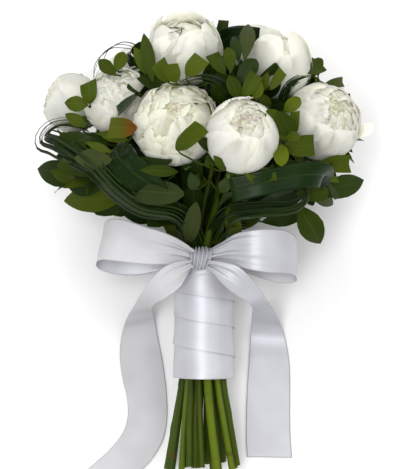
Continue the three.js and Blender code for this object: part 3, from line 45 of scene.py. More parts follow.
DATA = {
    'origin': [3.867, -8.312, 81.93],
    'slope': 0.2567,
    'lie': [-192.0, -35.3],
    'RB': 24.76749368369956,
    'blooms': [
        {'name':'peony_01','c':[-17.0,186.7,40.0],'r':33.5,'d':[-0.08,0.797,0.598],'open':0.45,'st':0.95},
        {'name':'peony_02','c':[48.6,189.5,-30.0],'r':30.5,'d':[0.15,0.968,-0.2],'open':0.35,'st':1.0},
        {'name':'peony_03','c':[66.7,172.3,40.0],'r':28.0,'d':[0.12,0.9,0.42],'open':0.3,'st':1.05},
        {'name':'peony_04','c':[105.9,122.5,46.0],'r':35.0,'d':[0.381,0.381,0.842],'open':0.4,'st':1.0},
        {'name':'peony_05','c':[33.1,105.8,110.0],'r':31.5,'d':[0.14,0.459,0.878],'open':0.15,'st':1.08},
        {'name':'peony_06','c':[-25.4,119.0,75.0],'r':37.5,'d':[-0.02,0.28,0.96],'open':1.0,'st':0.9},
        {'name':'peony_07','c':[-77.0,141.7,27.0],'r':32.0,'d':[-0.221,0.522,0.824],'open':0.8,'st':0.95},
        {'name':'peony_08','c':[-122.4,143.5,-14.0],'r':27.5,'d':[-0.911,0.384,0.152],'open':0.35,'st':1.0},
        {'name':'peony_09','c':[-63.0,169.5,-37.0],'r':30.0,'d':[-0.449,0.858,-0.249],'open':0.5,'st':1.0},
        {'name':'peony_10','c':[69.2,134.8,-85.5],'r':34.0,'d':[0.419,0.299,-0.857],'open':0.5,'st':0.95},
        {'name':'peony_11','c':[-54.1,130.0,-85.0],'r':34.0,'d':[-0.419,0.299,-0.857],'open':0.4,'st':0.95},
    ],
    'stems': [
        {'name':'peony_01','kind':'peony','path':[[2.1,-191.2,-18.6],[3.1,-150.0,-15.0],[3.4,-108.0,-11.3],[3.5,-50.0,-10.8],[3.7,0.0,-10.4],[3.1,34.1,-12.5],[-0.6,69.5,-10.5],[-5.8,104.1,-4.2],[-11.0,136.0,6.7],[-14.6,163.1,22.3]]},
        {'name':'peony_02','kind':'peony','path':[[17.0,-190.0,-24.2],[15.0,-150.0,-18.7],[12.2,-108.0,-13.4],[12.0,-50.0,-12.5],[12.0,0.0,-11.9],[17.7,32.8,-15.2],[24.6,66.3,-16.7],[32.0,99.6,-17.9],[38.9,131.8,-20.0],[44.3,162.0,-24.3]]},
        {'name':'peony_03','kind':'peony','path':[[15.2,-189.1,-10.1],[12.6,-150.0,-7.3],[9.6,-108.0,-4.8],[9.3,-50.0,-4.3],[9.2,0.0,-4.0],[16.5,31.4,-3.5],[29.1,62.2,0.6],[43.5,92.1,7.6],[56.1,120.7,17.1],[63.4,147.7,28.5]]},
        {'name':'peony_04','kind':'peony','path':[[29.8,-191.2,-3.3],[23.0,-150.0,-0.7],[16.7,-108.0,1.1],[15.9,-50.0,1.5],[15.5,0.0,1.8],[25.3,26.9,0.6],[42.0,53.3,-1.8],[61.7,77.3,-1.9],[80.2,96.9,3.7],[93.5,110.1,18.6]]},
        {'name':'peony_05','kind':'peony','path':[[12.2,-194.6,29.9],[6.5,-150.0,24.8],[2.9,-108.0,19.6],[2.2,-50.0,18.8],[1.7,0.0,18.4],[4.3,22.2,25.3],[10.1,43.5,35.7],[17.3,63.0,49.1],[24.1,79.3,64.8],[28.7,91.3,82.2]]},
        {'name':'peony_06','kind':'peony','path':[[-7.9,-191.5,14.2],[-7.5,-150.0,10.9],[-6.6,-108.0,7.8],[-6.5,-50.0,7.3],[-6.5,0.0,7.0],[-9.5,25.4,8.9],[-14.1,52.7,11.9],[-18.9,78.3,17.8],[-22.9,98.7,28.2],[-24.8,110.2,44.9]]},
        {'name':'peony_07','kind':'peony','path':[[-19.6,-193.1,-7.0],[-15.2,-150.0,-7.2],[-11.2,-108.0,-6.6],[-10.5,-50.0,-6.7],[-10.1,0.0,-6.7],[-17.7,28.8,-10.4],[-31.2,58.2,-14.7],[-47.0,86.0,-16.1],[-61.4,109.6,-11.1],[-70.7,126.9,3.7]]},
        {'name':'peony_08','kind':'peony','path':[[-30.2,-195.7,3.2],[-24.3,-150.0,0.1],[-18.8,-108.0,-1.8],[-17.9,-50.0,-2.2],[-17.4,0.0,-2.6],[-25.9,31.7,-5.4],[-38.4,63.8,-10.7],[-54.8,93.4,-16.0],[-75.1,117.7,-19.2],[-99.1,133.7,-17.9]]},
        {'name':'peony_09','kind':'peony','path':[[-33.6,-195.5,-11.3],[-25.8,-150.0,-11.8],[-19.1,-108.0,-11.0],[-18.0,-50.0,-11.0],[-17.3,0.0,-11.2],[-22.6,29.9,-14.6],[-27.4,60.9,-17.4],[-32.9,91.5,-20.4],[-40.2,120.2,-24.4],[-50.4,145.5,-30.0]]},
        {'name':'peony_10','kind':'peony','path':[[4.1,-189.3,-32.6],[5.7,-150.0,-26.4],[6.1,-108.0,-20.0],[6.4,-50.0,-19.0],[6.7,0.0,-18.3],[11.6,29.3,-23.0],[20.7,60.3,-26.7],[32.4,89.2,-32.3],[45.0,112.3,-42.4],[56.7,125.8,-59.7]]},
        {'name':'peony_11','kind':'peony','path':[[-20.0,-193.0,-21.4],[-14.4,-150.0,-18.8],[-9.8,-108.0,-15.6],[-8.9,-50.0,-15.2],[-8.3,0.0,-15.0],[-11.8,27.9,-19.3],[-17.1,57.7,-24.1],[-23.9,85.6,-31.1],[-32.1,108.0,-42.2],[-41.5,121.0,-59.2]]},
        {'name':'sprig_01','kind':'sprig','path':[[-20.6,-194.8,16.7],[-17.8,-150.0,11.6],[-14.6,-108.0,7.6],[-14.2,-50.0,6.9],[-14.0,0.0,6.4],[-22.6,21.9,9.5],[-38.5,40.7,14.7],[-58.8,56.4,21.1],[-80.6,69.4,28.2],[-100.9,79.8,35.0]]},
        {'name':'sprig_02','kind':'sprig','path':[[-13.4,-189.2,25.3],[-12.9,-150.0,19.7],[-11.4,-108.0,14.3],[-11.3,-50.0,13.4],[-11.3,0.0,12.8],[-17.2,16.9,16.8],[-28.5,31.4,23.0],[-43.1,43.5,30.7],[-58.8,52.9,39.2],[-73.3,59.7,48.0]]},
        {'name':'sprig_03','kind':'sprig','path':[[-17.3,-191.7,5.6],[-14.4,-150.0,3.2],[-11.4,-108.0,1.4],[-10.9,-50.0,1.0],[-10.7,0.0,0.7],[-19.6,31.0,1.3],[-36.1,60.1,2.2],[-57.5,87.1,3.4],[-80.6,111.8,4.7],[-102.7,133.9,6.0]]},
        {'name':'sprig_04','kind':'sprig','path':[[-6.8,-189.6,-9.4],[-4.9,-150.0,-8.2],[-3.2,-108.0,-6.7],[-2.9,-50.0,-6.5],[-2.6,0.0,-6.4],[-7.1,36.7,-7.2],[-16.8,73.4,-5.1],[-29.7,109.4,-1.6],[-43.7,143.9,1.9],[-56.9,176.3,4.0]]},
        {'name':'sprig_05','kind':'sprig','path':[[8.0,-195.1,0.5],[5.9,-150.0,1.0],[4.2,-108.0,1.2],[4.0,-50.0,1.2],[3.9,0.0,1.3],[3.6,33.0,5.8],[0.6,65.6,16.6],[-4.0,97.1,31.3],[-8.7,127.2,47.2],[-12.3,155.3,62.0]]},
        {'name':'sprig_06','kind':'sprig','path':[[14.0,-195.0,17.2],[8.9,-150.0,14.7],[5.3,-108.0,12.0],[4.8,-50.0,11.6],[4.4,0.0,11.4],[7.4,33.9,17.9],[12.2,67.7,27.4],[18.4,100.6,39.2],[25.2,131.8,52.3],[32.1,160.3,66.0]]},
        {'name':'sprig_07','kind':'sprig','path':[[26.1,-193.0,20.0],[18.0,-150.0,17.9],[11.7,-108.0,15.0],[10.8,-50.0,14.7],[10.2,0.0,14.6],[16.3,27.8,22.0],[26.7,54.0,33.3],[39.8,78.3,47.2],[54.1,100.0,62.5],[67.9,118.9,78.0]]},
        {'name':'sprig_08','kind':'sprig','path':[[25.7,-194.6,8.7],[18.4,-150.0,8.8],[12.7,-108.0,8.0],[11.9,-50.0,8.0],[11.4,0.0,8.1],[19.0,20.3,12.2],[33.7,37.2,19.5],[52.6,50.9,28.6],[72.8,61.9,38.5],[91.5,70.4,48.0]]},
        {'name':'sprig_09','kind':'sprig','path':[[28.7,-195.1,-16.5],[22.9,-150.0,-11.1],[17.3,-108.0,-6.9],[16.8,-50.0,-6.2],[16.5,0.0,-5.6],[27.6,35.7,-7.6],[45.1,70.0,-9.0],[66.7,102.4,-10.3],[90.1,132.4,-11.8],[113.1,159.3,-14.0]]},
        {'name':'sprig_10','kind':'sprig','path':[[-1.8,-189.9,25.1],[-3.3,-150.0,20.3],[-4.1,-108.0,15.5],[-4.3,-50.0,14.7],[-4.5,0.0,14.2],[-4.3,20.7,21.9],[-1.9,39.2,35.8],[1.5,55.2,53.7],[4.9,68.7,73.2],[7.2,79.7,92.0]]},
        {'name':'sprig_11','kind':'sprig','path':[[-8.5,-196.0,-28.1],[-4.4,-150.0,-23.0],[-1.7,-108.0,-18.1],[-1.1,-50.0,-17.4],[-0.7,0.0,-17.0],[-0.3,31.5,-24.2],[1.3,63.2,-33.3],[3.4,94.3,-44.0],[5.6,123.6,-56.3],[7.5,150.2,-70.0]]},
    ],
    'whorls': [
        {'s':5,'a':[25.2,131.8,52.3],'q':[13.7,188.5,4.0]},
        {'s':3,'a':[-43.7,143.9,1.9],'q':[-17.8,187.3,0.0]},
        {'s':3,'a':[-40.2,135.3,1.0],'q':[-23.8,178.1,-30.0]},
        {'s':10,'a':[5.9,127.0,-58.0],'q':[19.0,169.0,-38.4]},
        {'s':10,'a':[5.4,120.0,-54.7],'q':[56.6,154.3,-38.1]},
        {'s':10,'a':[4.8,112.6,-51.7],'q':[-38.1,145.2,-48.0]},
        {'s':8,'a':[81.3,121.2,-11.2],'q':[81.7,157.1,12.9]},
        {'s':8,'a':[78.4,117.4,-11.0],'q':[81.2,149.6,-23.7]},
        {'s':2,'a':[-74.8,105.6,4.4],'q':[-78.0,136.4,-40.2]},
        {'s':8,'a':[78.4,117.4,-11.0],'q':[97.7,137.6,-2.0]},
        {'s':10,'a':[4.8,112.6,-51.7],'q':[0.5,134.7,-69.8]},
        {'s':10,'a':[4.2,105.3,-48.6],'q':[34.9,122.1,-68.2]},
        {'s':10,'a':[3.7,98.0,-45.5],'q':[-19.2,113.6,-72.7]},
        {'s':6,'a':[48.7,91.9,56.8],'q':[71.8,105.6,62.6]},
        {'s':10,'a':[3.4,94.3,-44.0],'q':[70.7,108.5,-54.8]},
        {'s':2,'a':[-60.3,90.2,3.6],'q':[-76.9,107.7,-53.7]},
        {'s':7,'a':[84.5,67.2,44.4],'q':[109.6,106.2,8.5]},
        {'s':10,'a':[3.4,94.3,-44.0],'q':[15.2,103.2,-76.7]},
        {'s':2,'a':[-71.9,102.5,4.2],'q':[-107.7,100.2,-14.3]},
        {'s':8,'a':[61.3,94.3,-10.0],'q':[96.3,98.7,-36.4]},
        {'s':10,'a':[2.6,82.7,-40.0],'q':[-45.5,93.5,-69.7]},
        {'s':7,'a':[79.8,65.1,42.1],'q':[100.5,82.5,36.1]},
        {'s':0,'a':[-88.2,73.3,30.7],'q':[-104.6,92.7,33.9]},
        {'s':10,'a':[2.6,82.7,-40.0],'q':[52.1,91.3,-68.5]},
        {'s':2,'a':[-60.3,90.2,3.6],'q':[-93.0,88.3,-40.7]},
        {'s':10,'a':[2.3,78.8,-38.6],'q':[-8.6,83.8,-77.5]},
        {'s':8,'a':[50.5,78.1,-9.3],'q':[81.8,79.3,-50.4]},
        {'s':2,'a':[-44.1,70.3,2.7],'q':[-65.8,76.3,-60.8]},
        {'s':0,'a':[-77.8,67.7,27.3],'q':[-92.4,73.3,50.5]},
        {'s':10,'a':[1.8,71.0,-35.9],'q':[29.2,71.8,-73.3]},
        {'s':10,'a':[1.1,59.3,-32.1],'q':[-30.8,64.3,-71.3]},
        {'s':10,'a':[1.1,59.3,-32.1],'q':[61.1,59.8,-58.9]},
        {'s':10,'a':[0.7,51.3,-29.9],'q':[5.7,52.3,-70.8]},
    ],
    'leaves': [
        {'s':3,'a':[-48.7,156.1,2.7],'b':[-44.9,155.6,84.5],'m':[-49.5,180.1,70.9],'t':[-53.5,200.8,51.8],'w':11.6,'k':'M','tip':'p','n':[-0.11,0.57,0.81],'x':1,'h':-1},
        {'s':3,'a':[-48.7,156.1,2.7],'b':[-44.9,158.9,72.5],'m':[-53.8,174.2,68.7],'t':[-62.1,188.3,60.8],'w':11.6,'k':'L','tip':'p','n':[-0.16,0.28,0.95],'x':1,'h':-1},
        {'s':4,'a':[-12.3,155.3,62.0],'b':[-32.1,154.6,93.1],'m':[-35.8,162.9,96.5],'t':[-39.8,171.7,97.6],'w':13.1,'k':'M','tip':'c','n':[0.1,-0.21,0.97],'x':1,'h':-1},
        {'s':4,'a':[-12.3,155.3,62.0],'b':[-24.1,153.4,98.3],'m':[-26.6,161.0,102.5],'t':[-29.2,169.3,104.6],'w':13.0,'k':'M','tip':'c','n':[0.11,-0.34,0.94],'x':1,'h':-1},
        {'s':4,'a':[-12.3,155.3,62.0],'b':[-15.4,159.4,98.4],'m':[-8.7,166.7,102.7],'t':[-1.5,174.5,104.6],'w':14.7,'k':'L','tip':'c','n':[-0.2,-0.21,0.96],'x':1,'h':-1},
        {'s':3,'a':[-55.2,172.2,3.7],'b':[-78.8,163.7,51.5],'m':[-87.8,172.4,42.7],'t':[-95.5,179.8,36.4],'w':11.7,'k':'M','tip':'p','n':[-0.39,0.38,0.84],'x':1,'h':-1},
        {'s':3,'a':[-56.9,176.3,4.0],'b':[-79.0,167.7,47.1],'m':[-75.3,176.5,44.5],'t':[-71.6,185.2,46.3],'w':11.7,'k':'L','tip':'r','n':[0.02,0.04,1.0],'x':1,'h':-1},
        {'s':2,'a':[-102.7,133.9,6.0],'b':[-101.5,138.0,55.5],'m':[-102.2,147.3,58.9],'t':[-103.0,157.2,59.9],'w':14.2,'k':'L','tip':'c','n':[0.02,-0.22,0.97],'x':1,'h':-1},
        {'s':2,'a':[-102.7,133.9,6.0],'b':[-103.3,137.1,54.7],'m':[-114.4,138.2,54.0],'t':[-125.1,139.2,50.7],'w':13.4,'k':'L','tip':'p','n':[-0.18,0.02,0.98],'x':1,'h':-1},
        {'s':2,'a':[-94.4,125.6,5.5],'b':[-105.2,118.5,53.1],'m':[-114.6,123.9,54.2],'t':[-124.0,129.2,52.7],'w':10.7,'k':'L','tip':'p','n':[-0.01,0.01,1.0],'x':1,'h':-1},
        {'s':0,'a':[-93.3,75.9,32.4],'b':[-58.0,114.2,99.5],'m':[-69.8,114.0,103.1],'t':[-82.1,113.9,103.9],'w':17.3,'k':'R','tip':'c','n':[0.18,0.0,0.98],'x':1,'h':-1},
        {'s':0,'a':[-93.3,75.9,32.4],'b':[-66.2,104.1,91.6],'m':[-79.1,107.1,94.2],'t':[-92.2,110.1,93.7],'w':9.6,'k':'M','tip':'p','n':[0.07,-0.02,1.0],'x':1,'h':-1},
        {'s':0,'a':[-98.4,78.5,34.1],'b':[-80.7,94.1,80.1],'m':[-92.6,98.5,81.6],'t':[-104.4,102.9,80.1],'w':7.0,'k':'L','tip':'p','n':[-0.0,0.0,1.0],'x':1,'h':-1},
        {'s':0,'a':[-100.9,79.8,35.0],'b':[-99.6,107.6,57.3],'m':[-117.1,103.6,54.4],'t':[-133.4,100.0,47.3],'w':19.7,'k':'D','tip':'r','n':[-0.27,-0.06,0.96],'x':1,'h':-1},
        {'s':0,'a':[-93.3,75.9,32.4],'b':[-81.0,87.3,74.4],'m':[-98.1,88.3,74.5],'t':[-114.7,89.2,70.6],'w':17.7,'k':'U','tip':'p','n':[-0.11,0.01,0.99],'x':1,'h':-1},
        {'s':0,'a':[-95.8,77.2,33.3],'b':[-104.5,70.7,36.1],'m':[-131.2,76.8,24.1],'t':[-154.5,82.1,6.0],'w':23.8,'k':'D','tip':'p','n':[-0.49,0.11,0.86],'x':1,'h':-1},
        {'s':0,'a':[-100.9,79.8,35.0],'b':[-113.2,68.8,41.4],'m':[-126.3,74.4,40.3],'t':[-138.8,79.8,35.8],'w':11.7,'k':'M','tip':'p','n':[-0.18,0.08,0.98],'x':1,'h':-1},
        {'s':1,'a':[-66.0,56.3,43.6],'b':[-68.1,56.2,44.1],'m':[-101.6,54.1,28.8],'t':[-130.6,52.3,6.0],'w':23.8,'k':'M','tip':'p','n':[-0.52,-0.03,0.85],'x':1,'h':-1},
        {'s':1,'a':[-73.3,59.7,48.0],'b':[-89.2,64.9,52.5],'m':[-107.9,65.2,45.5],'t':[-124.5,65.4,34.2],'w':18.1,'k':'D','tip':'p','n':[-0.46,0.01,0.89],'x':1,'h':-1},
        {'s':1,'a':[-67.9,57.1,44.7],'b':[-27.6,86.3,99.6],'m':[-49.2,81.8,93.1],'t':[-71.0,87.2,91.4],'w':14,'k':'D','tip':'r','n':[0.04,-0.01,1.0],'x':1,'h':-1},
        {'s':1,'a':[-62.4,54.6,41.4],'b':[-22.3,75.8,103.7],'m':[-38.1,76.5,110.2],'t':[-54.9,77.2,112.9],'w':10.3,'k':'M','tip':'p','n':[0.27,-0.01,0.96],'x':1,'h':-1},
        {'s':1,'a':[-73.3,59.7,48.0],'b':[-73.9,60.8,75.2],'m':[-47.1,58.9,91.7],'t':[-17.1,56.8,101.4],'w':20.8,'k':'U','tip':'r','n':[-0.42,0.03,0.91],'x':1,'h':-1},
        {'s':9,'a':[7.2,79.7,92.0],'b':[-23.8,94.2,119.2],'m':[-14.2,102.4,133.6],'t':[-2.2,112.6,144.5],'w':14.4,'k':'M','tip':'c','n':[-0.51,-0.43,0.75],'x':1,'h':-1},
        {'s':9,'a':[7.2,79.7,92.0],'b':[9.8,94.7,107.9],'m':[2.5,99.3,119.1],'t':[-6.6,105.1,125.0],'w':10.3,'k':'D','tip':'p','n':[0.56,-0.36,0.75],'x':1,'h':-1},
        {'s':9,'a':[7.2,79.7,92.0],'b':[15.9,95.0,101.2],'m':[9.2,88.8,110.4],'t':[1.1,81.4,117.3],'w':12.0,'k':'D','tip':'p','n':[0.46,0.42,0.78],'x':1,'h':-1},
        {'s':9,'a':[7.2,79.7,92.0],'b':[19.2,77.3,117.1],'m':[14.6,82.3,125.2],'t':[8.8,88.6,130.5],'w':7.7,'k':'M','tip':'p','n':[0.45,-0.48,0.75],'x':1,'h':-1},
        {'s':9,'a':[5.2,70.1,75.5],'b':[-6.8,60.5,90.3],'m':[-8.8,66.6,103.1],'t':[-11.8,75.5,114.0],'w':10.3,'k':'D','tip':'p','n':[0.26,-0.79,0.56],'x':1,'h':-1},
        {'s':9,'a':[5.2,70.1,75.5],'b':[14.2,58.8,87.8],'m':[18.5,64.4,100.2],'t':[24.4,72.1,110.5],'w':10.4,'k':'D','tip':'p','n':[-0.49,-0.64,0.59],'x':1,'h':-1},
        {'s':5,'a':[32.1,160.3,66.0],'b':[36.0,174.1,90.4],'m':[38.6,196.2,68.4],'t':[40.5,212.6,41.7],'w':13.5,'k':'U','tip':'p','n':[0.09,0.78,0.62],'x':1,'h':-1},
        {'s':5,'a':[32.1,160.3,66.0],'b':[30.8,172.5,88.3],'m':[28.1,186.0,82.4],'t':[25.8,197.7,73.4],'w':9.7,'k':'D','tip':'p','n':[-0.1,0.49,0.87],'x':1,'h':-1},
        {'s':5,'a':[32.1,160.3,66.0],'b':[23.7,163.0,97.7],'m':[22.6,174.5,96.1],'t':[21.6,185.3,91.9],'w':10.5,'k':'M','tip':'r','n':[-0.02,0.25,0.97],'x':1,'h':-1},
        {'s':5,'a':[32.1,160.3,66.0],'b':[18.5,161.5,94.9],'m':[12.9,170.1,96.6],'t':[7.2,178.8,95.9],'w':11.3,'k':'M','tip':'c','n':[0.03,-0.04,1.0],'x':1,'h':-1},
        {'s':5,'a':[32.1,160.3,66.0],'b':[29.8,152.4,100.2],'m':[37.6,163.2,102.1],'t':[45.4,174.0,100.8],'w':14.8,'k':'D','tip':'r','n':[-0.01,-0.02,1.0],'x':1,'h':-1},
        {'s':5,'a':[30.4,153.2,62.6],'b':[31.4,137.8,109.2],'m':[26.8,147.3,115.2],'t':[21.7,157.8,118.5],'w':12.0,'k':'M','tip':'r','n':[0.17,-0.35,0.92],'x':1,'h':-1},
        {'s':5,'a':[31.2,156.7,64.3],'b':[34.8,139.4,111.8],'m':[39.8,149.5,114.6],'t':[45.0,159.9,114.6],'w':12.1,'k':'L','tip':'c','n':[-0.06,-0.11,0.99],'x':1,'h':-1},
        {'s':5,'a':[31.2,156.7,64.3],'b':[43.5,138.9,106.4],'m':[46.8,145.7,110.0],'t':[50.3,153.2,111.8],'w':9.5,'k':'L','tip':'p','n':[-0.14,-0.29,0.95],'x':1,'h':-1},
        {'s':5,'a':[31.2,156.7,64.3],'b':[50.8,145.9,93.1],'m':[53.3,154.3,96.1],'t':[55.9,163.0,97.0],'w':7.8,'k':'M','tip':'p','n':[-0.06,-0.2,0.98],'x':1,'h':-1},
        {'s':5,'a':[32.1,160.3,66.0],'b':[57.9,147.9,89.9],'m':[63.5,156.2,91.4],'t':[69.2,164.5,90.5],'w':8.7,'k':'L','tip':'c','n':[-0.02,-0.02,1.0],'x':1,'h':-1},
        {'s':5,'a':[29.5,149.6,60.9],'b':[57.7,131.8,95.9],'m':[52.8,137.6,103.6],'t':[46.9,144.7,109.2],'w':9.5,'k':'M','tip':'p','n':[0.4,-0.48,0.78],'x':1,'h':-1},
        {'s':6,'a':[67.9,118.9,78.0],'b':[69.8,128.2,97.8],'m':[76.6,134.0,100.4],'t':[83.6,140.1,100.9],'w':11.3,'k':'L','tip':'r','n':[-0.13,-0.11,0.99],'x':1,'h':-1},
        {'s':6,'a':[67.9,118.9,78.0],'b':[73.0,103.4,105.9],'m':[64.8,114.7,118.6],'t':[55.0,128.0,127.7],'w':17.1,'k':'M','tip':'r','n':[0.34,-0.47,0.81],'x':1,'h':-1},
        {'s':6,'a':[67.9,118.9,78.0],'b':[76.5,105.2,104.3],'m':[71.5,114.5,117.8],'t':[65.2,126.3,128.4],'w':13.7,'k':'M','tip':'r','n':[0.34,-0.63,0.7],'x':1,'h':-1},
        {'s':6,'a':[67.9,118.9,78.0],'b':[78.5,107.3,98.0],'m':[78.7,116.9,103.9],'t':[79.0,127.6,107.3],'w':7.8,'k':'M','tip':'c','n':[-0.01,-0.42,0.91],'x':1,'h':-1},
        {'s':6,'a':[67.9,118.9,78.0],'b':[67.7,108.5,108.5],'m':[75.4,106.7,112.5],'t':[83.8,104.7,114.6],'w':8.6,'k':'L','tip':'r','n':[-0.34,0.08,0.94],'x':1,'h':-1},
        {'s':6,'a':[66.2,116.5,76.1],'b':[67.9,96.7,102.0],'m':[81.9,98.0,103.1],'t':[95.8,99.3,100.8],'w':17.4,'k':'M','tip':'c','n':[0.04,0.0,1.0],'x':1,'h':-1},
        {'s':6,'a':[67.9,118.9,78.0],'b':[66.0,99.9,106.3],'m':[66.5,91.1,115.3],'t':[67.2,80.4,121.9],'w':12.9,'k':'L','tip':'r','n':[-0.04,0.62,0.78],'x':1,'h':-1},
        {'s':6,'a':[48.7,91.9,56.8],'b':[50.7,63.8,96.2],'m':[44.8,67.8,109.9],'t':[36.3,73.5,121.5],'w':7.7,'k':'L','tip':'p','n':[0.69,-0.46,0.56],'x':1,'h':-1},
        {'s':6,'a':[46.9,89.1,54.9],'b':[41.9,67.2,100.8],'m':[51.3,69.4,108.7],'t':[62.3,72.0,114.1],'w':6.9,'k':'L','tip':'c','n':[-0.52,-0.12,0.84],'x':1,'h':-1},
        {'s':7,'a':[91.5,70.4,48.0],'b':[101.3,84.1,64.7],'m':[116.0,84.3,61.1],'t':[129.5,84.5,54.0],'w':15.2,'k':'M','tip':'c','n':[0.35,0.0,0.94],'x':1,'h':-1},
        {'s':7,'a':[91.5,70.4,48.0],'b':[103.0,77.0,65.9],'m':[112.4,72.4,61.3],'t':[120.6,68.4,54.4],'w':7.1,'k':'L','tip':'p','n':[0.46,-0.22,0.86],'x':1,'h':-1},
        {'s':7,'a':[86.8,68.3,45.6],'b':[103.1,58.2,32.5],'m':[126.4,65.3,22.0],'t':[146.7,71.6,6.0],'w':20.2,'k':'D','tip':'p','n':[0.48,0.15,0.87],'x':1,'h':-1},
        {'s':7,'a':[82.1,66.1,43.3],'b':[81.9,57.6,62.0],'m':[97.9,58.6,58.8],'t':[112.7,59.6,51.8],'w':15.2,'k':'M','tip':'r','n':[0.31,0.02,0.95],'x':1,'h':-1},
        {'s':7,'a':[86.8,68.3,45.6],'b':[95.4,56.2,40.5],'m':[109.3,52.6,24.7],'t':[119.2,50.0,6.0],'w':11.0,'k':'D','tip':'p','n':[0.79,-0.21,0.58],'x':1,'h':-1},
        {'s':7,'a':[75.1,62.9,39.7],'b':[85.9,47.4,32.0],'m':[97.7,28.1,21.5],'t':[107.8,11.5,6.0],'w':22.0,'k':'M','tip':'p','n':[0.27,-0.45,0.85],'x':1,'h':-1},
        {'s':8,'a':[101.6,145.8,-12.9],'b':[91.7,165.7,53.1],'m':[100.4,171.6,37.7],'t':[106.8,175.9,29.9],'w':13.6,'k':'M','tip':'c','n':[0.65,0.44,0.62],'x':1,'h':-1},
        {'s':8,'a':[104.5,149.2,-13.2],'b':[106.7,155.7,32.8],'m':[118.6,159.0,20.7],'t':[127.5,161.4,6.0],'w':9.2,'k':'M','tip':'c','n':[0.75,0.21,0.63],'x':1,'h':-1},
        {'s':8,'a':[104.5,149.2,-13.2],'b':[120.3,144.1,18.0],'m':[127.5,145.2,16.7],'t':[134.3,146.2,13.8],'w':8.2,'k':'M','tip':'c','n':[0.28,0.04,0.96],'x':1,'h':-1},
        {'s':8,'a':[101.6,145.8,-12.9],'b':[128.0,128.1,11.7],'m':[135.3,128.7,10.5],'t':[142.0,129.2,7.5],'w':9.2,'k':'M','tip':'p','n':[0.28,0.02,0.96],'x':1,'h':-1},
        {'s':7,'a':[91.5,70.4,48.0],'b':[119.5,89.0,30.2],'m':[125.2,91.4,34.3],'t':[131.7,94.1,36.8],'w':7.2,'k':'M','tip':'c','n':[-0.41,-0.17,0.9],'x':1,'h':-1},
        {'s':8,'a':[107.4,152.6,-13.4],'b':[103.6,165.5,23.9],'m':[102.8,174.4,21.5],'t':[102.1,182.5,17.0],'w':8.2,'k':'D','tip':'p','n':[-0.03,0.38,0.93],'x':1,'h':-1},
        {'s':7,'a':[40.8,42.3,22.9],'b':[52.8,33.0,20.0],'m':[74.0,36.8,15.5],'t':[93.6,40.4,6.0],'w':14.7,'k':'D','tip':'p','n':[0.32,0.06,0.95],'x':1,'h':-1},
        {'s':1,'a':[-16.5,14.8,16.3],'b':[-25.5,16.6,16.0],'m':[-31.2,29.4,39.8],'t':[-39.0,47.0,59.5],'w':9.8,'k':'M','tip':'p','n':[0.32,-0.73,0.61],'x':1,'h':-1},
        {'s':9,'a':[-4.4,12.9,19.0],'b':[-14.5,13.9,20.5],'m':[-11.4,27.3,51.7],'t':[-6.9,47.6,78.7],'w':14.1,'k':'U','tip':'r','n':[-0.19,-0.84,0.51],'x':1,'h':-1},
        {'s':9,'a':[-4.4,12.9,19.0],'b':[29.2,16.6,16.1],'m':[26.9,28.5,48.4],'t':[23.1,47.6,77.0],'w':13.2,'k':'M','tip':'r','n':[0.17,-0.87,0.46],'x':1,'h':-1},
        {'s':1,'a':[-34.0,35.9,25.9],'b':[-47.2,33.0,20.8],'m':[-61.6,38.9,29.5],'t':[-77.5,45.5,34.3],'w':12.6,'k':'D','tip':'p','n':[0.35,-0.15,0.93],'x':1,'h':-1},
        {'s':7,'a':[30.0,33.0,17.7],'b':[36.3,29.3,27.7],'m':[43.1,33.9,39.3],'t':[52.0,40.0,48.7],'w':7.2,'k':'M','tip':'p','n':[-0.61,-0.42,0.67],'x':1,'h':-1},
        {'s':5,'a':None,'b':[14.1,191.5,4.3],'m':[15.9,204.8,5.5],'t':[17.7,218.0,7.0],'w':13.9,'k':'D','tip':'c','n':[-0.66,0.16,-0.73],'x':0,'h':0},
        {'s':5,'a':None,'b':[15.1,190.7,2.4],'m':[21.7,201.9,-4.9],'t':[29.2,212.3,-13.9],'w':16.6,'k':'D','tip':'p','n':[-0.35,0.7,0.62],'x':0,'h':0},
        {'s':5,'a':None,'b':[13.2,190.8,2.1],'m':[11.1,201.5,-5.4],'t':[8.2,211.6,-14.8],'w':12.6,'k':'D','tip':'r','n':[0.38,0.64,0.67],'x':0,'h':0},
        {'s':5,'a':None,'b':[12.6,191.3,3.8],'m':[8.0,204.7,2.7],'t':[2.0,218.0,1.4],'w':12.5,'k':'D','tip':'p','n':[0.91,0.38,0.14],'x':0,'h':0},
        {'s':5,'a':None,'b':[12.6,191.2,4.7],'m':[6.8,207.3,8.6],'t':[-0.5,223.0,13.2],'w':14.8,'k':'D','tip':'p','n':[0.82,0.44,-0.38],'x':0,'h':0},
        {'s':3,'a':None,'b':[-18.3,190.3,0.2],'m':[-20.5,205.6,0.9],'t':[-22.7,220.9,1.8],'w':14.8,'k':'L','tip':'c','n':[-0.87,-0.1,-0.47],'x':0,'h':1},
        {'s':3,'a':None,'b':[-16.1,189.7,0.7],'m':[-10.2,199.7,3.1],'t':[-2.0,209.2,6.4],'w':14.2,'k':'L','tip':'r','n':[-0.74,0.61,-0.27],'x':0,'h':1},
        {'s':3,'a':None,'b':[-15.8,189.2,-1.1],'m':[-7.4,199.0,-6.1],'t':[3.6,207.7,-12.0],'w':16.9,'k':'L','tip':'p','n':[-0.62,0.76,0.19],'x':0,'h':1},
        {'s':3,'a':None,'b':[-18.1,189.1,-2.3],'m':[-19.7,199.7,-14.1],'t':[-21.0,209.2,-28.1],'w':13.2,'k':'L','tip':'r','n':[-0.14,0.77,0.62],'x':0,'h':1},
        {'s':3,'a':None,'b':[-19.4,189.4,-1.5],'m':[-25.4,198.5,-7.3],'t':[-32.5,206.7,-14.4],'w':16.9,'k':'L','tip':'r','n':[0.39,0.72,0.57],'x':0,'h':1},
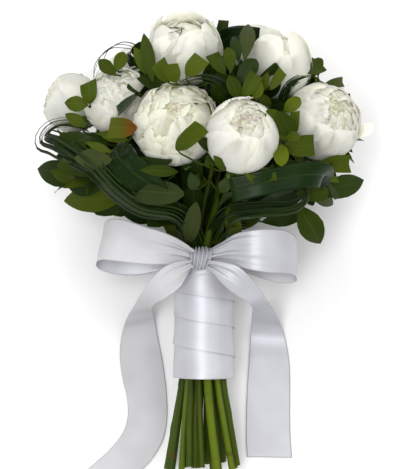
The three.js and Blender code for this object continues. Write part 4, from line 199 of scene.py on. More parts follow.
        {'s':3,'a':None,'b':[-19.8,189.5,0.3],'m':[-30.9,202.9,1.8],'t':[-43.5,215.6,3.7],'w':15.5,'k':'L','tip':'r','n':[0.71,0.67,-0.23],'x':0,'h':1},
        {'s':3,'a':None,'b':[-18.9,189.9,1.1],'m':[-23.3,201.5,5.2],'t':[-28.2,212.8,10.6],'w':16.7,'k':'L','tip':'p','n':[0.34,0.48,-0.81],'x':0,'h':1},
        {'s':3,'a':None,'b':[-24.2,180.7,-31.4],'m':[-26.5,195.1,-38.9],'t':[-28.5,209.4,-46.6],'w':15.7,'k':'M','tip':'p','n':[-0.61,-0.44,-0.66],'x':0,'h':2},
        {'s':3,'a':None,'b':[-24.2,179.5,-32.6],'m':[-26.3,187.2,-44.5],'t':[-28.1,193.7,-57.8],'w':13.4,'k':'M','tip':'r','n':[-0.18,0.84,0.5],'x':0,'h':2},
        {'s':3,'a':None,'b':[-25.1,178.8,-32.6],'m':[-31.2,183.5,-45.1],'t':[-37.9,186.4,-58.9],'w':15.2,'k':'M','tip':'p','n':[0.09,0.97,0.23],'x':0,'h':2},
        {'s':3,'a':None,'b':[-25.9,179.8,-28.6],'m':[-33.7,187.3,-24.4],'t':[-42.8,193.9,-17.6],'w':12.6,'k':'M','tip':'r','n':[0.12,0.7,-0.71],'x':0,'h':2},
        {'s':3,'a':None,'b':[-24.4,181.0,-29.6],'m':[-26.8,193.8,-28.8],'t':[-29.0,206.8,-26.5],'w':15.1,'k':'M','tip':'r','n':[-0.12,0.1,-0.99],'x':0,'h':2},
        {'s':3,'a':None,'b':[-23.2,180.9,-30.6],'m':[-20.4,196.5,-34.3],'t':[-16.3,212.3,-37.4],'w':12.6,'k':'M','tip':'r','n':[-0.86,0.08,-0.5],'x':0,'h':2},
        {'s':10,'a':None,'b':[19.6,171.2,-40.2],'m':[22.9,183.6,-49.9],'t':[26.2,195.7,-59.9],'w':15.7,'k':'M','tip':'r','n':[0.27,0.56,0.79],'x':0,'h':3},
        {'s':10,'a':None,'b':[18.0,169.4,-41.2],'m':[13.2,172.9,-56.9],'t':[6.9,174.3,-73.7],'w':15.5,'k':'M','tip':'r','n':[0.43,0.9,-0.01],'x':0,'h':3},
        {'s':10,'a':None,'b':[17.5,170.5,-40.5],'m':[10.4,179.7,-52.2],'t':[1.2,188.1,-64.4],'w':13.4,'k':'M','tip':'r','n':[0.76,0.65,-0.04],'x':0,'h':3},
        {'s':10,'a':None,'b':[17.4,171.5,-38.3],'m':[9.2,186.7,-38.3],'t':[-1.2,201.9,-36.5],'w':13.1,'k':'M','tip':'r','n':[0.59,0.4,-0.7],'x':0,'h':3},
        {'s':10,'a':None,'b':[58.2,156.5,-39.5],'m':[66.6,168.2,-47.0],'t':[74.9,180.1,-54.3],'w':13.7,'k':'M','tip':'r','n':[0.11,-0.58,-0.8],'x':0,'h':4},
        {'s':10,'a':None,'b':[58.7,156.4,-38.5],'m':[67.5,165.5,-40.6],'t':[76.7,174.7,-41.4],'w':13.2,'k':'M','tip':'r','n':[-0.22,0.07,-0.97],'x':0,'h':4},
        {'s':10,'a':None,'b':[59.2,155.4,-39.1],'m':[72.6,161.8,-44.7],'t':[87.0,167.4,-49.6],'w':14.3,'k':'M','tip':'r','n':[-0.49,0.7,-0.51],'x':0,'h':4},
        {'s':10,'a':None,'b':[58.7,155.0,-40.2],'m':[71.0,160.0,-52.1],'t':[83.7,163.8,-64.5],'w':16.5,'k':'M','tip':'p','n':[-0.19,0.97,0.15],'x':0,'h':4},
        {'s':10,'a':None,'b':[57.7,155.5,-40.7],'m':[63.1,161.5,-52.0],'t':[68.0,166.7,-64.3],'w':12.6,'k':'M','tip':'p','n':[0.46,0.7,0.54],'x':0,'h':4},
        {'s':10,'a':None,'b':[55.8,155.8,-40.7],'m':[52.9,163.6,-53.3],'t':[47.7,170.9,-66.9],'w':16.8,'k':'M','tip':'p','n':[0.89,0.46,-0.01],'x':0,'h':4},
        {'s':10,'a':None,'b':[-36.3,147.3,-49.2],'m':[-29.5,156.8,-54.9],'t':[-19.7,166.6,-59.7],'w':15.1,'k':'D','tip':'p','n':[-0.74,0.31,-0.59],'x':0,'h':5},
        {'s':10,'a':None,'b':[-36.6,145.9,-50.5],'m':[-31.7,149.5,-60.7],'t':[-24.3,152.1,-71.2],'w':15.2,'k':'D','tip':'c','n':[-0.77,0.56,-0.29],'x':0,'h':5},
        {'s':8,'a':None,'b':[84.1,158.9,13.3],'m':[96.4,168.5,15.7],'t':[108.8,177.8,18.2],'w':15.4,'k':'L','tip':'r','n':[-0.62,0.74,0.25],'x':0,'h':6},
        {'s':8,'a':None,'b':[84.6,156.5,12.8],'m':[99.8,154.6,12.3],'t':[115.6,150.1,11.4],'w':16.1,'k':'L','tip':'p','n':[0.21,0.97,0.15],'x':0,'h':6},
        {'s':8,'a':None,'b':[84.3,157.5,11.5],'m':[97.4,160.3,5.2],'t':[110.9,161.5,-2.8],'w':13.2,'k':'L','tip':'p','n':[0.19,0.79,0.58],'x':0,'h':6},
        {'s':8,'a':None,'b':[83.4,159.4,12.0],'m':[92.3,171.3,7.9],'t':[100.6,183.5,2.5],'w':15.8,'k':'L','tip':'r','n':[0.54,-0.06,0.84],'x':0,'h':6},
        {'s':8,'a':None,'b':[82.5,159.9,12.3],'m':[87.0,174.3,9.7],'t':[90.1,189.4,6.2],'w':15.6,'k':'L','tip':'p','n':[0.89,-0.15,0.42],'x':0,'h':6},
        {'s':8,'a':None,'b':[83.1,159.5,14.0],'m':[89.6,170.0,18.3],'t':[95.2,180.8,23.4],'w':14.7,'k':'L','tip':'p','n':[0.79,-0.19,-0.58],'x':0,'h':6},
        {'s':8,'a':None,'b':[83.7,158.9,14.2],'m':[95.5,169.6,21.5],'t':[107.2,180.2,29.9],'w':13.2,'k':'L','tip':'r','n':[0.33,0.3,-0.9],'x':0,'h':6},
        {'s':8,'a':None,'b':[83.2,151.6,-24.7],'m':[91.8,160.1,-29.1],'t':[100.3,168.8,-33.4],'w':13.8,'k':'L','tip':'r','n':[0.35,-0.67,-0.65],'x':0,'h':7},
        {'s':8,'a':None,'b':[82.9,152.1,-23.7],'m':[91.9,163.9,-23.8],'t':[100.5,176.4,-22.8],'w':14.1,'k':'L','tip':'p','n':[0.47,-0.31,-0.83],'x':0,'h':7},
        {'s':8,'a':None,'b':[83.7,151.3,-23.7],'m':[95.4,159.0,-24.0],'t':[107.4,166.6,-23.2],'w':15.9,'k':'L','tip':'r','n':[-0.13,0.24,-0.96],'x':0,'h':7},
        {'s':8,'a':None,'b':[84.1,149.0,-23.6],'m':[98.0,147.2,-23.5],'t':[112.7,143.0,-22.2],'w':16.5,'k':'L','tip':'c','n':[0.2,0.87,-0.45],'x':0,'h':7},
        {'s':8,'a':None,'b':[83.4,148.8,-25.5],'m':[93.8,146.3,-33.1],'t':[104.3,141.2,-41.4],'w':13.1,'k':'L','tip':'r','n':[0.35,0.94,0.01],'x':0,'h':7},
        {'s':8,'a':None,'b':[81.5,149.9,-26.7],'m':[83.7,151.7,-38.6],'t':[84.0,152.0,-52.4],'w':15.7,'k':'L','tip':'r','n':[0.77,0.62,0.13],'x':0,'h':7},
        {'s':8,'a':None,'b':[80.5,151.2,-26.2],'m':[78.2,160.2,-38.9],'t':[73.1,168.9,-53.1],'w':13.1,'k':'L','tip':'c','n':[0.92,0.4,0.01],'x':0,'h':7},
        {'s':2,'a':None,'b':[-80.3,137.5,-41.8],'m':[-94.1,144.5,-51.4],'t':[-108.0,151.2,-60.9],'w':12.7,'k':'L','tip':'p','n':[0.31,0.93,0.21],'x':0,'h':8},
        {'s':2,'a':None,'b':[-80.7,137.2,-41.2],'m':[-91.5,140.9,-45.4],'t':[-102.9,144.1,-48.9],'w':15.0,'k':'L','tip':'r','n':[0.42,0.56,-0.71],'x':0,'h':8},
        {'s':2,'a':None,'b':[-80.5,138.0,-40.1],'m':[-90.8,144.6,-40.4],'t':[-101.5,151.4,-39.0],'w':12.6,'k':'L','tip':'c','n':[-0.03,0.03,-1.0],'x':0,'h':8},
        {'s':2,'a':None,'b':[-79.8,138.6,-41.2],'m':[-87.9,148.1,-45.9],'t':[-95.7,158.4,-49.9],'w':12.6,'k':'L','tip':'r','n':[-0.42,-0.63,-0.65],'x':0,'h':8},
        {'s':2,'a':None,'b':[-79.1,138.4,-42.1],'m':[-84.2,147.0,-50.3],'t':[-88.3,156.2,-58.8],'w':16.2,'k':'L','tip':'p','n':[-0.92,-0.39,0.09],'x':0,'h':8},
        {'s':2,'a':None,'b':[-79.3,137.6,-42.6],'m':[-87.7,145.1,-56.3],'t':[-95.3,152.4,-70.7],'w':12.8,'k':'L','tip':'r','n':[-0.81,0.19,0.56],'x':0,'h':8},
        {'s':2,'a':None,'b':[-79.1,135.2,-42.8],'m':[-86.0,129.8,-56.7],'t':[-92.0,121.8,-71.5],'w':14.5,'k':'L','tip':'r','n':[-0.6,0.8,-0.1],'x':0,'h':8},
        {'s':8,'a':None,'b':[100.4,138.9,-2.0],'m':[112.8,144.5,-2.2],'t':[125.2,149.9,-2.1],'w':16.4,'k':'D','tip':'r','n':[-0.38,0.86,0.35],'x':0,'h':9},
        {'s':8,'a':None,'b':[100.6,136.9,-1.8],'m':[112.1,135.0,-1.2],'t':[123.8,130.9,-0.1],'w':14.5,'k':'D','tip':'r','n':[0.26,0.95,-0.18],'x':0,'h':9},
        {'s':8,'a':None,'b':[100.1,137.5,-3.8],'m':[114.4,137.5,-13.5],'t':[128.4,136.0,-24.7],'w':16.5,'k':'D','tip':'r','n':[0.43,0.73,0.53],'x':0,'h':9},
        {'s':8,'a':None,'b':[98.6,138.3,-4.8],'m':[104.5,141.8,-17.6],'t':[108.7,144.5,-32.9],'w':12.9,'k':'D','tip':'r','n':[0.82,0.42,0.39],'x':0,'h':9},
        {'s':8,'a':None,'b':[98.4,140.4,-2.8],'m':[102.6,151.2,-5.7],'t':[105.0,163.4,-9.1],'w':14.8,'k':'D','tip':'p','n':[0.96,-0.23,0.14],'x':0,'h':9},
        {'s':8,'a':None,'b':[97.7,140.5,-1.2],'m':[99.2,157.4,3.0],'t':[98.1,175.7,8.1],'w':13.1,'k':'D','tip':'r','n':[0.98,0.05,-0.21],'x':0,'h':9},
        {'s':8,'a':None,'b':[98.8,139.3,0.3],'m':[105.5,147.8,11.2],'t':[110.8,156.5,24.6],'w':15.8,'k':'D','tip':'p','n':[0.8,0.22,-0.55],'x':0,'h':9},
        {'s':10,'a':None,'b':[0.4,135.7,-72.6],'m':[-0.2,141.8,-88.1],'t':[-1.0,147.6,-103.7],'w':14.0,'k':'D','tip':'p','n':[0.32,0.89,0.33],'x':0,'h':10},
        {'s':10,'a':None,'b':[-0.6,136.0,-72.2],'m':[-6.6,143.6,-86.4],'t':[-13.6,151.3,-100.2],'w':14.9,'k':'D','tip':'r','n':[0.92,0.07,-0.39],'x':0,'h':10},
        {'s':10,'a':None,'b':[-0.4,136.6,-71.9],'m':[-3.9,145.0,-81.9],'t':[-8.4,154.0,-91.4],'w':15.3,'k':'D','tip':'r','n':[0.69,-0.37,-0.62],'x':0,'h':10},
        {'s':10,'a':None,'b':[1.0,137.6,-69.8],'m':[4.2,154.8,-71.2],'t':[7.9,173.7,-70.0],'w':16.5,'k':'D','tip':'p','n':[-0.09,0.01,-1.0],'x':0,'h':10},
        {'s':10,'a':None,'b':[2.5,136.8,-70.1],'m':[10.6,145.9,-73.0],'t':[20.8,155.9,-73.5],'w':16.4,'k':'D','tip':'c','n':[-0.32,0.14,-0.94],'x':0,'h':10},
        {'s':10,'a':None,'b':[2.4,134.9,-72.1],'m':[10.0,136.3,-82.4],'t':[19.4,136.6,-92.4],'w':14.8,'k':'D','tip':'r','n':[-0.66,0.56,-0.5],'x':0,'h':10},
        {'s':10,'a':None,'b':[1.1,134.8,-72.7],'m':[4.6,136.3,-89.3],'t':[8.7,136.6,-106.2],'w':16.7,'k':'D','tip':'r','n':[-0.44,0.9,-0.05],'x':0,'h':10},
        {'s':10,'a':None,'b':[34.8,120.1,-70.5],'m':[34.7,109.7,-84.6],'t':[33.6,96.5,-98.4],'w':15.7,'k':'L','tip':'c','n':[0.38,0.7,-0.61],'x':0,'h':11},
        {'s':10,'a':None,'b':[34.1,122.4,-71.1],'m':[31.7,124.0,-83.1],'t':[27.4,124.9,-95.3],'w':15.8,'k':'L','tip':'r','n':[0.9,0.39,-0.21],'x':0,'h':11},
        {'s':10,'a':None,'b':[32.8,123.4,-69.8],'m':[23.5,130.5,-78.9],'t':[11.0,138.0,-86.9],'w':14.8,'k':'L','tip':'c','n':[0.67,0.13,-0.73],'x':0,'h':11},
        {'s':10,'a':None,'b':[34.2,124.9,-68.8],'m':[30.8,141.0,-73.6],'t':[25.8,158.9,-76.3],'w':14.1,'k':'L','tip':'r','n':[0.46,-0.08,-0.89],'x':0,'h':11},
        {'s':10,'a':None,'b':[-18.3,116.1,-74.2],'m':[-14.0,130.4,-83.8],'t':[-8.2,146.6,-92.1],'w':14.1,'k':'D','tip':'p','n':[-0.43,-0.35,-0.83],'x':0,'h':12},
        {'s':10,'a':None,'b':[-17.4,114.6,-74.9],'m':[-10.1,119.6,-86.2],'t':[-0.4,124.9,-96.9],'w':13.8,'k':'D','tip':'p','n':[-0.79,-0.01,-0.62],'x':0,'h':12},
        {'s':10,'a':None,'b':[-18.9,113.2,-75.7],'m':[-18.1,111.8,-89.3],'t':[-16.5,109.3,-103.1],'w':16.2,'k':'D','tip':'c','n':[-0.58,0.8,-0.16],'x':0,'h':12},
        {'s':10,'a':None,'b':[-20.0,111.4,-74.6],'m':[-25.1,99.7,-86.9],'t':[-30.4,85.1,-98.2],'w':15.8,'k':'D','tip':'p','n':[-0.04,0.68,-0.74],'x':0,'h':12},
        {'s':6,'a':None,'b':[71.4,104.2,65.2],'m':[70.9,99.2,75.9],'t':[67.8,92.4,87.1],'w':15.9,'k':'D','tip':'c','n':[0.85,0.4,0.35],'x':0,'h':13},
        {'s':6,'a':None,'b':[73.3,103.4,64.0],'m':[80.9,93.7,71.1],'t':[87.9,81.3,77.5],'w':14.1,'k':'D','tip':'p','n':[0.51,0.67,0.54],'x':0,'h':13},
        {'s':10,'a':None,'b':[73.5,109.2,-54.0],'m':[88.0,112.5,-51.4],'t':[103.4,116.0,-45.7],'w':14.1,'k':'M','tip':'r','n':[0.25,0.08,-0.97],'x':0,'h':14},
        {'s':10,'a':None,'b':[73.4,107.2,-54.7],'m':[85.9,102.0,-55.6],'t':[99.1,95.0,-54.3],'w':13.4,'k':'M','tip':'r','n':[0.23,0.45,-0.86],'x':0,'h':14},
        {'s':10,'a':None,'b':[72.5,106.3,-55.8],'m':[82.2,96.0,-61.8],'t':[91.8,83.0,-66.6],'w':17.0,'k':'M','tip':'r','n':[0.4,0.64,-0.66],'x':0,'h':14},
        {'s':10,'a':None,'b':[70.7,107.0,-57.3],'m':[71.8,99.7,-71.2],'t':[71.0,90.5,-85.5],'w':12.8,'k':'M','tip':'r','n':[0.78,0.54,-0.31],'x':0,'h':14},
        {'s':2,'a':None,'b':[-79.0,108.4,-55.6],'m':[-90.9,112.3,-66.5],'t':[-102.9,116.4,-77.2],'w':13.6,'k':'L','tip':'r','n':[-0.22,-0.97,-0.11],'x':0,'h':15},
        {'s':2,'a':None,'b':[-78.3,109.5,-55.6],'m':[-85.1,117.2,-64.5],'t':[-91.3,126.2,-73.2],'w':14.6,'k':'L','tip':'r','n':[-0.57,-0.76,-0.3],'x':0,'h':15},
        {'s':2,'a':None,'b':[-77.9,107.1,-56.5],'m':[-83.1,105.0,-68.7],'t':[-87.3,101.9,-81.7],'w':14.1,'k':'L','tip':'p','n':[-0.76,0.62,0.16],'x':0,'h':15},
        {'s':2,'a':None,'b':[-78.9,107.1,-55.8],'m':[-89.1,104.4,-66.2],'t':[-99.2,100.6,-76.7],'w':13.4,'k':'L','tip':'r','n':[-0.16,0.98,-0.14],'x':0,'h':15},
        {'s':2,'a':None,'b':[-79.7,107.5,-54.5],'m':[-94.3,106.5,-59.1],'t':[-109.6,104.7,-62.5],'w':14.1,'k':'L','tip':'r','n':[0.2,0.42,-0.88],'x':0,'h':15},
        {'s':2,'a':None,'b':[-79.4,109.1,-52.8],'m':[-90.3,114.5,-50.5],'t':[-101.8,120.9,-45.2],'w':14.4,'k':'L','tip':'r','n':[-0.35,-0.05,-0.94],'x':0,'h':15},
        {'s':7,'a':None,'b':[112.6,106.4,8.7],'m':[129.5,107.3,9.8],'t':[146.4,108.0,11.0],'w':15.5,'k':'L','tip':'r','n':[-0.06,0.98,0.21],'x':0,'h':16},
        {'s':7,'a':None,'b':[112.1,104.7,7.7],'m':[125.9,97.3,3.9],'t':[139.3,87.9,-1.0],'w':14.2,'k':'L','tip':'r','n':[0.57,0.74,0.35],'x':0,'h':16},
        {'s':7,'a':None,'b':[112.4,106.7,7.6],'m':[125.4,109.0,3.9],'t':[138.1,111.3,-1.0],'w':13.8,'k':'L','tip':'c','n':[0.32,-0.03,0.95],'x':0,'h':16},
        {'s':7,'a':None,'b':[112.3,107.3,7.8],'m':[125.6,112.4,4.6],'t':[138.6,118.2,0.5],'w':15.4,'k':'L','tip':'r','n':[0.42,-0.52,0.74],'x':0,'h':16},
        {'s':7,'a':None,'b':[112.0,108.0,9.1],'m':[125.4,117.0,12.0],'t':[138.1,127.4,15.4],'w':13.2,'k':'L','tip':'c','n':[0.61,-0.75,-0.24],'x':0,'h':16},
        {'s':7,'a':None,'b':[112.2,107.4,9.6],'m':[125.8,113.0,15.0],'t':[139.0,119.4,21.4],'w':13.8,'k':'L','tip':'r','n':[0.52,-0.49,-0.7],'x':0,'h':16},
        {'s':7,'a':None,'b':[111.9,105.9,10.5],'m':[123.2,104.8,19.2],'t':[133.9,103.0,29.8],'w':13.6,'k':'L','tip':'c','n':[0.65,0.34,-0.68],'x':0,'h':16},
        {'s':10,'a':None,'b':[15.9,103.4,-79.7],'m':[19.0,104.4,-93.9],'t':[22.3,105.2,-108.0],'w':16.5,'k':'M','tip':'c','n':[0.32,0.94,0.13],'x':0,'h':17},
        {'s':10,'a':None,'b':[14.7,101.0,-78.7],'m':[13.0,92.2,-88.0],'t':[10.3,80.9,-96.2],'w':12.6,'k':'M','tip':'r','n':[0.26,0.6,-0.75],'x':0,'h':17},
        {'s':10,'a':None,'b':[13.6,101.5,-78.5],'m':[7.9,95.5,-86.2],'t':[0.2,87.4,-92.8],'w':14.0,'k':'M','tip':'r','n':[0.42,0.41,-0.81],'x':0,'h':17},
        {'s':10,'a':None,'b':[13.5,103.6,-79.2],'m':[7.4,105.3,-89.5],'t':[-0.8,107.1,-99.4],'w':16.5,'k':'M','tip':'p','n':[0.82,0.02,-0.58],'x':0,'h':17},
        {'s':10,'a':None,'b':[14.4,105.7,-78.2],'m':[10.2,119.0,-87.0],'t':[4.7,134.5,-94.3],'w':14.0,'k':'M','tip':'p','n':[0.33,-0.37,-0.87],'x':0,'h':17},
        {'s':10,'a':None,'b':[17.0,105.1,-78.3],'m':[24.8,113.1,-86.4],'t':[34.0,122.6,-93.1],'w':16.6,'k':'M','tip':'c','n':[-0.34,-0.39,-0.85],'x':0,'h':17},
        {'s':10,'a':None,'b':[16.8,103.8,-79.3],'m':[25.4,107.0,-94.2],'t':[35.1,110.3,-108.7],'w':15.5,'k':'M','tip':'r','n':[-0.83,-0.13,-0.54],'x':0,'h':17},
        {'s':2,'a':None,'b':[-110.7,100.6,-14.7],'m':[-124.6,102.4,-16.8],'t':[-138.6,104.4,-18.6],'w':13.4,'k':'M','tip':'r','n':[-0.11,-0.98,-0.16],'x':0,'h':18},
        {'s':2,'a':None,'b':[-110.1,101.8,-15.4],'m':[-124.3,110.2,-21.8],'t':[-138.0,119.9,-28.6],'w':16.5,'k':'M','tip':'r','n':[-0.6,-0.77,0.22],'x':0,'h':18},
        {'s':2,'a':None,'b':[-109.4,100.6,-16.8],'m':[-117.8,102.0,-27.3],'t':[-124.9,103.6,-39.5],'w':14.1,'k':'M','tip':'c','n':[-0.83,0.01,0.56],'x':0,'h':18},
        {'s':2,'a':None,'b':[-109.5,99.1,-16.5],'m':[-120.5,92.9,-28.9],'t':[-130.3,85.3,-42.8],'w':13.8,'k':'M','tip':'p','n':[-0.79,0.48,0.38],'x':0,'h':18},
        {'s':2,'a':None,'b':[-109.6,98.0,-15.1],'m':[-120.8,86.4,-19.4],'t':[-130.9,72.3,-23.9],'w':16.3,'k':'M','tip':'c','n':[-0.75,0.65,-0.09],'x':0,'h':18},
        {'s':2,'a':None,'b':[-109.6,99.0,-12.3],'m':[-118.8,94.2,-4.5],'t':[-126.9,87.8,6.1],'w':14.8,'k':'M','tip':'r','n':[-0.78,0.28,-0.56],'x':0,'h':18},
        {'s':8,'a':None,'b':[99.0,98.7,-37.7],'m':[114.2,98.6,-45.3],'t':[129.6,98.2,-52.8],'w':12.6,'k':'M','tip':'c','n':[0.16,0.94,0.3],'x':0,'h':19},
        {'s':8,'a':None,'b':[98.5,97.3,-37.8],'m':[111.6,89.6,-45.9],'t':[124.2,80.2,-53.9],'w':16.5,'k':'M','tip':'p','n':[0.46,0.87,-0.19],'x':0,'h':19},
        {'s':8,'a':None,'b':[97.5,97.8,-39.0],'m':[105.1,93.2,-53.5],'t':[111.4,87.5,-69.2],'w':14.1,'k':'M','tip':'p','n':[0.86,0.44,0.24],'x':0,'h':19},
        {'s':8,'a':None,'b':[97.4,100.0,-38.9],'m':[104.4,106.7,-53.4],'t':[109.9,114.4,-69.0],'w':14.2,'k':'M','tip':'p','n':[0.91,-0.35,0.21],'x':0,'h':19},
        {'s':8,'a':None,'b':[98.2,100.6,-37.8],'m':[108.2,109.4,-45.1],'t':[117.5,119.9,-52.4],'w':15.2,'k':'M','tip':'p','n':[0.62,-0.76,-0.18],'x':0,'h':19},
        {'s':8,'a':None,'b':[97.8,101.3,-35.9],'m':[107.6,115.5,-33.7],'t':[116.4,132.2,-29.6],'w':12.7,'k':'M','tip':'c','n':[0.72,-0.31,-0.62],'x':0,'h':19},
        {'s':8,'a':None,'b':[99.3,98.9,-36.6],'m':[116.4,100.1,-38.3],'t':[133.8,101.2,-38.8],'w':14.4,'k':'M','tip':'p','n':[-0.07,0.02,-1.0],'x':0,'h':19},
        {'s':10,'a':None,'b':[-46.5,93.7,-72.5],'m':[-51.5,94.8,-85.8],'t':[-56.3,96.0,-99.3],'w':12.5,'k':'L','tip':'r','n':[-0.23,-0.97,-0.0],'x':0,'h':20},
        {'s':10,'a':None,'b':[-44.4,93.6,-72.5],'m':[-40.5,93.9,-85.3],'t':[-34.2,94.3,-98.2],'w':14.1,'k':'L','tip':'p','n':[-0.93,-0.0,-0.37],'x':0,'h':20},
        {'s':10,'a':None,'b':[-45.1,91.8,-72.1],'m':[-44.0,84.3,-84.3],'t':[-41.2,75.1,-96.1],'w':15.0,'k':'L','tip':'c','n':[-0.69,0.54,-0.49],'x':0,'h':20},
        {'s':10,'a':None,'b':[-46.6,91.5,-71.6],'m':[-53.0,81.4,-82.4],'t':[-59.2,69.2,-92.3],'w':12.9,'k':'L','tip':'c','n':[-0.2,0.73,-0.66],'x':0,'h':20},
        {'s':10,'a':None,'b':[-47.8,92.9,-71.4],'m':[-60.6,89.7,-81.8],'t':[-74.4,85.9,-91.2],'w':16.2,'k':'L','tip':'p','n':[0.49,0.37,-0.79],'x':0,'h':20},
        {'s':7,'a':None,'b':[103.4,82.5,37.1],'m':[116.2,82.3,41.8],'t':[129.0,82.3,46.3],'w':15.9,'k':'D','tip':'p','n':[0.02,-1.0,-0.08],'x':0,'h':21},
        {'s':7,'a':None,'b':[101.9,82.5,38.8],'m':[108.8,82.4,51.0],'t':[114.3,82.7,64.7],'w':14.5,'k':'D','tip':'r','n':[0.89,-0.15,-0.43],'x':0,'h':21},
        {'s':7,'a':None,'b':[102.4,81.4,38.2],'m':[110.9,77.0,46.8],'t':[118.4,71.7,56.4],'w':14.2,'k':'D','tip':'r','n':[0.78,0.43,-0.46],'x':0,'h':21},
        {'s':7,'a':None,'b':[102.0,80.0,36.9],'m':[110.3,67.4,41.3],'t':[117.3,52.6,45.4],'w':16.9,'k':'D','tip':'c','n':[0.81,0.53,0.26],'x':0,'h':21},
        {'s':7,'a':None,'b':[102.5,80.7,34.7],'m':[112.5,72.6,28.8],'t':[121.7,62.9,20.5],'w':16.1,'k':'D','tip':'r','n':[0.7,0.21,0.68],'x':0,'h':21},
        {'s':7,'a':None,'b':[102.7,82.8,34.1],'m':[114.7,84.2,25.0],'t':[126.1,86.1,12.7],'w':14.8,'k':'D','tip':'p','n':[0.68,-0.16,0.72],'x':0,'h':21},
        {'s':0,'a':None,'b':[-107.4,92.5,34.9],'m':[-120.2,91.4,39.2],'t':[-133.0,90.0,43.5],'w':13.3,'k':'D','tip':'r','n':[0.02,0.95,0.32],'x':0,'h':22},
        {'s':0,'a':None,'b':[-106.9,92.4,35.8],'m':[-117.9,90.9,44.2],'t':[-128.3,88.9,53.4],'w':15.1,'k':'D','tip':'p','n':[-0.63,0.34,-0.7],'x':0,'h':22},
        {'s':0,'a':None,'b':[-107.3,92.8,32.6],'m':[-121.1,93.2,26.9],'t':[-134.8,93.6,18.9],'w':15.6,'k':'D','tip':'p','n':[-0.44,-0.01,0.9],'x':0,'h':22},
        {'s':0,'a':None,'b':[-107.5,92.0,33.9],'m':[-120.3,89.1,34.5],'t':[-133.3,85.4,34.0],'w':16.0,'k':'D','tip':'p','n':[-0.15,0.57,0.81],'x':0,'h':22},
        {'s':10,'a':None,'b':[53.7,91.4,-71.0],'m':[61.4,92.1,-83.3],'t':[69.2,93.1,-95.4],'w':16.7,'k':'M','tip':'p','n':[-0.29,-0.93,-0.24],'x':0,'h':23},
        {'s':10,'a':None,'b':[55.1,91.2,-68.7],'m':[70.3,90.8,-71.2],'t':[87.1,90.4,-71.2],'w':15.5,'k':'M','tip':'r','n':[-0.08,0.01,-1.0],'x':0,'h':23},
        {'s':10,'a':None,'b':[54.1,89.8,-70.1],'m':[62.3,84.4,-77.4],'t':[71.2,77.6,-83.7],'w':13.1,'k':'M','tip':'r','n':[-0.13,0.65,-0.75],'x':0,'h':23},
        {'s':10,'a':None,'b':[52.7,88.8,-70.1],'m':[55.5,79.5,-77.5],'t':[57.5,67.8,-83.9],'w':12.6,'k':'M','tip':'c','n':[0.44,0.56,-0.7],'x':0,'h':23},
        {'s':10,'a':None,'b':[51.6,90.2,-71.2],'m':[50.1,85.9,-83.4],'t':[46.7,80.5,-95.7],'w':13.4,'k':'M','tip':'r','n':[0.87,0.37,-0.32],'x':0,'h':23},
        {'s':10,'a':None,'b':[52.6,91.9,-71.4],'m':[55.9,95.0,-88.1],'t':[58.3,98.9,-105.1],'w':17.0,'k':'M','tip':'p','n':[0.85,-0.52,0.04],'x':0,'h':23},
        {'s':2,'a':None,'b':[-95.6,88.0,-42.1],'m':[-106.6,87.1,-48.0],'t':[-117.8,86.1,-53.7],'w':13.3,'k':'M','tip':'p','n':[-0.07,1.0,-0.04],'x':0,'h':24},
        {'s':2,'a':None,'b':[-95.7,89.2,-40.0],'m':[-111.1,93.6,-37.3],'t':[-126.8,99.1,-32.2],'w':15.2,'k':'M','tip':'r','n':[-0.32,-0.3,-0.9],'x':0,'h':24},
        {'s':2,'a':None,'b':[-95.4,89.4,-42.0],'m':[-106.5,94.1,-48.4],'t':[-117.5,100.1,-54.4],'w':14.5,'k':'M','tip':'r','n':[-0.26,-0.91,-0.32],'x':0,'h':24},
        {'s':2,'a':None,'b':[-94.1,90.2,-42.6],'m':[-101.1,100.3,-53.4],'t':[-106.8,112.5,-64.5],'w':14.2,'k':'M','tip':'r','n':[-0.78,-0.61,-0.17],'x':0,'h':24},
        {'s':2,'a':None,'b':[-93.7,88.5,-43.6],'m':[-98.3,89.7,-58.2],'t':[-101.0,91.2,-74.2],'w':16.7,'k':'M','tip':'r','n':[-0.96,-0.14,0.22],'x':0,'h':24},
        {'s':2,'a':None,'b':[-93.2,85.8,-42.4],'m':[-95.7,75.3,-50.4],'t':[-95.8,62.4,-58.5],'w':15.8,'k':'M','tip':'p','n':[-0.88,0.33,-0.34],'x':0,'h':24},
        {'s':2,'a':None,'b':[-95.3,86.6,-41.6],'m':[-107.7,78.4,-47.0],'t':[-119.9,68.6,-51.8],'w':16.4,'k':'M','tip':'r','n':[-0.36,0.78,-0.51],'x':0,'h':24},
        {'s':10,'a':None,'b':[-9.1,83.6,-80.5],'m':[-11.0,83.0,-92.5],'t':[-13.2,82.4,-104.4],'w':12.9,'k':'L','tip':'r','n':[-0.3,-0.95,0.1],'x':0,'h':25},
        {'s':10,'a':None,'b':[-8.7,86.0,-79.5],'m':[-9.5,97.3,-91.3],'t':[-10.3,111.1,-102.0],'w':14.5,'k':'L','tip':'r','n':[-0.06,-0.67,-0.74],'x':0,'h':25},
        {'s':10,'a':None,'b':[-7.0,85.6,-79.3],'m':[-0.0,93.9,-89.1],'t':[8.8,104.2,-97.8],'w':15.3,'k':'L','tip':'r','n':[-0.39,-0.46,-0.8],'x':0,'h':25},
        {'s':10,'a':None,'b':[-6.5,83.9,-79.7],'m':[2.8,84.2,-91.0],'t':[14.5,84.9,-101.5],'w':14.1,'k':'L','tip':'r','n':[-0.71,-0.14,-0.69],'x':0,'h':25},
        {'s':10,'a':None,'b':[-7.1,81.8,-79.2],'m':[-0.6,73.3,-88.1],'t':[7.6,63.1,-95.6],'w':14.7,'k':'L','tip':'c','n':[-0.46,0.36,-0.82],'x':0,'h':25},
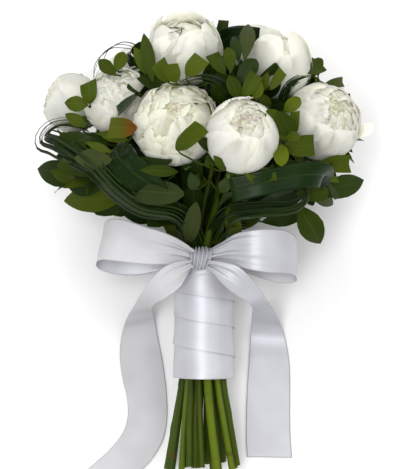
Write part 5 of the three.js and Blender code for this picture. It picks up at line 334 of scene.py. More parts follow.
        {'s':10,'a':None,'b':[-9.6,81.4,-79.0],'m':[-14.1,71.2,-86.9],'t':[-19.4,58.8,-93.2],'w':16.3,'k':'L','tip':'r','n':[0.16,0.48,-0.87],'x':0,'h':25},
        {'s':10,'a':None,'b':[-11.3,83.3,-78.7],'m':[-24.7,80.6,-86.2],'t':[-40.6,77.7,-91.8],'w':16.2,'k':'L','tip':'p','n':[0.41,-0.0,-0.91],'x':0,'h':25},
        {'s':8,'a':None,'b':[84.2,79.1,-52.3],'m':[97.4,78.3,-63.2],'t':[110.8,77.7,-74.0],'w':13.1,'k':'M','tip':'r','n':[-0.26,-0.93,-0.25],'x':0,'h':26},
        {'s':8,'a':None,'b':[84.7,79.9,-49.9],'m':[96.9,82.3,-49.0],'t':[109.7,85.7,-45.7],'w':16.8,'k':'M','tip':'r','n':[0.23,-0.32,-0.92],'x':0,'h':26},
        {'s':8,'a':None,'b':[84.2,77.4,-50.0],'m':[95.9,68.8,-49.5],'t':[107.8,58.8,-46.6],'w':14.1,'k':'M','tip':'r','n':[0.35,0.28,-0.89],'x':0,'h':26},
        {'s':8,'a':None,'b':[83.7,77.0,-50.9],'m':[94.3,64.7,-54.3],'t':[104.5,50.5,-56.3],'w':16.6,'k':'M','tip':'r','n':[0.45,0.5,-0.74],'x':0,'h':26},
        {'s':8,'a':None,'b':[82.7,78.0,-52.9],'m':[88.5,70.5,-68.1],'t':[93.0,62.1,-83.8],'w':16.6,'k':'M','tip':'r','n':[0.9,0.42,0.08],'x':0,'h':26},
        {'s':8,'a':None,'b':[81.7,79.5,-53.4],'m':[82.1,80.7,-69.3],'t':[80.1,82.5,-86.3],'w':16.3,'k':'M','tip':'p','n':[0.97,-0.23,-0.07],'x':0,'h':26},
        {'s':8,'a':None,'b':[83.0,80.4,-52.9],'m':[90.6,86.2,-67.4],'t':[97.1,93.6,-82.4],'w':16.6,'k':'M','tip':'r','n':[0.7,-0.72,0.01],'x':0,'h':26},
        {'s':2,'a':None,'b':[-67.5,76.1,-63.2],'m':[-75.4,75.1,-73.8],'t':[-83.2,74.4,-84.6],'w':15.1,'k':'M','tip':'r','n':[-0.08,-0.99,0.13],'x':0,'h':27},
        {'s':2,'a':None,'b':[-66.6,76.5,-63.6],'m':[-70.9,76.9,-76.9],'t':[-74.2,78.1,-90.8],'w':16.0,'k':'M','tip':'r','n':[-0.83,-0.52,0.2],'x':0,'h':27},
        {'s':2,'a':None,'b':[-65.3,74.9,-63.4],'m':[-64.5,69.7,-74.1],'t':[-61.5,63.7,-85.0],'w':13.8,'k':'M','tip':'c','n':[-0.94,0.2,-0.27],'x':0,'h':27},
        {'s':2,'a':None,'b':[-66.6,73.5,-61.5],'m':[-70.7,62.5,-65.7],'t':[-73.8,49.2,-68.2],'w':15.9,'k':'M','tip':'r','n':[-0.53,0.37,-0.77],'x':0,'h':27},
        {'s':2,'a':None,'b':[-67.8,74.2,-61.7],'m':[-79.8,62.8,-67.7],'t':[-91.9,49.8,-72.3],'w':16.4,'k':'M','tip':'r','n':[-0.14,0.51,-0.85],'x':0,'h':27},
        {'s':2,'a':None,'b':[-68.7,75.6,-60.3],'m':[-85.8,71.7,-58.8],'t':[-104.1,67.6,-54.4],'w':14.8,'k':'M','tip':'r','n':[-0.15,-0.06,-0.99],'x':0,'h':27},
        {'s':2,'a':None,'b':[-68.1,77.9,-61.7],'m':[-79.7,85.1,-67.0],'t':[-91.8,94.4,-70.9],'w':14.1,'k':'M','tip':'r','n':[-0.14,-0.63,-0.76],'x':0,'h':27},
        {'s':0,'a':None,'b':[-94.9,72.4,52.0],'m':[-109.9,67.3,60.9],'t':[-124.9,62.0,69.8],'w':12.5,'k':'M','tip':'p','n':[-0.05,0.89,0.45],'x':0,'h':28},
        {'s':0,'a':None,'b':[-93.4,71.8,52.9],'m':[-99.3,64.4,65.3],'t':[-103.6,56.0,78.5],'w':13.5,'k':'M','tip':'p','n':[-0.93,0.31,-0.18],'x':0,'h':28},
        {'s':0,'a':None,'b':[-95.2,74.2,51.3],'m':[-111.5,79.1,56.8],'t':[-128.1,85.5,61.5],'w':15.4,'k':'M','tip':'c','n':[-0.13,-0.84,0.52],'x':0,'h':28},
        {'s':0,'a':None,'b':[-95.0,74.1,49.1],'m':[-105.7,76.8,44.9],'t':[-116.6,80.9,37.6],'w':14.9,'k':'M','tip':'r','n':[-0.52,-0.34,0.78],'x':0,'h':28},
        {'s':0,'a':None,'b':[-94.9,71.9,49.4],'m':[-105.0,66.6,46.2],'t':[-115.0,60.6,40.3],'w':14.2,'k':'M','tip':'r','n':[-0.45,0.08,0.89],'x':0,'h':28},
        {'s':10,'a':None,'b':[30.3,71.3,-76.1],'m':[34.4,69.1,-87.3],'t':[38.9,67.0,-98.4],'w':15.5,'k':'M','tip':'p','n':[-0.39,-0.92,0.03],'x':0,'h':29},
        {'s':10,'a':None,'b':[31.7,70.4,-74.3],'m':[41.1,64.9,-79.0],'t':[52.3,58.7,-81.9],'w':12.9,'k':'M','tip':'p','n':[-0.3,0.1,-0.95],'x':0,'h':29},
        {'s':10,'a':None,'b':[30.2,69.8,-75.3],'m':[34.2,62.3,-83.6],'t':[38.3,53.5,-91.1],'w':14.9,'k':'M','tip':'r','n':[-0.04,0.69,-0.73],'x':0,'h':29},
        {'s':10,'a':None,'b':[29.0,69.5,-75.2],'m':[28.6,60.5,-83.6],'t':[27.2,49.9,-91.1],'w':16.0,'k':'M','tip':'p','n':[0.46,0.53,-0.71],'x':0,'h':29},
        {'s':10,'a':None,'b':[27.0,70.9,-75.1],'m':[16.4,66.0,-85.5],'t':[2.7,60.8,-94.9],'w':14.0,'k':'M','tip':'c','n':[0.65,-0.08,-0.76],'x':0,'h':29},
        {'s':10,'a':None,'b':[27.7,73.2,-75.5],'m':[22.0,79.0,-85.9],'t':[14.0,86.8,-95.6],'w':16.9,'k':'M','tip':'r','n':[0.54,-0.48,-0.69],'x':0,'h':29},
        {'s':10,'a':None,'b':[30.3,72.8,-75.9],'m':[35.6,77.2,-88.7],'t':[41.2,83.2,-101.3],'w':15.4,'k':'M','tip':'r','n':[-0.08,-0.91,-0.41],'x':0,'h':29},
        {'s':10,'a':None,'b':[-31.9,63.3,-73.9],'m':[-36.2,59.3,-84.7],'t':[-40.7,55.2,-95.4],'w':13.7,'k':'L','tip':'r','n':[0.17,0.9,-0.41],'x':0,'h':30},
        {'s':10,'a':None,'b':[-32.9,63.7,-73.3],'m':[-44.7,59.7,-85.7],'t':[-57.6,55.9,-97.4],'w':12.6,'k':'L','tip':'r','n':[0.72,-0.19,-0.67],'x':0,'h':30},
        {'s':10,'a':None,'b':[-32.2,64.9,-73.9],'m':[-38.0,67.0,-85.9],'t':[-44.3,70.6,-97.7],'w':16.9,'k':'L','tip':'p','n':[0.21,-0.92,-0.33],'x':0,'h':30},
        {'s':10,'a':None,'b':[-30.0,65.7,-73.8],'m':[-27.4,70.5,-84.3],'t':[-23.1,77.5,-94.6],'w':15.7,'k':'L','tip':'r','n':[-0.52,-0.66,-0.55],'x':0,'h':30},
        {'s':10,'a':None,'b':[-30.0,63.8,-74.1],'m':[-27.2,61.6,-86.2],'t':[-22.6,59.7,-98.4],'w':12.6,'k':'L','tip':'r','n':[-0.93,-0.27,-0.24],'x':0,'h':30},
        {'s':10,'a':None,'b':[-29.4,62.1,-72.6],'m':[-22.5,50.4,-80.7],'t':[-13.4,37.3,-87.3],'w':15.9,'k':'L','tip':'r','n':[-0.59,0.09,-0.8],'x':0,'h':30},
        {'s':10,'a':None,'b':[-30.8,61.4,-72.0],'m':[-30.7,44.5,-77.3],'t':[-29.8,25.6,-80.5],'w':14.5,'k':'L','tip':'p','n':[-0.33,0.21,-0.92],'x':0,'h':30},
        {'s':10,'a':None,'b':[62.9,58.9,-61.1],'m':[73.1,53.7,-72.7],'t':[83.4,48.6,-84.1],'w':14.3,'k':'D','tip':'r','n':[-0.47,-0.88,-0.02],'x':0,'h':31},
        {'s':10,'a':None,'b':[63.1,57.8,-59.9],'m':[71.0,50.3,-64.5],'t':[79.4,41.7,-67.8],'w':15.9,'k':'D','tip':'p','n':[-0.03,0.42,-0.91],'x':0,'h':31},
        {'s':10,'a':None,'b':[61.9,57.7,-60.9],'m':[66.0,48.9,-70.1],'t':[69.3,38.9,-78.9],'w':15.2,'k':'D','tip':'c','n':[0.67,0.63,-0.38],'x':0,'h':31},
        {'s':10,'a':None,'b':[61.3,58.3,-61.5],'m':[63.4,50.6,-75.0],'t':[64.0,42.3,-88.8],'w':16.8,'k':'D','tip':'c','n':[0.97,0.22,-0.03],'x':0,'h':31},
        {'s':10,'a':None,'b':[61.3,60.1,-61.9],'m':[63.2,60.7,-75.2],'t':[63.7,62.6,-89.1],'w':16.4,'k':'D','tip':'p','n':[0.77,-0.64,0.01],'x':0,'h':31},
        {'s':10,'a':None,'b':[62.6,60.8,-61.3],'m':[69.8,64.2,-72.3],'t':[76.9,69.6,-83.3],'w':13.6,'k':'D','tip':'c','n':[0.23,-0.95,-0.23],'x':0,'h':31},
        {'s':10,'a':None,'b':[63.7,60.1,-60.3],'m':[78.9,61.3,-68.8],'t':[95.0,63.8,-76.3],'w':14.2,'k':'D','tip':'r','n':[-0.26,-0.69,-0.67],'x':0,'h':31},
        {'s':10,'a':None,'b':[6.6,53.8,-73.3],'m':[10.3,58.7,-83.8],'t':[14.7,66.3,-94.1],'w':16.2,'k':'M','tip':'p','n':[-0.15,-0.82,-0.55],'x':0,'h':32},
        {'s':10,'a':None,'b':[8.0,52.6,-72.6],'m':[20.6,53.6,-83.5],'t':[35.3,56.0,-93.4],'w':13.5,'k':'M','tip':'p','n':[-0.46,-0.55,-0.69],'x':0,'h':32},
        {'s':10,'a':None,'b':[7.9,50.7,-72.1],'m':[19.8,41.6,-80.1],'t':[33.8,32.1,-86.7],'w':14.3,'k':'M','tip':'c','n':[-0.54,-0.09,-0.84],'x':0,'h':32},
        {'s':10,'a':None,'b':[6.0,49.4,-71.3],'m':[7.5,36.0,-74.6],'t':[9.2,21.0,-75.6],'w':14.9,'k':'M','tip':'r','n':[-0.01,0.15,-0.99],'x':0,'h':32},
        {'s':10,'a':None,'b':[4.0,49.9,-71.5],'m':[-2.4,40.1,-75.2],'t':[-10.7,29.0,-76.9],'w':15.9,'k':'M','tip':'p','n':[0.37,-0.02,-0.93],'x':0,'h':32},
        {'s':10,'a':None,'b':[3.2,51.0,-71.9],'m':[-7.9,44.3,-78.2],'t':[-21.6,37.6,-82.8],'w':13.7,'k':'M','tip':'r','n':[0.49,-0.23,-0.84],'x':0,'h':32},
        {'s':0,'a':[-66.9,61.3,23.8],'b':[-82.7,71.2,-23.9],'m':[-111.8,72.9,-31.1],'t':[-141.0,64.7,-38.3],'w':22.6,'k':'D','tip':'p','n':[-0.11,0.99,-0.03],'x':1,'h':-1},
        {'s':0,'a':[-53.7,52.5,19.5],'b':[-67.4,67.4,-45.0],'m':[-91.2,69.9,-58.5],'t':[-114.9,62.5,-72.0],'w':24.0,'k':'D','tip':'p','n':[-0.08,1.0,-0.04],'x':1,'h':-1},
        {'s':10,'a':[1.8,71.0,-35.9],'b':[-44.0,68.7,-60.6],'m':[-59.5,75.8,-78.8],'t':[-75.0,72.9,-97.0],'w':21.3,'k':'D','tip':'p','n':[0.06,1.0,0.07],'x':1,'h':-1},
        {'s':10,'a':[2.3,78.8,-38.6],'b':[-15.3,73.4,-68.9],'m':[-20.7,83.5,-86.5],'t':[-26.0,83.6,-104.0],'w':23.2,'k':'D','tip':'p','n':[0.08,0.96,0.26],'x':1,'h':-1},
        {'s':10,'a':[2.6,82.7,-40.0],'b':[15.3,74.3,-68.9],'m':[20.7,81.2,-85.8],'t':[26.0,78.1,-102.6],'w':23.0,'k':'M','tip':'p','n':[-0.03,0.99,0.1],'x':1,'h':-1},
        {'s':10,'a':[1.8,71.0,-35.9],'b':[44.0,61.8,-60.6],'m':[59.5,65.7,-78.8],'t':[75.0,59.5,-97.0],'w':21.1,'k':'D','tip':'p','n':[0.03,1.0,-0.04],'x':1,'h':-1},
        {'s':7,'a':[43.1,44.1,24.0],'b':[67.4,63.4,-45.0],'m':[91.2,67.5,-58.5],'t':[114.9,61.6,-72.0],'w':20.2,'k':'M','tip':'p','n':[0.03,1.0,-0.02],'x':1,'h':-1},
        {'s':7,'a':[55.1,52.3,29.9],'b':[82.7,60.3,-23.9],'m':[111.8,66.1,-31.1],'t':[141.0,62.0,-38.3],'w':24.1,'k':'D','tip':'p','n':[-0.03,1.0,0.01],'x':1,'h':-1},
    ],
    'straps': [
        {'name':'strap_leaf_01','w':20,'face':0,'pts':[[-5.4,-70.0,0.7],[-5.3,-30.0,0.6],[-5.2,0.0,0.5],[-16.3,20.2,20.0],[-30.7,70.9,30.0],[-48.7,125.1,32.0],[-47.5,149.5,44.0],[-54.0,150.0,62.0],[-63.7,140.8,66.0],[-76.2,130.4,62.0]]},
        {'name':'strap_leaf_02','w':19,'face':1,'pts':[[2.5,-70.0,-4.4],[2.5,-30.0,-4.2],[2.5,0.0,-4.1],[1.9,20.2,10.0],[9.2,98.9,10.0],[12.8,162.8,12.0],[16.5,197.1,16.0],[29.1,202.0,22.0],[50.0,200.2,22.0]]},
        {'name':'strap_leaf_03','w':22,'face':0,'pts':[[6.7,-70.0,6.3],[6.5,-30.0,6.2],[6.3,0.0,6.2],[20.1,20.2,22.0],[51.9,48.0,52.0],[99.6,68.2,62.0],[105.4,72.9,84.0],[85.2,73.2,104.0],[50.3,66.0,112.0],[23.6,60.1,108.0]]},
        {'name':'strap_leaf_04','w':32,'face':0,'pts':[[-1.3,-70.0,3.5],[-1.3,-30.0,3.4],[-1.3,0.0,3.3],[-12.7,18.4,20.0],[-31.9,47.8,60.0],[-46.9,65.7,92.0],[-66.3,79.8,88.0],[-78.0,98.4,62.0],[-68.3,104.8,40.0]]},
        {'name':'strap_leaf_05','w':16,'face':0,'pts':[[-3.3,-70.0,-12.2],[-3.0,-30.0,-12.0],[-2.8,0.0,-11.9],[-3.7,20.2,2.0],[-25.9,99.7,-8.0],[-42.7,155.6,-14.0],[-53.5,182.7,-6.0],[-61.5,192.8,4.0],[-68.6,186.7,10.0],[-64.1,175.9,8.0]]},
    ],
    'grass': [
        {'name':'grass_loop_01','pts':[[-0.6,-70.0,10.5],[-0.8,-30.0,10.2],[-0.9,0.0,10.1],[-7.2,16.6,22.0],[-24.7,39.8,66.0],[-55.9,45.7,84.0],[-76.9,60.6,86.0],[-102.4,85.7,70.0],[-130.8,104.5,46.0],[-142.9,110.7,30.0],[-134.4,120.2,22.0],[-114.3,120.1,24.0],[-98.2,113.0,20.0]]},
        {'name':'grass_loop_02','pts':[[2.0,-70.0,6.7],[1.8,-30.0,6.6],[1.7,0.0,6.5],[11.0,16.6,22.0],[24.9,38.0,70.0],[50.8,42.1,92.0],[78.8,44.7,92.0],[89.7,55.4,84.0],[84.8,66.1,76.0],[65.5,60.9,74.0]]},
        {'name':'grass_loop_03','pts':[[-1.2,-70.0,-1.1],[-1.1,-30.0,-1.1],[-1.1,0.0,-1.1],[7.4,20.2,6.0],[9.2,89.4,20.0],[25.0,132.3,60.0],[21.2,148.2,86.0],[5.4,158.2,92.0],[-13.9,157.4,80.0],[-24.7,151.4,66.0]]},
        {'name':'grass_loop_04','pts':[[9.6,-70.0,2.6],[9.3,-30.0,2.7],[9.2,0.0,2.8],[16.6,20.2,4.0],[52.8,89.4,20.0],[69.6,137.8,58.0],[77.7,154.2,76.0],[90.1,160.4,76.0],[101.4,159.7,62.0]]},
    ],
    'ribbons': {'bow_loop_left': [[[-9.4, 6.7, 36.0], [-9.8, -3.2, 35.0]], [[-18.8, 13.9, 39.0], [-18.8, -3.2, 37.0]], [[-33.1, 22.0, 46.0], [-30.4, -4.9, 42.0]], [[-57.1, 30.1, 52.0], [-54.5, -4.8, 49.0]], [[-74.1, 35.0, 50.0], [-80.5, -2.1, 48.0]], [[-83.5, 35.5, 41.0], [-92.6, -1.4, 39.0]], [[-89.5, 32.0, 29.0], [-97.7, -5.1, 28.0]], [[-89.1, 27.5, 19.0], [-95.6, -9.8, 18.0]], [[-78.5, 24.8, 13.0], [-82.2, -14.5, 12.0]], [[-58.5, 22.1, 11.0], [-60.3, -15.5, 10.0]], [[-37.4, 16.6, 15.0], [-38.3, -10.8, 14.0]], [[-21.7, 9.3, 23.0], [-20.8, -6.1, 22.5]]], 'bow_loop_right': [[[2.8, 6.7, 36.0], [2.8, -3.2, 35.0]], [[13.6, 13.0, 39.0], [12.7, -3.2, 37.0]], [[27.9, 22.0, 46.0], [24.4, -5.8, 42.0]], [[43.9, 25.6, 52.0], [43.1, -10.2, 50.0]], [[60.0, 26.5, 51.0], [59.2, -12.9, 49.0]], [[74.6, 24.7, 43.0], [75.6, -13.9, 41.0]], [[83.3, 19.3, 30.0], [83.4, -16.9, 29.0]], [[82.9, 16.6, 19.0], [82.9, -21.7, 18.0]], [[70.4, 19.3, 12.0], [68.6, -22.7, 11.0]], [[52.2, 19.3, 10.0], [49.5, -17.3, 9.0]], [[32.9, 15.7, 13.0], [32.0, -10.8, 13.0]], [[17.3, 9.3, 22.0], [17.3, -5.2, 21.5]]], 'ribbon_tail_left': [[[-10.7, -1.3, 41.0], [-10.7, -9.5, 39.0]], [[-20.5, -2.2, 46.0], [-14.3, -14.8, 43.0]], [[-33.0, -5.7, 51.0], [-21.4, -25.5, 45.0]], [[-45.6, -16.5, 48.0], [-33.2, -34.6, 40.0]], [[-55.9, -31.3, 32.0], [-43.4, -40.5, 26.0]], [[-65.1, -45.8, 6.0], [-47.8, -45.9, 2.0]], [[-72.1, -56.6, -32.0], [-47.9, -52.0, -34.0]], [[-76.5, -67.1, -57.0], [-46.6, -62.4, -58.0]], [[-79.1, -78.8, -62.4], [-43.9, -76.9, -62.3]], [[-79.9, -95.7, -58.8], [-40.0, -95.7, -58.4]], [[-77.4, -114.4, -54.8], [-37.1, -114.4, -54.8]], [[-73.4, -131.1, -50.5], [-35.1, -133.9, -49.8]], [[-71.8, -146.9, -46.4], [-35.0, -153.3, -44.8]], [[-74.9, -161.6, -42.7], [-38.6, -171.7, -40.1]], [[-83.7, -175.3, -39.1], [-48.8, -189.0, -35.6]], [[-96.7, -188.1, -35.8], [-63.7, -204.5, -31.6]], [[-108.7, -198.1, -33.3], [-77.6, -216.3, -28.6]]], 'ribbon_tail_right': [[[3.7, -1.3, 41.0], [3.7, -9.5, 39.0]], [[14.5, -2.2, 46.0], [8.2, -14.8, 43.0]], [[28.7, -5.7, 51.0], [18.1, -24.6, 45.0]], [[41.3, -16.5, 48.0], [29.8, -33.7, 40.0]], [[52.5, -30.4, 32.0], [40.0, -39.6, 26.0]], [[61.5, -44.0, 6.0], [44.1, -45.0, 2.0]], [[68.3, -55.6, -32.0], [44.9, -52.9, -34.0]], [[73.9, -67.1, -57.0], [44.5, -65.3, -58.0]], [[77.9, -80.7, -61.4], [43.7, -80.7, -61.9]], [[80.6, -97.6, -57.9], [42.6, -97.6, -58.3]], [[81.4, -116.3, -54.3], [41.1, -116.3, -54.3]], [[81.2, -134.8, -49.5], [40.1, -134.8, -49.5]], [[81.0, -153.3, -44.8], [39.5, -153.3, -44.8]], [[81.3, -171.7, -40.1], [39.4, -171.7, -40.1]], [[82.5, -188.1, -35.8], [40.3, -187.2, -36.1]]]},
}
ORIGIN = DATA["origin"]
SLOPE = DATA["slope"]
LIE_Y, LIE_Z = DATA["lie"]
TH = math.atan(SLOPE)
CT, ST = math.cos(TH), math.sin(TH)
CAM = (3.7, 21.6, 1800.0)
SCALE = 0.92
RB = DATA["RB"]


def to_row(p):
    p = np.asarray(p, float)
    x, y, z = p[..., 0], p[..., 1], p[..., 2]
    return np.stack([x + ORIGIN[0], y * CT - z * ST + ORIGIN[1], y * ST + z * CT + ORIGIN[2]], -1) / 1000


def from_image(px, py, z):
    """The point in the bunch's frame at height z that the camera sees at image place px, py."""
    s = (CAM[2] - z) / CAM[2] * SCALE
    return np.array([(px - 208) * s + CAM[0], (234.5 - py) * s + CAM[1], float(z)])


def table_z(y):
    return LIE_Z - (y - LIE_Y) * SLOPE


def unit(v):
    v = np.asarray(v, float)
    n = np.linalg.norm(v, axis=-1, keepdims=True)
    return v / np.maximum(n, 1e-9)


def rng_of(*key):
    seed = 17
    for k in key:
        for c in str(k):
            seed = (seed * 31 + ord(c)) % 2147483647
    return np.random.default_rng(seed)


def spline(pts, n, closed=False):
    """n points evenly spaced along a centripetal Catmull-Rom curve through pts (any number of columns, the first three are the place)."""
    pts = np.asarray(pts, float)
    p = np.vstack([2 * pts[0] - pts[1], pts, 2 * pts[-1] - pts[-2]])
    out = []
    for i in range(1, len(p) - 2):
        p0, p1, p2, p3 = p[i - 1], p[i], p[i + 1], p[i + 2]
        d = [max(np.linalg.norm((b - a)[:3]) ** 0.5, 1e-4) for a, b in ((p0, p1), (p1, p2), (p2, p3))]
        t0, t1 = 0.0, d[0]
        t2 = t1 + d[1]
        t3 = t2 + d[2]
        for t in np.linspace(t1, t2, 24, endpoint=False):
            a1 = (t1 - t) / (t1 - t0) * p0 + (t - t0) / (t1 - t0) * p1
            a2 = (t2 - t) / (t2 - t1) * p1 + (t - t1) / (t2 - t1) * p2
            a3 = (t3 - t) / (t3 - t2) * p2 + (t - t2) / (t3 - t2) * p3
            b1 = (t2 - t) / (t2 - t0) * a1 + (t - t0) / (t2 - t0) * a2
            b2 = (t3 - t) / (t3 - t1) * a2 + (t - t1) / (t3 - t1) * a3
            out.append((t2 - t) / (t2 - t1) * b1 + (t - t1) / (t2 - t1) * b2)
    out.append(p[-2])
    out = np.array(out)
    s = np.concatenate([[0], np.cumsum(np.linalg.norm(np.diff(out[:, :3], axis=0), axis=1))])
    at = np.linspace(0, s[-1], n)
    return np.stack([np.interp(at, s, out[:, k]) for k in range(out.shape[1])], 1)


def smooth(x, a, b):
    t = np.clip((x - a) / (b - a), 0, 1)
    return t * t * (3 - 2 * t)


class Piece:
    """Collects grids of points into one mesh. Each vertex carries four numbers: across, along, tone and a number of its own part."""

    def __init__(self):
        self.v, self.f, self.m, self.d, self.n = [], [], [], [], 0

    def grid(self, P, mat=0, tone=0.0, own=0.0, wrap=False, uv=None):
        nu, nv = P.shape[:2]
        base = self.n
        self.v.append(P.reshape(-1, 3))
        U, V = np.meshgrid(np.linspace(0, 1, nu), np.linspace(0, 1, nv), indexing="ij")
        if uv is not None:
            U, V = uv
        T = np.broadcast_to(np.asarray(tone, float), (nu, nv))
        D = np.stack([U, V, T, np.full((nu, nv), float(own))], -1)
        self.d.append(D.reshape(-1, 4))
        i, j = np.meshgrid(np.arange(nu if wrap else nu - 1), np.arange(nv - 1), indexing="ij")
        a = base + i * nv + j
        b = base + ((i + 1) % nu) * nv + j
        q = np.stack([a, b, b + 1, a + 1], -1).reshape(-1, 4)
        self.f.append(q)
        self.m.append(np.full(len(q), mat))
        self.n += nu * nv
        return base

    def tube(self, path, radius, sides=10, mat=0, tone=0.0, own=0.0, cap=True, squash=None):
        """A round tube along path. radius may vary along it."""
        path = np.asarray(path, float)
        n = len(path)
        r = np.broadcast_to(np.asarray(radius, float), (n,))
        t = unit(np.gradient(path, axis=0))
        ref = np.array([0.3, 0.2, 1.0]) if abs(t[0][2]) < 0.8 else np.array([1.0, 0.1, 0])
        u = unit(np.cross(t[0], ref))
        P = np.zeros((sides, n, 3))
        for k in range(n):
            u = unit(u - t[k] * np.dot(u, t[k]))
            w = np.cross(t[k], u)
            for s in range(sides):
                a = 2 * math.pi * s / sides
                P[s, k] = path[k] + (u * math.cos(a) + w * math.sin(a)) * r[k]
        self.grid(P, mat, tone, own, wrap=True)
        if cap:
            for k, order in ((0, 1), (n - 1, -1)):
                c = path[k] + t[k] * (-0.02 if k == 0 else 0.02)
                ring = P[:, k]
                G = np.zeros((sides, 2, 3))
                G[:, 0] = ring[::order]
                G[:, 1] = c + (ring[::order] - c) * 0.05
                self.grid(G, mat, 1.0 if k == 0 else tone, own, wrap=True)
                base = self.n - 2 * sides
                # close the pinhole in the middle
                self.f.append(np.array([[base + 2 * s + 1 for s in range(4)]]) * 0 + np.array([[base + 1, base + 2 * (sides // 4) + 1, base + 2 * (sides // 2) + 1, base + 2 * (3 * sides // 4) + 1]]))
                self.m.append(np.array([mat]))

    def object(self, name, materials, replaces, slot, lift=0.25, flatten=True):
        v = to_row(np.vstack(self.v))
        if flatten:  # what would reach into the surface lies on it
            low = lift / 1000
            z = v[:, 2]
            v[:, 2] = np.where(z < low + 0.004, low + 0.004 * np.exp((z - low - 0.004) / 0.004), z)
        f = np.vstack([np.pad(q, ((0, 0), (0, 0))) for q in self.f])
        me = bpy.data.meshes.new(name)
        me.from_pydata(v.tolist(), [], f.tolist())
        d = me.attributes.new("d", "FLOAT_COLOR", "POINT")
        d.data.foreach_set("color", np.vstack(self.d).astype(np.float32).ravel())
        for m in materials:
            me.materials.append(m)
        me.polygons.foreach_set("material_index", np.concatenate(self.m).astype(np.int32))
        me.polygons.foreach_set("use_smooth", np.ones(len(me.polygons), bool))
        me.update()
        ob = bpy.data.objects.new(name, me)
        bpy.context.scene.collection.objects.link(ob)
        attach(ob, "root")
        if replaces:
            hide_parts(*replaces)
        return ob


# ------------------------------------------------------------------ materials
def new_material(name):
    m = bpy.data.materials.new(name)
    m.use_nodes = True
    nt = m.node_tree
    nt.nodes.clear()
    return m, nt


class Nodes:
    """A short way of writing node trees."""

    def __init__(self, nt):
        self.nt = nt

    def node(self, kind, **inputs):
        n = self.nt.nodes.new(kind)
        for k, v in inputs.items():
            self.put(n, k, v)
        return n

    def put(self, n, key, v):
        sock = n.inputs[key if not key.isdigit() else int(key)] if isinstance(key, str) else n.inputs[key]
        if hasattr(v, "links") or isinstance(v, bpy.types.NodeSocket):
            self.nt.links.new(v, sock)
        else:
            sock.default_value = v

    def data(self):
        a = self.node("ShaderNodeAttribute")
        a.attribute_name = "d"
        s = self.node("ShaderNodeSeparateColor")
        self.nt.links.new(a.outputs["Color"], s.inputs[0])
        return s.outputs[0], s.outputs[1], s.outputs[2], a.outputs["Alpha"]

    def math(self, op, a, b=0.0, c=None, clamp=False):
        n = self.nt.nodes.new("ShaderNodeMath")
        n.operation = op
        n.use_clamp = clamp
        for i, v in enumerate((a, b) if c is None else (a, b, c)):
            if isinstance(v, bpy.types.NodeSocket):
                self.nt.links.new(v, n.inputs[i])
            else:
                n.inputs[i].default_value = v
        return n.outputs[0]

    def mix(self, fac, a, b, blend="MIX"):
        n = self.nt.nodes.new("ShaderNodeMix")
        n.data_type = "RGBA"
        n.blend_type = blend
        n.clamp_factor = True
        for i, v in ((0, fac), (6, a), (7, b)):
            if isinstance(v, bpy.types.NodeSocket):
                self.nt.links.new(v, n.inputs[i])
            else:
                n.inputs[i].default_value = v if i == 0 else (*v, 1.0)
        return n.outputs[2]

    def combine(self, x, y, z):
        n = self.nt.nodes.new("ShaderNodeCombineXYZ")
        for i, v in enumerate((x, y, z)):
            if isinstance(v, bpy.types.NodeSocket):
                self.nt.links.new(v, n.inputs[i])
            else:
                n.inputs[i].default_value = v
        return n.outputs[0]

    def noise(self, vec, scale, detail=3.0, rough=0.5):
        n = self.nt.nodes.new("ShaderNodeTexNoise")
        if vec is not None:
            self.nt.links.new(vec, n.inputs["Vector"])
        n.inputs["Scale"].default_value = scale
        n.inputs["Detail"].default_value = detail
        n.inputs["Roughness"].default_value = rough
        return n.outputs["Fac"]

    def ramp(self, fac, stops):
        n = self.nt.nodes.new("ShaderNodeValToRGB")
        self.nt.links.new(fac, n.inputs[0])
        e = n.color_ramp.elements
        while len(e) > 1:
            e.remove(e[-1])
        e[0].position, e[0].color = stops[0][0], (*stops[0][1], 1)
        for p, c in stops[1:]:
            x = e.new(p)
            x.color = (*c, 1)
        return n.outputs[0]

    def bump(self, height, strength, distance=0.001):
        n = self.nt.nodes.new("ShaderNodeBump")
        n.inputs["Strength"].default_value = strength
        n.inputs["Distance"].default_value = distance
        self.nt.links.new(height, n.inputs["Height"])
        return n.outputs[0]

    def coords(self):
        return self.nt.nodes.new("ShaderNodeTexCoord").outputs["Object"]

    def out(self, shader):
        o = self.nt.nodes.new("ShaderNodeOutputMaterial")
        self.nt.links.new(shader, o.inputs[0])


def principled(N, colour, rough, normal=None, **more):
    p = N.nt.nodes.new("ShaderNodeBsdfPrincipled")
    for k, v in {"Base Color": colour, "Roughness": rough, **more}.items():
        if isinstance(v, bpy.types.NodeSocket):
            N.nt.links.new(v, p.inputs[k])
        elif k == "Base Color":
            p.inputs[k].default_value = (*v, 1.0)
        else:
            p.inputs[k].default_value = v
    if normal is not None:
        N.nt.links.new(normal, p.inputs["Normal"])
    return p.outputs[0]


def with_glow(N, solid, colour, share, normal=None):
    """A thin petal or leaf lets some light through."""
    t = N.nt.nodes.new("ShaderNodeBsdfTranslucent")
    if isinstance(colour, bpy.types.NodeSocket):
        N.nt.links.new(colour, t.inputs["Color"])
    else:
        t.inputs["Color"].default_value = (*colour, 1)
    m = N.nt.nodes.new("ShaderNodeMixShader")
    m.inputs[0].default_value = share
    N.nt.links.new(solid, m.inputs[1])
    N.nt.links.new(t.outputs[0], m.inputs[2])
    return m.outputs[0]


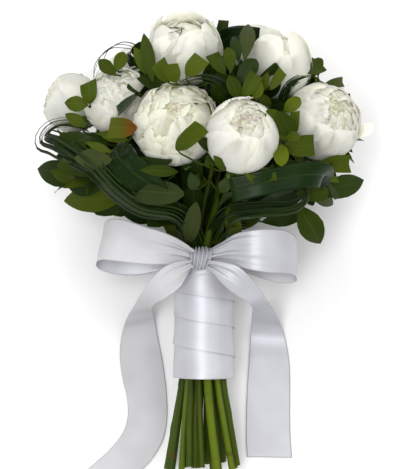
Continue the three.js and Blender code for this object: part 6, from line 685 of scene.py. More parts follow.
def petal_material(name, white, cream, deep, edge=None):
    m, nt = new_material(name)
    N = Nodes(nt)
    u, v, tone, own = N.data()
    vec = N.combine(N.math("MULTIPLY", u, 26.0), N.math("MULTIPLY", v, 1.6), N.math("MULTIPLY", own, 37.0))
    veins = N.noise(vec, 1.0, 2.0)
    blotch = N.noise(N.coords(), 55.0, 3.0)
    # Creamier and a little darker towards each petal's base and on the inner petals: partly the petals' own colour,
    # partly painted shade deep in the bloom.
    c = N.mix(tone, white, cream)
    c = N.mix(N.math("MULTIPLY", N.math("SUBTRACT", tone, 0.55, clamp=True), 2.2, clamp=True), c, deep)
    shade = N.math("MULTIPLY_ADD", N.math("SUBTRACT", veins, 0.5), 0.07, 0.99)
    shade = N.math("MULTIPLY_ADD", N.math("SUBTRACT", blotch, 0.5), 0.05, shade)
    g = N.node("ShaderNodeCombineColor")
    for i in range(3):
        nt.links.new(shade, g.inputs[i])
    c = N.mix(1.0, c, g.outputs[0], "MULTIPLY")
    if edge is not None:  # a few flecks of colour near the tips of the innermost petals
        fleck = N.math("MULTIPLY", N.math("GREATER_THAN", own, 0.86), N.math("GREATER_THAN", v, 0.93))
        c = N.mix(N.math("MULTIPLY", fleck, N.math("MULTIPLY", N.math("SUBTRACT", blotch, 0.35, clamp=True), 3.0, clamp=True)), c, edge)
    b = N.bump(veins, 0.25, 0.0006)
    N.out(with_glow(N, principled(N, c, 0.62, b, **{"Specular IOR Level": 0.22, "Sheen Weight": 0.04, "Subsurface Weight": 0.55, "Subsurface Radius": (1.0, 0.95, 0.6), "Subsurface Scale": 0.006}), c, 0.36))
    return m


def leaf_material(name, base, light, dark, rough, gloss, vein_and_highlight=(0.35, 0.45, 0.15), bronze=None, stripes=0.0, glow=0.14):
    m, nt = new_material(name)
    N = Nodes(nt)
    u, v, tone, own = N.data()
    vary = N.noise(N.coords(), 28.0, 4.0)
    mid = N.math("ABSOLUTE", N.math("SUBTRACT", u, 0.5))  # 0 at the midrib
    c = N.mix(N.math("MULTIPLY_ADD", own, 0.75, N.math("MULTIPLY_ADD", vary, 0.7, -0.35), clamp=True), dark, light)
    c = N.mix(0.22, c, base)
    # Mixed toward the dark colour by the vertex tone: painted shade, set by each caller, most on leaves deep in the
    # bunch.
    c = N.mix(N.math("MULTIPLY", tone, 0.75), c, dark)
    if bronze is not None:
        c = N.mix(N.math("MULTIPLY", N.math("MULTIPLY_ADD", v, -2.6, N.math("MULTIPLY_ADD", vary, 2.4, 0.35), clamp=True), 0.9), c, bronze)
    # side veins leave the midrib at a slant
    slant = N.math("MULTIPLY_ADD", mid, -11.0, N.math("MULTIPLY", v, 15.0))
    side = N.math("ABSOLUTE", N.math("SUBTRACT", N.math("FRACT", slant), 0.5))
    side = N.math("SUBTRACT", 1.0, N.math("MULTIPLY", side, 9.0, clamp=True), clamp=True)
    rib = N.math("SUBTRACT", 1.0, N.math("MULTIPLY", mid, 22.0, clamp=True), clamp=True)
    lines = N.math("MULTIPLY_ADD", side, 0.09, N.math("MULTIPLY", rib, 0.30))
    if stripes:
        fine = N.noise(N.combine(N.math("MULTIPLY", u, 60.0), N.math("MULTIPLY", v, 0.8), own), 1.0, 2.0)
        lines = N.math("MULTIPLY_ADD", N.math("SUBTRACT", fine, 0.45, clamp=True), stripes, N.math("MULTIPLY", rib, 0.35))
        side = fine
    # Veins and midrib, lighter; on the straps this stands partly for a painted highlight along the fold.
    c = N.mix(lines, c, vein_and_highlight)
    h = N.math("MULTIPLY_ADD", rib, -1.0, N.math("MULTIPLY_ADD", side, -0.35, N.math("MULTIPLY", vary, 0.6)))
    b = N.bump(h, 0.55, 0.0007)
    r = N.math("MULTIPLY_ADD", vary, 0.22, rough - 0.1)
    N.out(with_glow(N, principled(N, c, r, b, **{"Specular IOR Level": gloss, "Coat Weight": 0.0, "Coat Roughness": 0.25}), c, glow))
    return m


def stem_material(name, light, dark, brown, cut):
    m, nt = new_material(name)
    N = Nodes(nt)
    u, v, tone, own = N.data()
    streak = N.noise(N.combine(N.math("MULTIPLY", u, 5.0), N.math("MULTIPLY", v, 6.0), N.math("MULTIPLY", own, 19.0)), 1.0, 4.0)
    spots = N.noise(N.coords(), 190.0, 2.0)
    c = N.mix(N.math("MULTIPLY_ADD", own, 0.9, N.math("MULTIPLY_ADD", streak, 1.1, -0.55), clamp=True), dark, light)
    c = N.mix(N.math("MULTIPLY", N.math("SUBTRACT", spots, 0.66, clamp=True), 5.0, clamp=True), c, brown)
    ring = N.noise(N.combine(0.0, N.math("MULTIPLY", v, 34.0), N.math("MULTIPLY", own, 50.0)), 1.0, 0.0)
    c = N.mix(N.math("MULTIPLY", N.math("SUBTRACT", ring, 0.70, clamp=True), 7.0, clamp=True), c, brown)
    # Darker along the upper part of each stem, above the wrap: painted shade where the stems run in among the leaves.
    c = N.mix(N.math("MULTIPLY", N.math("MULTIPLY", N.math("SUBTRACT", v, 0.57, clamp=True), 13.0, clamp=True), 0.92), c, dark)
    c = N.mix(N.math("GREATER_THAN", tone, 0.75), c, cut)
    b = N.bump(N.math("ADD", streak, N.math("MULTIPLY", spots, 0.5)), 0.4, 0.0008)
    N.out(principled(N, c, 0.48, b, **{"Specular IOR Level": 0.12}))
    return m


def satin_material(name, colour, rough, shine, weave=0.5, metal=0.0):
    m, nt = new_material(name)
    N = Nodes(nt)
    u, v, tone, own = N.data()
    warp = N.noise(N.combine(N.math("MULTIPLY", u, 150.0), N.math("MULTIPLY", v, 9.0), own), 1.0, 2.0)
    # Broad lighter and darker patches over the ribbon are painted sheen; warp is the fine weave.
    painted_sheen = N.math("MULTIPLY_ADD", N.math("SUBTRACT", N.noise(N.coords(), 22.0, 2.0), 0.5), 2.6, 0.5, clamp=True)
    c = N.mix(N.math("MULTIPLY_ADD", N.math("SUBTRACT", warp, 0.5), 0.3, painted_sheen, clamp=True), tuple(x * 0.84 for x in colour), colour)
    # darker along both edges of the ribbon: a painted shadow line at the edges where one layer lies over another
    edge = N.math("ABSOLUTE", N.math("SUBTRACT", u, 0.5))
    c = N.mix(N.math("MULTIPLY", N.math("SUBTRACT", edge, 0.472, clamp=True), 40.0, clamp=True), c, tuple(x * 0.74 for x in colour))
    b = N.bump(warp, 0.05 * weave, 0.0004)
    N.out(principled(N, c, rough, b, **{"Specular IOR Level": shine, "Metallic": metal, "Sheen Weight": 0.08, "Sheen Roughness": 0.4}))
    return m


WHITE = petal_material("petal_outer", (0.955, 0.95, 0.86), (0.94, 0.945, 0.70), (0.90, 0.92, 0.54))
CREAM = petal_material("petal_inner", (0.955, 0.95, 0.82), (0.945, 0.94, 0.66), (0.92, 0.91, 0.52), (0.72, 0.20, 0.40))
TAN = petal_material("petal_core", (0.95, 0.92, 0.84), (0.92, 0.86, 0.64), (0.86, 0.74, 0.44), (0.60, 0.36, 0.62))
SEPAL = leaf_material("sepal", (0.12, 0.22, 0.03), (0.2, 0.32, 0.05), (0.05, 0.10, 0.015), 0.5, 0.4)
LEAF = {
    "M": leaf_material("leaf_mid", (0.0416, 0.0656, 0.0024), (0.0784, 0.108, 0.004), (0.0144, 0.0272, 0.0016), 0.46, 0.08, (0.104, 0.136, 0.016)),
    "L": leaf_material("leaf_light", (0.068, 0.1, 0.0032), (0.12, 0.156, 0.0064), (0.0288, 0.0496, 0.0024), 0.46, 0.09, (0.152, 0.192, 0.028)),
    "D": leaf_material("leaf_dark", (0.018, 0.040, 0.002), (0.040, 0.072, 0.003), (0.006, 0.016, 0.001), 0.38, 0.13, (0.06, 0.10, 0.015)),
    "U": leaf_material("leaf_under", (0.0464, 0.0624, 0.0144), (0.076, 0.0976, 0.024), (0.0224, 0.0336, 0.008), 0.55, 0.08, (0.088, 0.112, 0.036)),
    "R": leaf_material("leaf_bronze", (0.068, 0.08, 0.0024), (0.104, 0.12, 0.0048), (0.032, 0.04, 0.0016), 0.42, 0.10, (0.12, 0.12, 0.016), bronze=(0.136, 0.036, 0.0024)),
}
# The straps' pale midrib and stripes are partly their veins and partly a painted highlight along the fold.
STRAP = leaf_material("strap_leaf", (0.0064, 0.0192, 0.0024), (0.0128, 0.0352, 0.004), (0.0024, 0.008, 0.0008), 0.22, 0.10, (0.04, 0.08, 0.02), stripes=0.26, glow=0.04)
STRAP_UNDER = leaf_material("strap_leaf_under", (0.020, 0.040, 0.008), (0.035, 0.062, 0.014), (0.010, 0.022, 0.005), 0.42, 0.12, (0.07, 0.11, 0.035), stripes=0.35, glow=0.04)
GRASS = leaf_material("bear_grass", (0.0096, 0.0256, 0.0032), (0.0256, 0.0512, 0.0064), (0.0032, 0.0096, 0.0016), 0.30, 0.10, (0.064, 0.096, 0.028), stripes=0.5, glow=0.04)
STEM = stem_material("peony_stem", (0.150, 0.215, 0.003), (0.028, 0.050, 0.002), (0.07, 0.035, 0.006), (0.36, 0.40, 0.16))
TWIG = stem_material("sprig_stem", (0.100, 0.150, 0.004), (0.022, 0.038, 0.002), (0.07, 0.035, 0.006), (0.34, 0.38, 0.16))
SATIN = satin_material("satin_face", (0.555, 0.555, 0.600), 0.47, 0.40, metal=0.28)
SATIN_BACK = satin_material("satin_back", (0.60, 0.60, 0.62), 0.7, 0.15)
TAPE = satin_material("binding_tape", (0.06, 0.13, 0.04), 0.7, 0.3, 2.0)


# ------------------------------------------------------------------ blooms
def bloom_axes(b):
    y = unit(BLOOM_LOOK[b["name"]].get("d", b["d"]))
    ref = np.array([0.0, 0.0, 1.0]) if abs(y[2]) < 0.75 else np.array([0.0, 1.0, 0.0])
    x = unit(np.cross(ref, y))
    z = np.cross(x, y)
    return np.stack([x, y, z])  # rows


OUTLINE_V = [0, 0.12, 0.3, 0.5, 0.7, 0.85, 0.95, 1.0]
OUTLINE_W = [0.30, 0.45, 0.72, 0.93, 1.0, 0.97, 0.88, 0.74]


def wobble(rng, k=3):
    """A smooth random curve of period 2 over -1..1."""
    a = rng.normal(0, 1, k) / np.arange(1, k + 1)
    p = rng.uniform(0, 6.28, k)
    return lambda x: sum(a[i] * np.sin((i + 1) * 2.1 * x + p[i]) for i in range(k)) / 1.4


def jag_of(rng, teeth):
    """A ragged edge: sharp little teeth over -1..1."""
    xs = np.sort(np.concatenate([[-1, 1], rng.uniform(-1, 1, teeth)]))
    ys = rng.uniform(-1, 0.2, len(xs))
    ys[::2] = rng.uniform(-0.1, 0.6, len(ys[::2]))
    return lambda x: np.interp(x, xs, ys)


def shell_petal(rng, a0, phi0, phi1, R, H, tilt=0.02, cup=0.0, curl=0.0, ruffle=0.01, jag=0.0, nu=13, nv=15, R0=None, teeth=7, tip=None, bulge=0.0, notch=0.0):
    """A petal that wraps a ball: from polar angle phi0 near the base (degrees from the axis) up to phi1. Lengths are in bloom radii."""
    U = np.linspace(-1, 1, nu)
    V = np.linspace(0, 1, nv)
    w1, w2, w3 = wobble(rng), wobble(rng), wobble(rng)
    jg = jag_of(rng, teeth)
    P = np.zeros((nu, nv, 3))
    tip_w = OUTLINE_W[-1] if tip is None else tip
    for i, u in enumerate(U):
        for j, v in enumerate(V):
            end = 1 - 0.11 * abs(u) ** 2.6 + jag * jg(u) * 0.12 + 0.012 * w3(u * 1.5) - notch * math.exp(-((u / 0.13) ** 2))
            ve = v * (1 + (end - 1) * smooth(v, 0.3, 1.0))
            phi = math.radians(phi0 + (phi1 - phi0) * ve)
            h = H * np.interp(v, OUTLINE_V, OUTLINE_W[:-1] + [tip_w])
            rr = R + (0 if R0 is None else (R0 - R) * (1 - smooth(v, 0.0, 0.5)))
            rr += tilt * u * (0.3 + 0.7 * v) + cup * u * u * (0.3 + v) + curl * max(v - 0.55, 0) ** 2 / 0.2 + bulge * math.sin(math.pi * v)
            rr += ruffle * (w1(u * 1.2 + v * 0.6) * (0.35 + v) + 1.3 * w2(u * 2.6) * smooth(v, 0.72, 1.0))
            be = u * h / max(rr, 0.2)
            c = np.array([math.sin(phi) * math.cos(a0), math.cos(phi), math.sin(phi) * math.sin(a0)])
            s = np.array([-math.sin(a0), 0, math.cos(a0)])
            P[i, j] = (c * math.cos(be) + s * math.sin(be)) * rr
    return P


def ring_petal(rng, a0, base, ctrl, tip, H, jag=0.5, ruffle=0.03, nu=11, nv=10, cup=0.25, teeth=7, twist=0.0):
    """A petal that stands in the crown. base, ctrl and tip are (distance from the axis, height) of its middle line."""
    U = np.linspace(-1, 1, nu)
    V = np.linspace(0, 1, nv)
    w1, w2 = wobble(rng), wobble(rng)
    jg = jag_of(rng, teeth)
    b, c, t = (np.array(x, float) for x in (base, ctrl, tip))
    P = np.zeros((nu, nv, 3))
    for i, u in enumerate(U):
        for j, v in enumerate(V):
            end = 1 - 0.16 * abs(u) ** 2.4 + jag * jg(u) * 0.16
            ve = v * (1 + (end - 1) * smooth(v, 0.25, 1.0))
            q = b * (1 - ve) ** 2 + c * 2 * ve * (1 - ve) + t * ve * ve
            d = unit(2 * (1 - ve) * (c - b) + 2 * ve * (t - c))
            nrm = np.array([d[1], -d[0]])  # outwards
            q = q + nrm * (ruffle * (w1(u * 1.6 + v) * (0.3 + v) + 1.2 * w2(u * 3.1) * v * v) - cup * H * u * u * (0.4 + 0.6 * v))
            h = H * np.interp(v, [0, 0.3, 0.6, 0.85, 1], [0.42, 0.7, 0.95, 1.0, 0.86]) * u
            ca, sa = math.cos(a0), math.sin(a0)
            # across the petal runs a straight tangent, bent a little round the axis
            bend = h / max(abs(q[0]) + 0.35, 0.35)
            x = q[0] * math.cos(bend) - 0.0
            zt = h + 0.0
            P[i, j] = [x * ca - (zt + twist * v * 0.1) * sa, q[1], x * sa + (zt + twist * v * 0.1) * ca]
    return P


def place(P, b, axes):
    P = P.copy()
    P[..., 1] *= b["st"]
    return (P * b["r"]) @ axes + np.array(b["c"])


def tone_grid(nu, nv, low, high, power=1.0):
    V = np.linspace(0, 1, nv) ** power
    return np.repeat((low + (high - low) * V)[None, :], nu, 0)


def make_bloom(b):
    name = b["name"]
    axes = bloom_axes(b)
    rng = rng_of(name, "v3")
    spec = BLOOM_LOOK[name]
    guard, inner = Piece(), Piece()
    own = 0
    for layer in spec["layers"]:
        target = guard if layer.get("guard") else inner
        n = layer["n"]
        for j in range(n):
            a = math.radians(layer.get("a0", 0)) + 2 * math.pi * j / n + rng.normal(0, layer.get("ja", 0.08))
            phi1 = layer["phi"] + rng.normal(0, layer.get("jp", 3.0)) + layer.get("lean", 0) * math.cos(a - math.radians(layer.get("lean_at", 0)))
            P = shell_petal(
                rng, a, layer.get("phi0", 172), phi1, layer["R"] * (1 + rng.normal(0, 0.006)), layer["H"] * (1 + rng.normal(0, 0.05)),
                tilt=layer.get("tilt", 0.03), cup=layer.get("cup", 0.0), curl=layer.get("curl", 0.0) + rng.normal(0, 0.01),
                ruffle=layer.get("ruffle", 0.012), jag=layer.get("jag", 0.0), R0=layer.get("R0"), teeth=layer.get("teeth", 7),
                nu=layer.get("nu", 15), nv=layer.get("nv", 17), bulge=layer.get("bulge", 0.0), notch=layer.get("notch", 0.0) if rng.random() < 0.5 else 0.0, tip=layer.get("tip"))
            t0, t1 = layer.get("tone", (0.5, 0.0))
            own = rng.random() * 0.8
            target.grid(place(P, b, axes), layer.get("mat", 0), tone_grid(*P.shape[:2], t0, t1, 0.7), own)
    for extra in spec.get("extra", []):
        P = shell_petal(rng, math.radians(extra["a"]), extra.get("phi0", 165), extra["phi"], extra["R"], extra["H"], tilt=extra.get("tilt", 0.0),
                        cup=extra.get("cup", 0), curl=extra.get("curl", 0), ruffle=extra.get("ruffle", 0.015), jag=extra.get("jag", 0.0), R0=extra.get("R0"), nu=15, nv=19, notch=extra.get("notch", 0), tip=extra.get("tip"))
        (guard if extra.get("guard", True) else inner).grid(place(P, b, axes), 0, tone_grid(*P.shape[:2], 0.3, 0.0), rng.random() * 0.8)
    for ring in spec.get("rings", []):
        n = ring["n"]
        off = rng.uniform(0, 6.28)
        for j in range(n):
            a = off + 2 * math.pi * j / n + rng.normal(0, 0.16)
            rt, ht = ring["tip"]
            rt *= 1 + rng.normal(0, ring.get("jr", 0.08))
            ht += rng.normal(0, ring.get("jh", 0.04))
            rb, hb = ring.get("base", (rt * 0.45, -0.25))
            k = ring.get("out", 0.10)
            P = ring_petal(rng, a, (rb, hb), ((rt + rb) / 2 + k, (ht + hb) / 2 + 0.08), (rt, ht), ring["H"] * (1 + rng.normal(0, 0.12)), jag=ring.get("jag", 0.6),
                           ruffle=ring.get("ruffle", 0.035), cup=ring.get("cup", 0.3), twist=rng.normal(0, 1), teeth=ring.get("teeth", 7))
            t0, t1 = ring.get("tone", (1.0, 0.15))
            own = 0.87 + rng.random() * 0.13 if ring.get("fleck") and rng.random() < 0.35 else rng.random() * 0.85
            inner.grid(place(P, b, axes), ring.get("mat", 0), tone_grid(*P.shape[:2], t0, t1 + rng.normal(0, 0.06), 0.8), own)
    for o, piece, cad, slot in (("petals", guard, "_guard_petals", "guard_petals"), ("heart", inner, "_inner_petals", "inner_petals")):
        ob = piece.object(name + "." + o, [WHITE, CREAM, TAN], [name + cad], slot)


def cup(o=0.2, a0=0, jag=0.0, ruffle=0.010, lean=0.0, lean_at=270, jp=3.0, curl=0.0, tilt=0.022):
    """Cup-shaped bloom: close layers of broad petals that meet over the top."""
    base = dict(lean=lean, lean_at=lean_at, jp=jp)
    return [
        dict(n=5, R=1.0, H=0.84, phi=36 + 34 * o, guard=1, tilt=tilt, curl=curl, ruffle=ruffle, a0=a0, tone=(0.5, 0.0), jag=jag, notch=0.06, **base),
        dict(n=5, R=0.972, H=0.78, phi=31 + 26 * o, guard=1, tilt=tilt, curl=curl * 0.6, ruffle=ruffle, a0=a0 + 36, tone=(0.5, 0.02), jag=jag, notch=0.06, **base),
        dict(n=5, R=0.944, H=0.70, phi=27 + 18 * o, phi0=150, tilt=tilt, ruffle=ruffle * 1.2, a0=a0 + 14, tone=(0.5, 0.04), jag=jag + 0.1, **base),
        dict(n=6, R=0.915, H=0.56, phi=22 + 12 * o, phi0=130, tilt=0.03, ruffle=ruffle * 1.5, a0=a0 + 50, tone=(0.55, 0.06), jag=jag + 0.25, jp=jp),
        dict(n=6, R=0.885, H=0.46, phi=16 + 6 * o, phi0=110, tilt=0.035, ruffle=ruffle * 1.8, a0=a0 + 20, tone=(0.6, 0.08), jag=jag + 0.4, mat=1, jp=jp),
        dict(n=6, R=0.855, H=0.36, phi=9 + 3 * o, phi0=90, tilt=0.04, ruffle=ruffle * 2.2, a0=a0 + 47, tone=(0.65, 0.10), jag=jag + 0.5, mat=1, jp=jp),
        dict(n=4, R=0.80, H=0.44, phi=-18, phi0=62, tilt=0.04, ruffle=0.035, a0=a0 + 12, tone=(0.45, 0.25), jag=0.7, mat=1, jp=4),
    ]


def heart_rings(top=0.86, mat=1, fleck=False):
    """Crumpled petals packed into the middle, from a low plug up to the tips."""
    return [
        dict(n=9, tip=(0.44, top - 0.10), base=(0.30, 0.30), H=0.24, tone=(0.5, 0.10), mat=mat, jag=0.7, out=0.05),
        dict(n=8, tip=(0.33, top - 0.04), base=(0.20, 0.30), H=0.21, tone=(0.55, 0.12), mat=mat, jag=0.8, out=0.04, ruffle=0.05),
        dict(n=7, tip=(0.22, top), base=(0.12, 0.32), H=0.18, tone=(0.6, 0.15), mat=mat, jag=0.8, out=0.04, ruffle=0.05, fleck=fleck),
        dict(n=5, tip=(0.10, top + 0.02), base=(0.05, 0.34), H=0.16, tone=(0.65, 0.2), mat=mat, jag=0.8, out=0.03, ruffle=0.05, fleck=fleck),
        dict(n=4, tip=(-0.04, top - 0.02), base=(0.04, 0.36), H=0.18, tone=(0.65, 0.25), mat=mat, jag=0.7, out=0.02, ruffle=0.05, fleck=fleck),
    ]


def ruffled(rows, n0=9, R0=1.0, R1=0.88, H0=0.50, H1=0.32, phi0=72, phi1=6, jag=0.8, mat=1, ruffle=0.022, n1=5):
    """Rows of ragged petals over the crown, outermost first."""
    out = []
    for k in range(rows):
        t = k / (rows - 1)
        out.append(dict(n=round(n0 + (n1 - n0) * t), R=R0 + (R1 - R0) * t, H=H0 + (H1 - H0) * t, phi=phi0 + (phi1 - phi0) * t, phi0=min(165, phi0 + (phi1 - phi0) * t + 75),
                        R0=(R0 + (R1 - R0) * t) * 0.93, tilt=0.035, curl=0.025, ruffle=ruffle, a0=k * 31, ja=0.25, jp=8.0, tone=(0.55, 0.04 + 0.06 * t), jag=jag, mat=mat, nu=13, nv=11, teeth=8))
    out.append(dict(n=4, R=R1 - 0.04, H=0.44, phi=-18, phi0=62, tilt=0.03, ruffle=0.03, a0=12, tone=(0.45, 0.2), jag=0.7, mat=mat, jp=4, nu=13, nv=11))
    return out


BLOOM_LOOK = {
    "peony_01": dict(
        layers=[
            dict(n=5, R=1.0, H=0.80, phi=45, guard=1, tilt=0.02, curl=0.04, ruffle=0.016, a0=235, tone=(0.5, 0.0), notch=0.07, tip=0.64, jp=4, lean=9, lean_at=90),
            dict(n=5, R=0.97, H=0.76, phi=41, guard=1, tilt=0.025, curl=0.05, ruffle=0.018, a0=272, tone=(0.5, 0.0), notch=0.05, tip=0.66, jp=4, lean=10, lean_at=90),
            dict(n=5, R=0.94, H=0.72, phi=36, phi0=140, tilt=0.03, curl=0.08, ruffle=0.018, a0=250, tone=(0.5, 0.02), tip=0.68, jp=5, lean=12, lean_at=90),
            dict(n=4, R=0.90, H=0.70, phi=32, phi0=120, tilt=0.04, curl=0.09, ruffle=0.020, a0=290, tone=(0.5, 0.03), tip=0.68, jp=5, lean=12, lean_at=90),
            dict(n=4, R=0.84, H=0.66, phi=24, phi0=105, tilt=0.03, curl=0.06, ruffle=0.022, a0=248, tone=(0.5, 0.05), jag=0.1, jp=5, lean=8, lean_at=90),
            dict(n=3, R=0.79, H=0.62, phi=8, phi0=90, tilt=0.03, curl=0.02, ruffle=0.022, a0=282, tone=(0.5, 0.08), jag=0.15, mat=1, jp=5),
            dict(n=3, R=0.75, H=0.60, phi=-16, phi0=75, tilt=0.03, ruffle=0.025, a0=12, tone=(0.45, 0.12), jag=0.2, mat=1, jp=4)],
        extra=[dict(a=38, phi=40, R=1.0, H=0.30, curl=0.15, phi0=120, tip=1.0), dict(a=82, phi=43, R=0.99, H=0.40, curl=0.13, phi0=120), dict(a=116, phi=43, R=0.98, H=0.36, curl=0.14, phi0=120),
               dict(a=172, phi=46, R=1.02, H=0.34, curl=0.09, phi0=120)]),
    "peony_02": dict(layers=cup(0.15, 40, curl=0.03), rings=heart_rings()),
    "peony_03": dict(layers=cup(0.14, 246, 0.0, 0.014, lean=-3, jp=5, curl=0.05), rings=heart_rings(0.82),
                     extra=[dict(a=312, phi=15, R=1.03, H=0.74, curl=0.10, phi0=150, ruffle=0.012), dict(a=206, phi=13, R=1.045, H=0.66, curl=0.16, phi0=150, ruffle=0.012, tip=0.85),
                            dict(a=162, phi=30, R=1.07, H=0.46, curl=0.10, phi0=140)]),
    "peony_04": dict(layers=cup(0.22, 10, 0.12, 0.020, jp=5), rings=heart_rings(0.87), extra=[dict(a=20, phi=62, R=1.03, H=0.22, curl=0.30, phi0=110, jag=0.2)]),
    "peony_05": dict(layers=cup(0.0, 54, 0.0, 0.010, lean=4, lean_at=90, tilt=0.016), rings=heart_rings(0.87, 2, True),
                     extra=[dict(a=262, phi=33, R=1.07, H=0.42, curl=0.05, phi0=120, ruffle=0.02), dict(a=222, phi=36, R=1.04, H=0.30, curl=0.10, phi0=120, jag=0.2)]),
    "peony_06": dict(
        d=(-0.10, 0.36, 0.93),
        layers=[
            dict(n=5, R=1.0, H=0.74, phi=76, guard=1, tilt=0.03, curl=0.03, ruffle=0.016, a0=30, tone=(0.5, 0.02), notch=0.05, lean=-14, lean_at=45),
            dict(n=5, R=0.98, H=0.66, phi=70, guard=1, tilt=0.03, curl=0.02, ruffle=0.02, a0=60, tone=(0.5, 0.05), jag=0.2, lean=-14, lean_at=45),
        ] + ruffled(6, 9, 0.975, 0.90, 0.50, 0.30, 66, 8, jag=0.8, mat=1),
        rings=heart_rings(0.90, 1, True)),
    "peony_07": dict(
        layers=[
            dict(n=5, R=0.99, H=0.76, phi=60, guard=1, tilt=0.03, curl=0.04, ruffle=0.016, a0=30, tone=(0.5, 0.0), jag=0.15, lean=-16, lean_at=330),
            dict(n=5, R=0.965, H=0.70, phi=50, guard=1, tilt=0.03, curl=0.02, ruffle=0.02, a0=66, tone=(0.5, 0.03), jag=0.3, lean=-12, lean_at=330),
        ] + ruffled(5, 8, 0.95, 0.87, 0.50, 0.30, 50, 8, jag=0.8, mat=0),
        rings=heart_rings(0.87)),
    "peony_08": dict(layers=cup(0.10, 5), rings=heart_rings()),
    "peony_09": dict(layers=cup(0.25, 25, 0.05, 0.016, curl=0.05), rings=heart_rings()),
    "peony_10": dict(layers=cup(0.30, 55, 0.05, 0.016, curl=0.04), rings=heart_rings()),
    "peony_11": dict(layers=cup(0.20, 15), rings=heart_rings()),
}


def stem_path(path, n=46):
    return spline(np.array(path), n)


def make_peony_stem(s, b):
    rng = rng_of(s["name"], "stem")
    p = Piece()
    own = rng.random()
    path = stem_path(s["path"])
    L = np.linspace(0, 1, len(path))
    r = 3.75 * (1 - 0.12 * L)
    for k in range(3):  # swollen joints
        at = rng.uniform(0.02, 0.8)
        r = r + 0.55 * np.exp(-(((L - at) / 0.008) ** 2))
    r[0] *= 1.02
    p.tube(path, r, 12, 0, own=own)
    # calyx: a green cup and its sepals
    axes = bloom_axes(b)
    rad = b["r"] / b["r"]
    for j in range(5):
        a = 2 * math.pi * j / 5 + rng.normal(0, 0.2)
        P = shell_petal(rng, a, 178, 128 + rng.normal(0, 6), 1.02, 0.26, tilt=0.02, curl=0.06, ruffle=0.01, nu=7, nv=9, tip=0.3)
        p.grid(place(P, b, axes), 1, 0.2, rng.random())
    for j in range(3):
        a = 2 * math.pi * j / 3 + rng.uniform(0, 6)
        P = shell_petal(rng, a, 176, 104 + rng.normal(0, 8), 1.06, 0.11, tilt=0.0, curl=0.12, ruffle=0.01, nu=5, nv=9, tip=0.15)
        p.grid(place(P, b, axes), 1, 0.1, rng.random())
    p.object(s["name"] + ".stalk", [STEM, SEPAL], [s["name"] + "_stem"], "peony_stems")


# ------------------------------------------------------------------ leaves
LEAF_OUT = {
    "p": ([0, 0.1, 0.3, 0.5, 0.7, 0.85, 0.95, 1.0], [0.10, 0.42, 0.90, 1.0, 0.82, 0.50, 0.20, 0.02]),
    "r": ([0, 0.1, 0.3, 0.5, 0.7, 0.85, 0.95, 1.0], [0.10, 0.38, 0.82, 1.0, 0.98, 0.78, 0.48, 0.14]),
    "c": ([0, 0.1, 0.3, 0.5, 0.7, 0.85, 0.95, 1.0], [0.10, 0.40, 0.80, 0.96, 1.0, 1.0, 1.0, 0.99]),
}


def add_leaf(p, l, rng, mat, dark=0.0, nu=9, nv=13):
    b, m, t = (np.array(l[k], float) for k in ("b", "m", "t"))
    w = l["w"] * 1.08
    n0 = unit(np.array(l["n"], float))
    length = np.linalg.norm(t - b)
    ctrl = 2 * m - (b + t) / 2
    fold = rng.uniform(0.10, 0.30)
    wave = rng.uniform(0.01, 0.05) * w
    ph = rng.uniform(0, 6.28)
    roll = rng.normal(0, 0.16)
    droop = rng.uniform(-0.02, 0.08) * length
    skew = rng.normal(0, 0.10) if l["tip"] == "c" else 0
    xs, ys = LEAF_OUT[l["tip"]]
    P = np.zeros((nu, nv, 3))
    for j, v in enumerate(np.linspace(0, 1, nv)):
        q = b * (1 - v) ** 2 + ctrl * 2 * v * (1 - v) + t * v * v
        d = unit(2 * (1 - v) * (ctrl - b) + 2 * v * (t - ctrl))
        side = unit(np.cross(n0, d))
        nn = np.cross(d, side)
        a = roll * (v - 0.3)
        side, nn = side * math.cos(a) + nn * math.sin(a), nn * math.cos(a) - side * math.sin(a)
        h = w / 2 * np.interp(v, xs, ys)
        q = q - n0 * droop * v ** 3
        for i, u in enumerate(np.linspace(-1, 1, nu)):
            e = d * (skew * u * w * smooth(v, 0.6, 1))
            P[i, j] = q + side * u * h * math.cos(fold) + nn * (abs(u) * h * math.sin(fold) + wave * u * u * math.sin(v * 8 + ph + (1.5 if u > 0 else 0))) + e
    p.grid(P, mat, dark, rng.random())


def make_sprig(k, s):
    rng = rng_of(s["name"], "leaf")
    p = Piece()
    own = rng.random()
    path = stem_path(s["path"])
    L = np.linspace(0, 1, len(path))
    p.tube(path, 2.9 * (1 - 0.35 * L), 10, 0, own=own)
    kinds = ["M", "L", "D", "U", "R"]
    mats = [TWIG] + [LEAF[x] for x in kinds]
    for i, w in enumerate(DATA["whorls"]):
        if w["s"] != k:
            continue
        a, q = np.array(w["a"]), np.array(w["q"])
        mid = (a + q) / 2 + np.array([0, 2.0, 0])
        p.tube(spline([a, mid, q], 9), np.linspace(1.5, 1.0, 9), 7, 0, own=own)
    for l in DATA["leaves"]:
        if l["s"] != k:
            continue
        b = np.array(l["b"])
        a = np.array(DATA["whorls"][l["h"]]["q"]) if l["h"] >= 0 else np.array(l["a"])
        c = (a + b) / 2 + (np.array([0, -1.5, 0]) if l["h"] < 0 else 0)
        p.tube(spline([a, c, b, b + unit(np.array(l["m"]) - b) * 2], 7), np.linspace(1.0, 0.7, 7), 6, 0, own=own)
        # Leaves tucked into the whorls get a little painted shade.
        add_leaf(p, l, rng, 1 + kinds.index(l["k"]), dark=0.0 if l["x"] else 0.15)
    # Leaves deep between the stems, with painted shade set by their depth.
    for l in INNER.get(k, []):
        add_leaf(p, l, rng, 1 + kinds.index(l["k"]), dark=l["dark"], nu=5, nv=7)
    p.object(s["name"] + ".foliage", mats, [s["name"] + "_leaves_and_stem"], "leafy_sprigs")


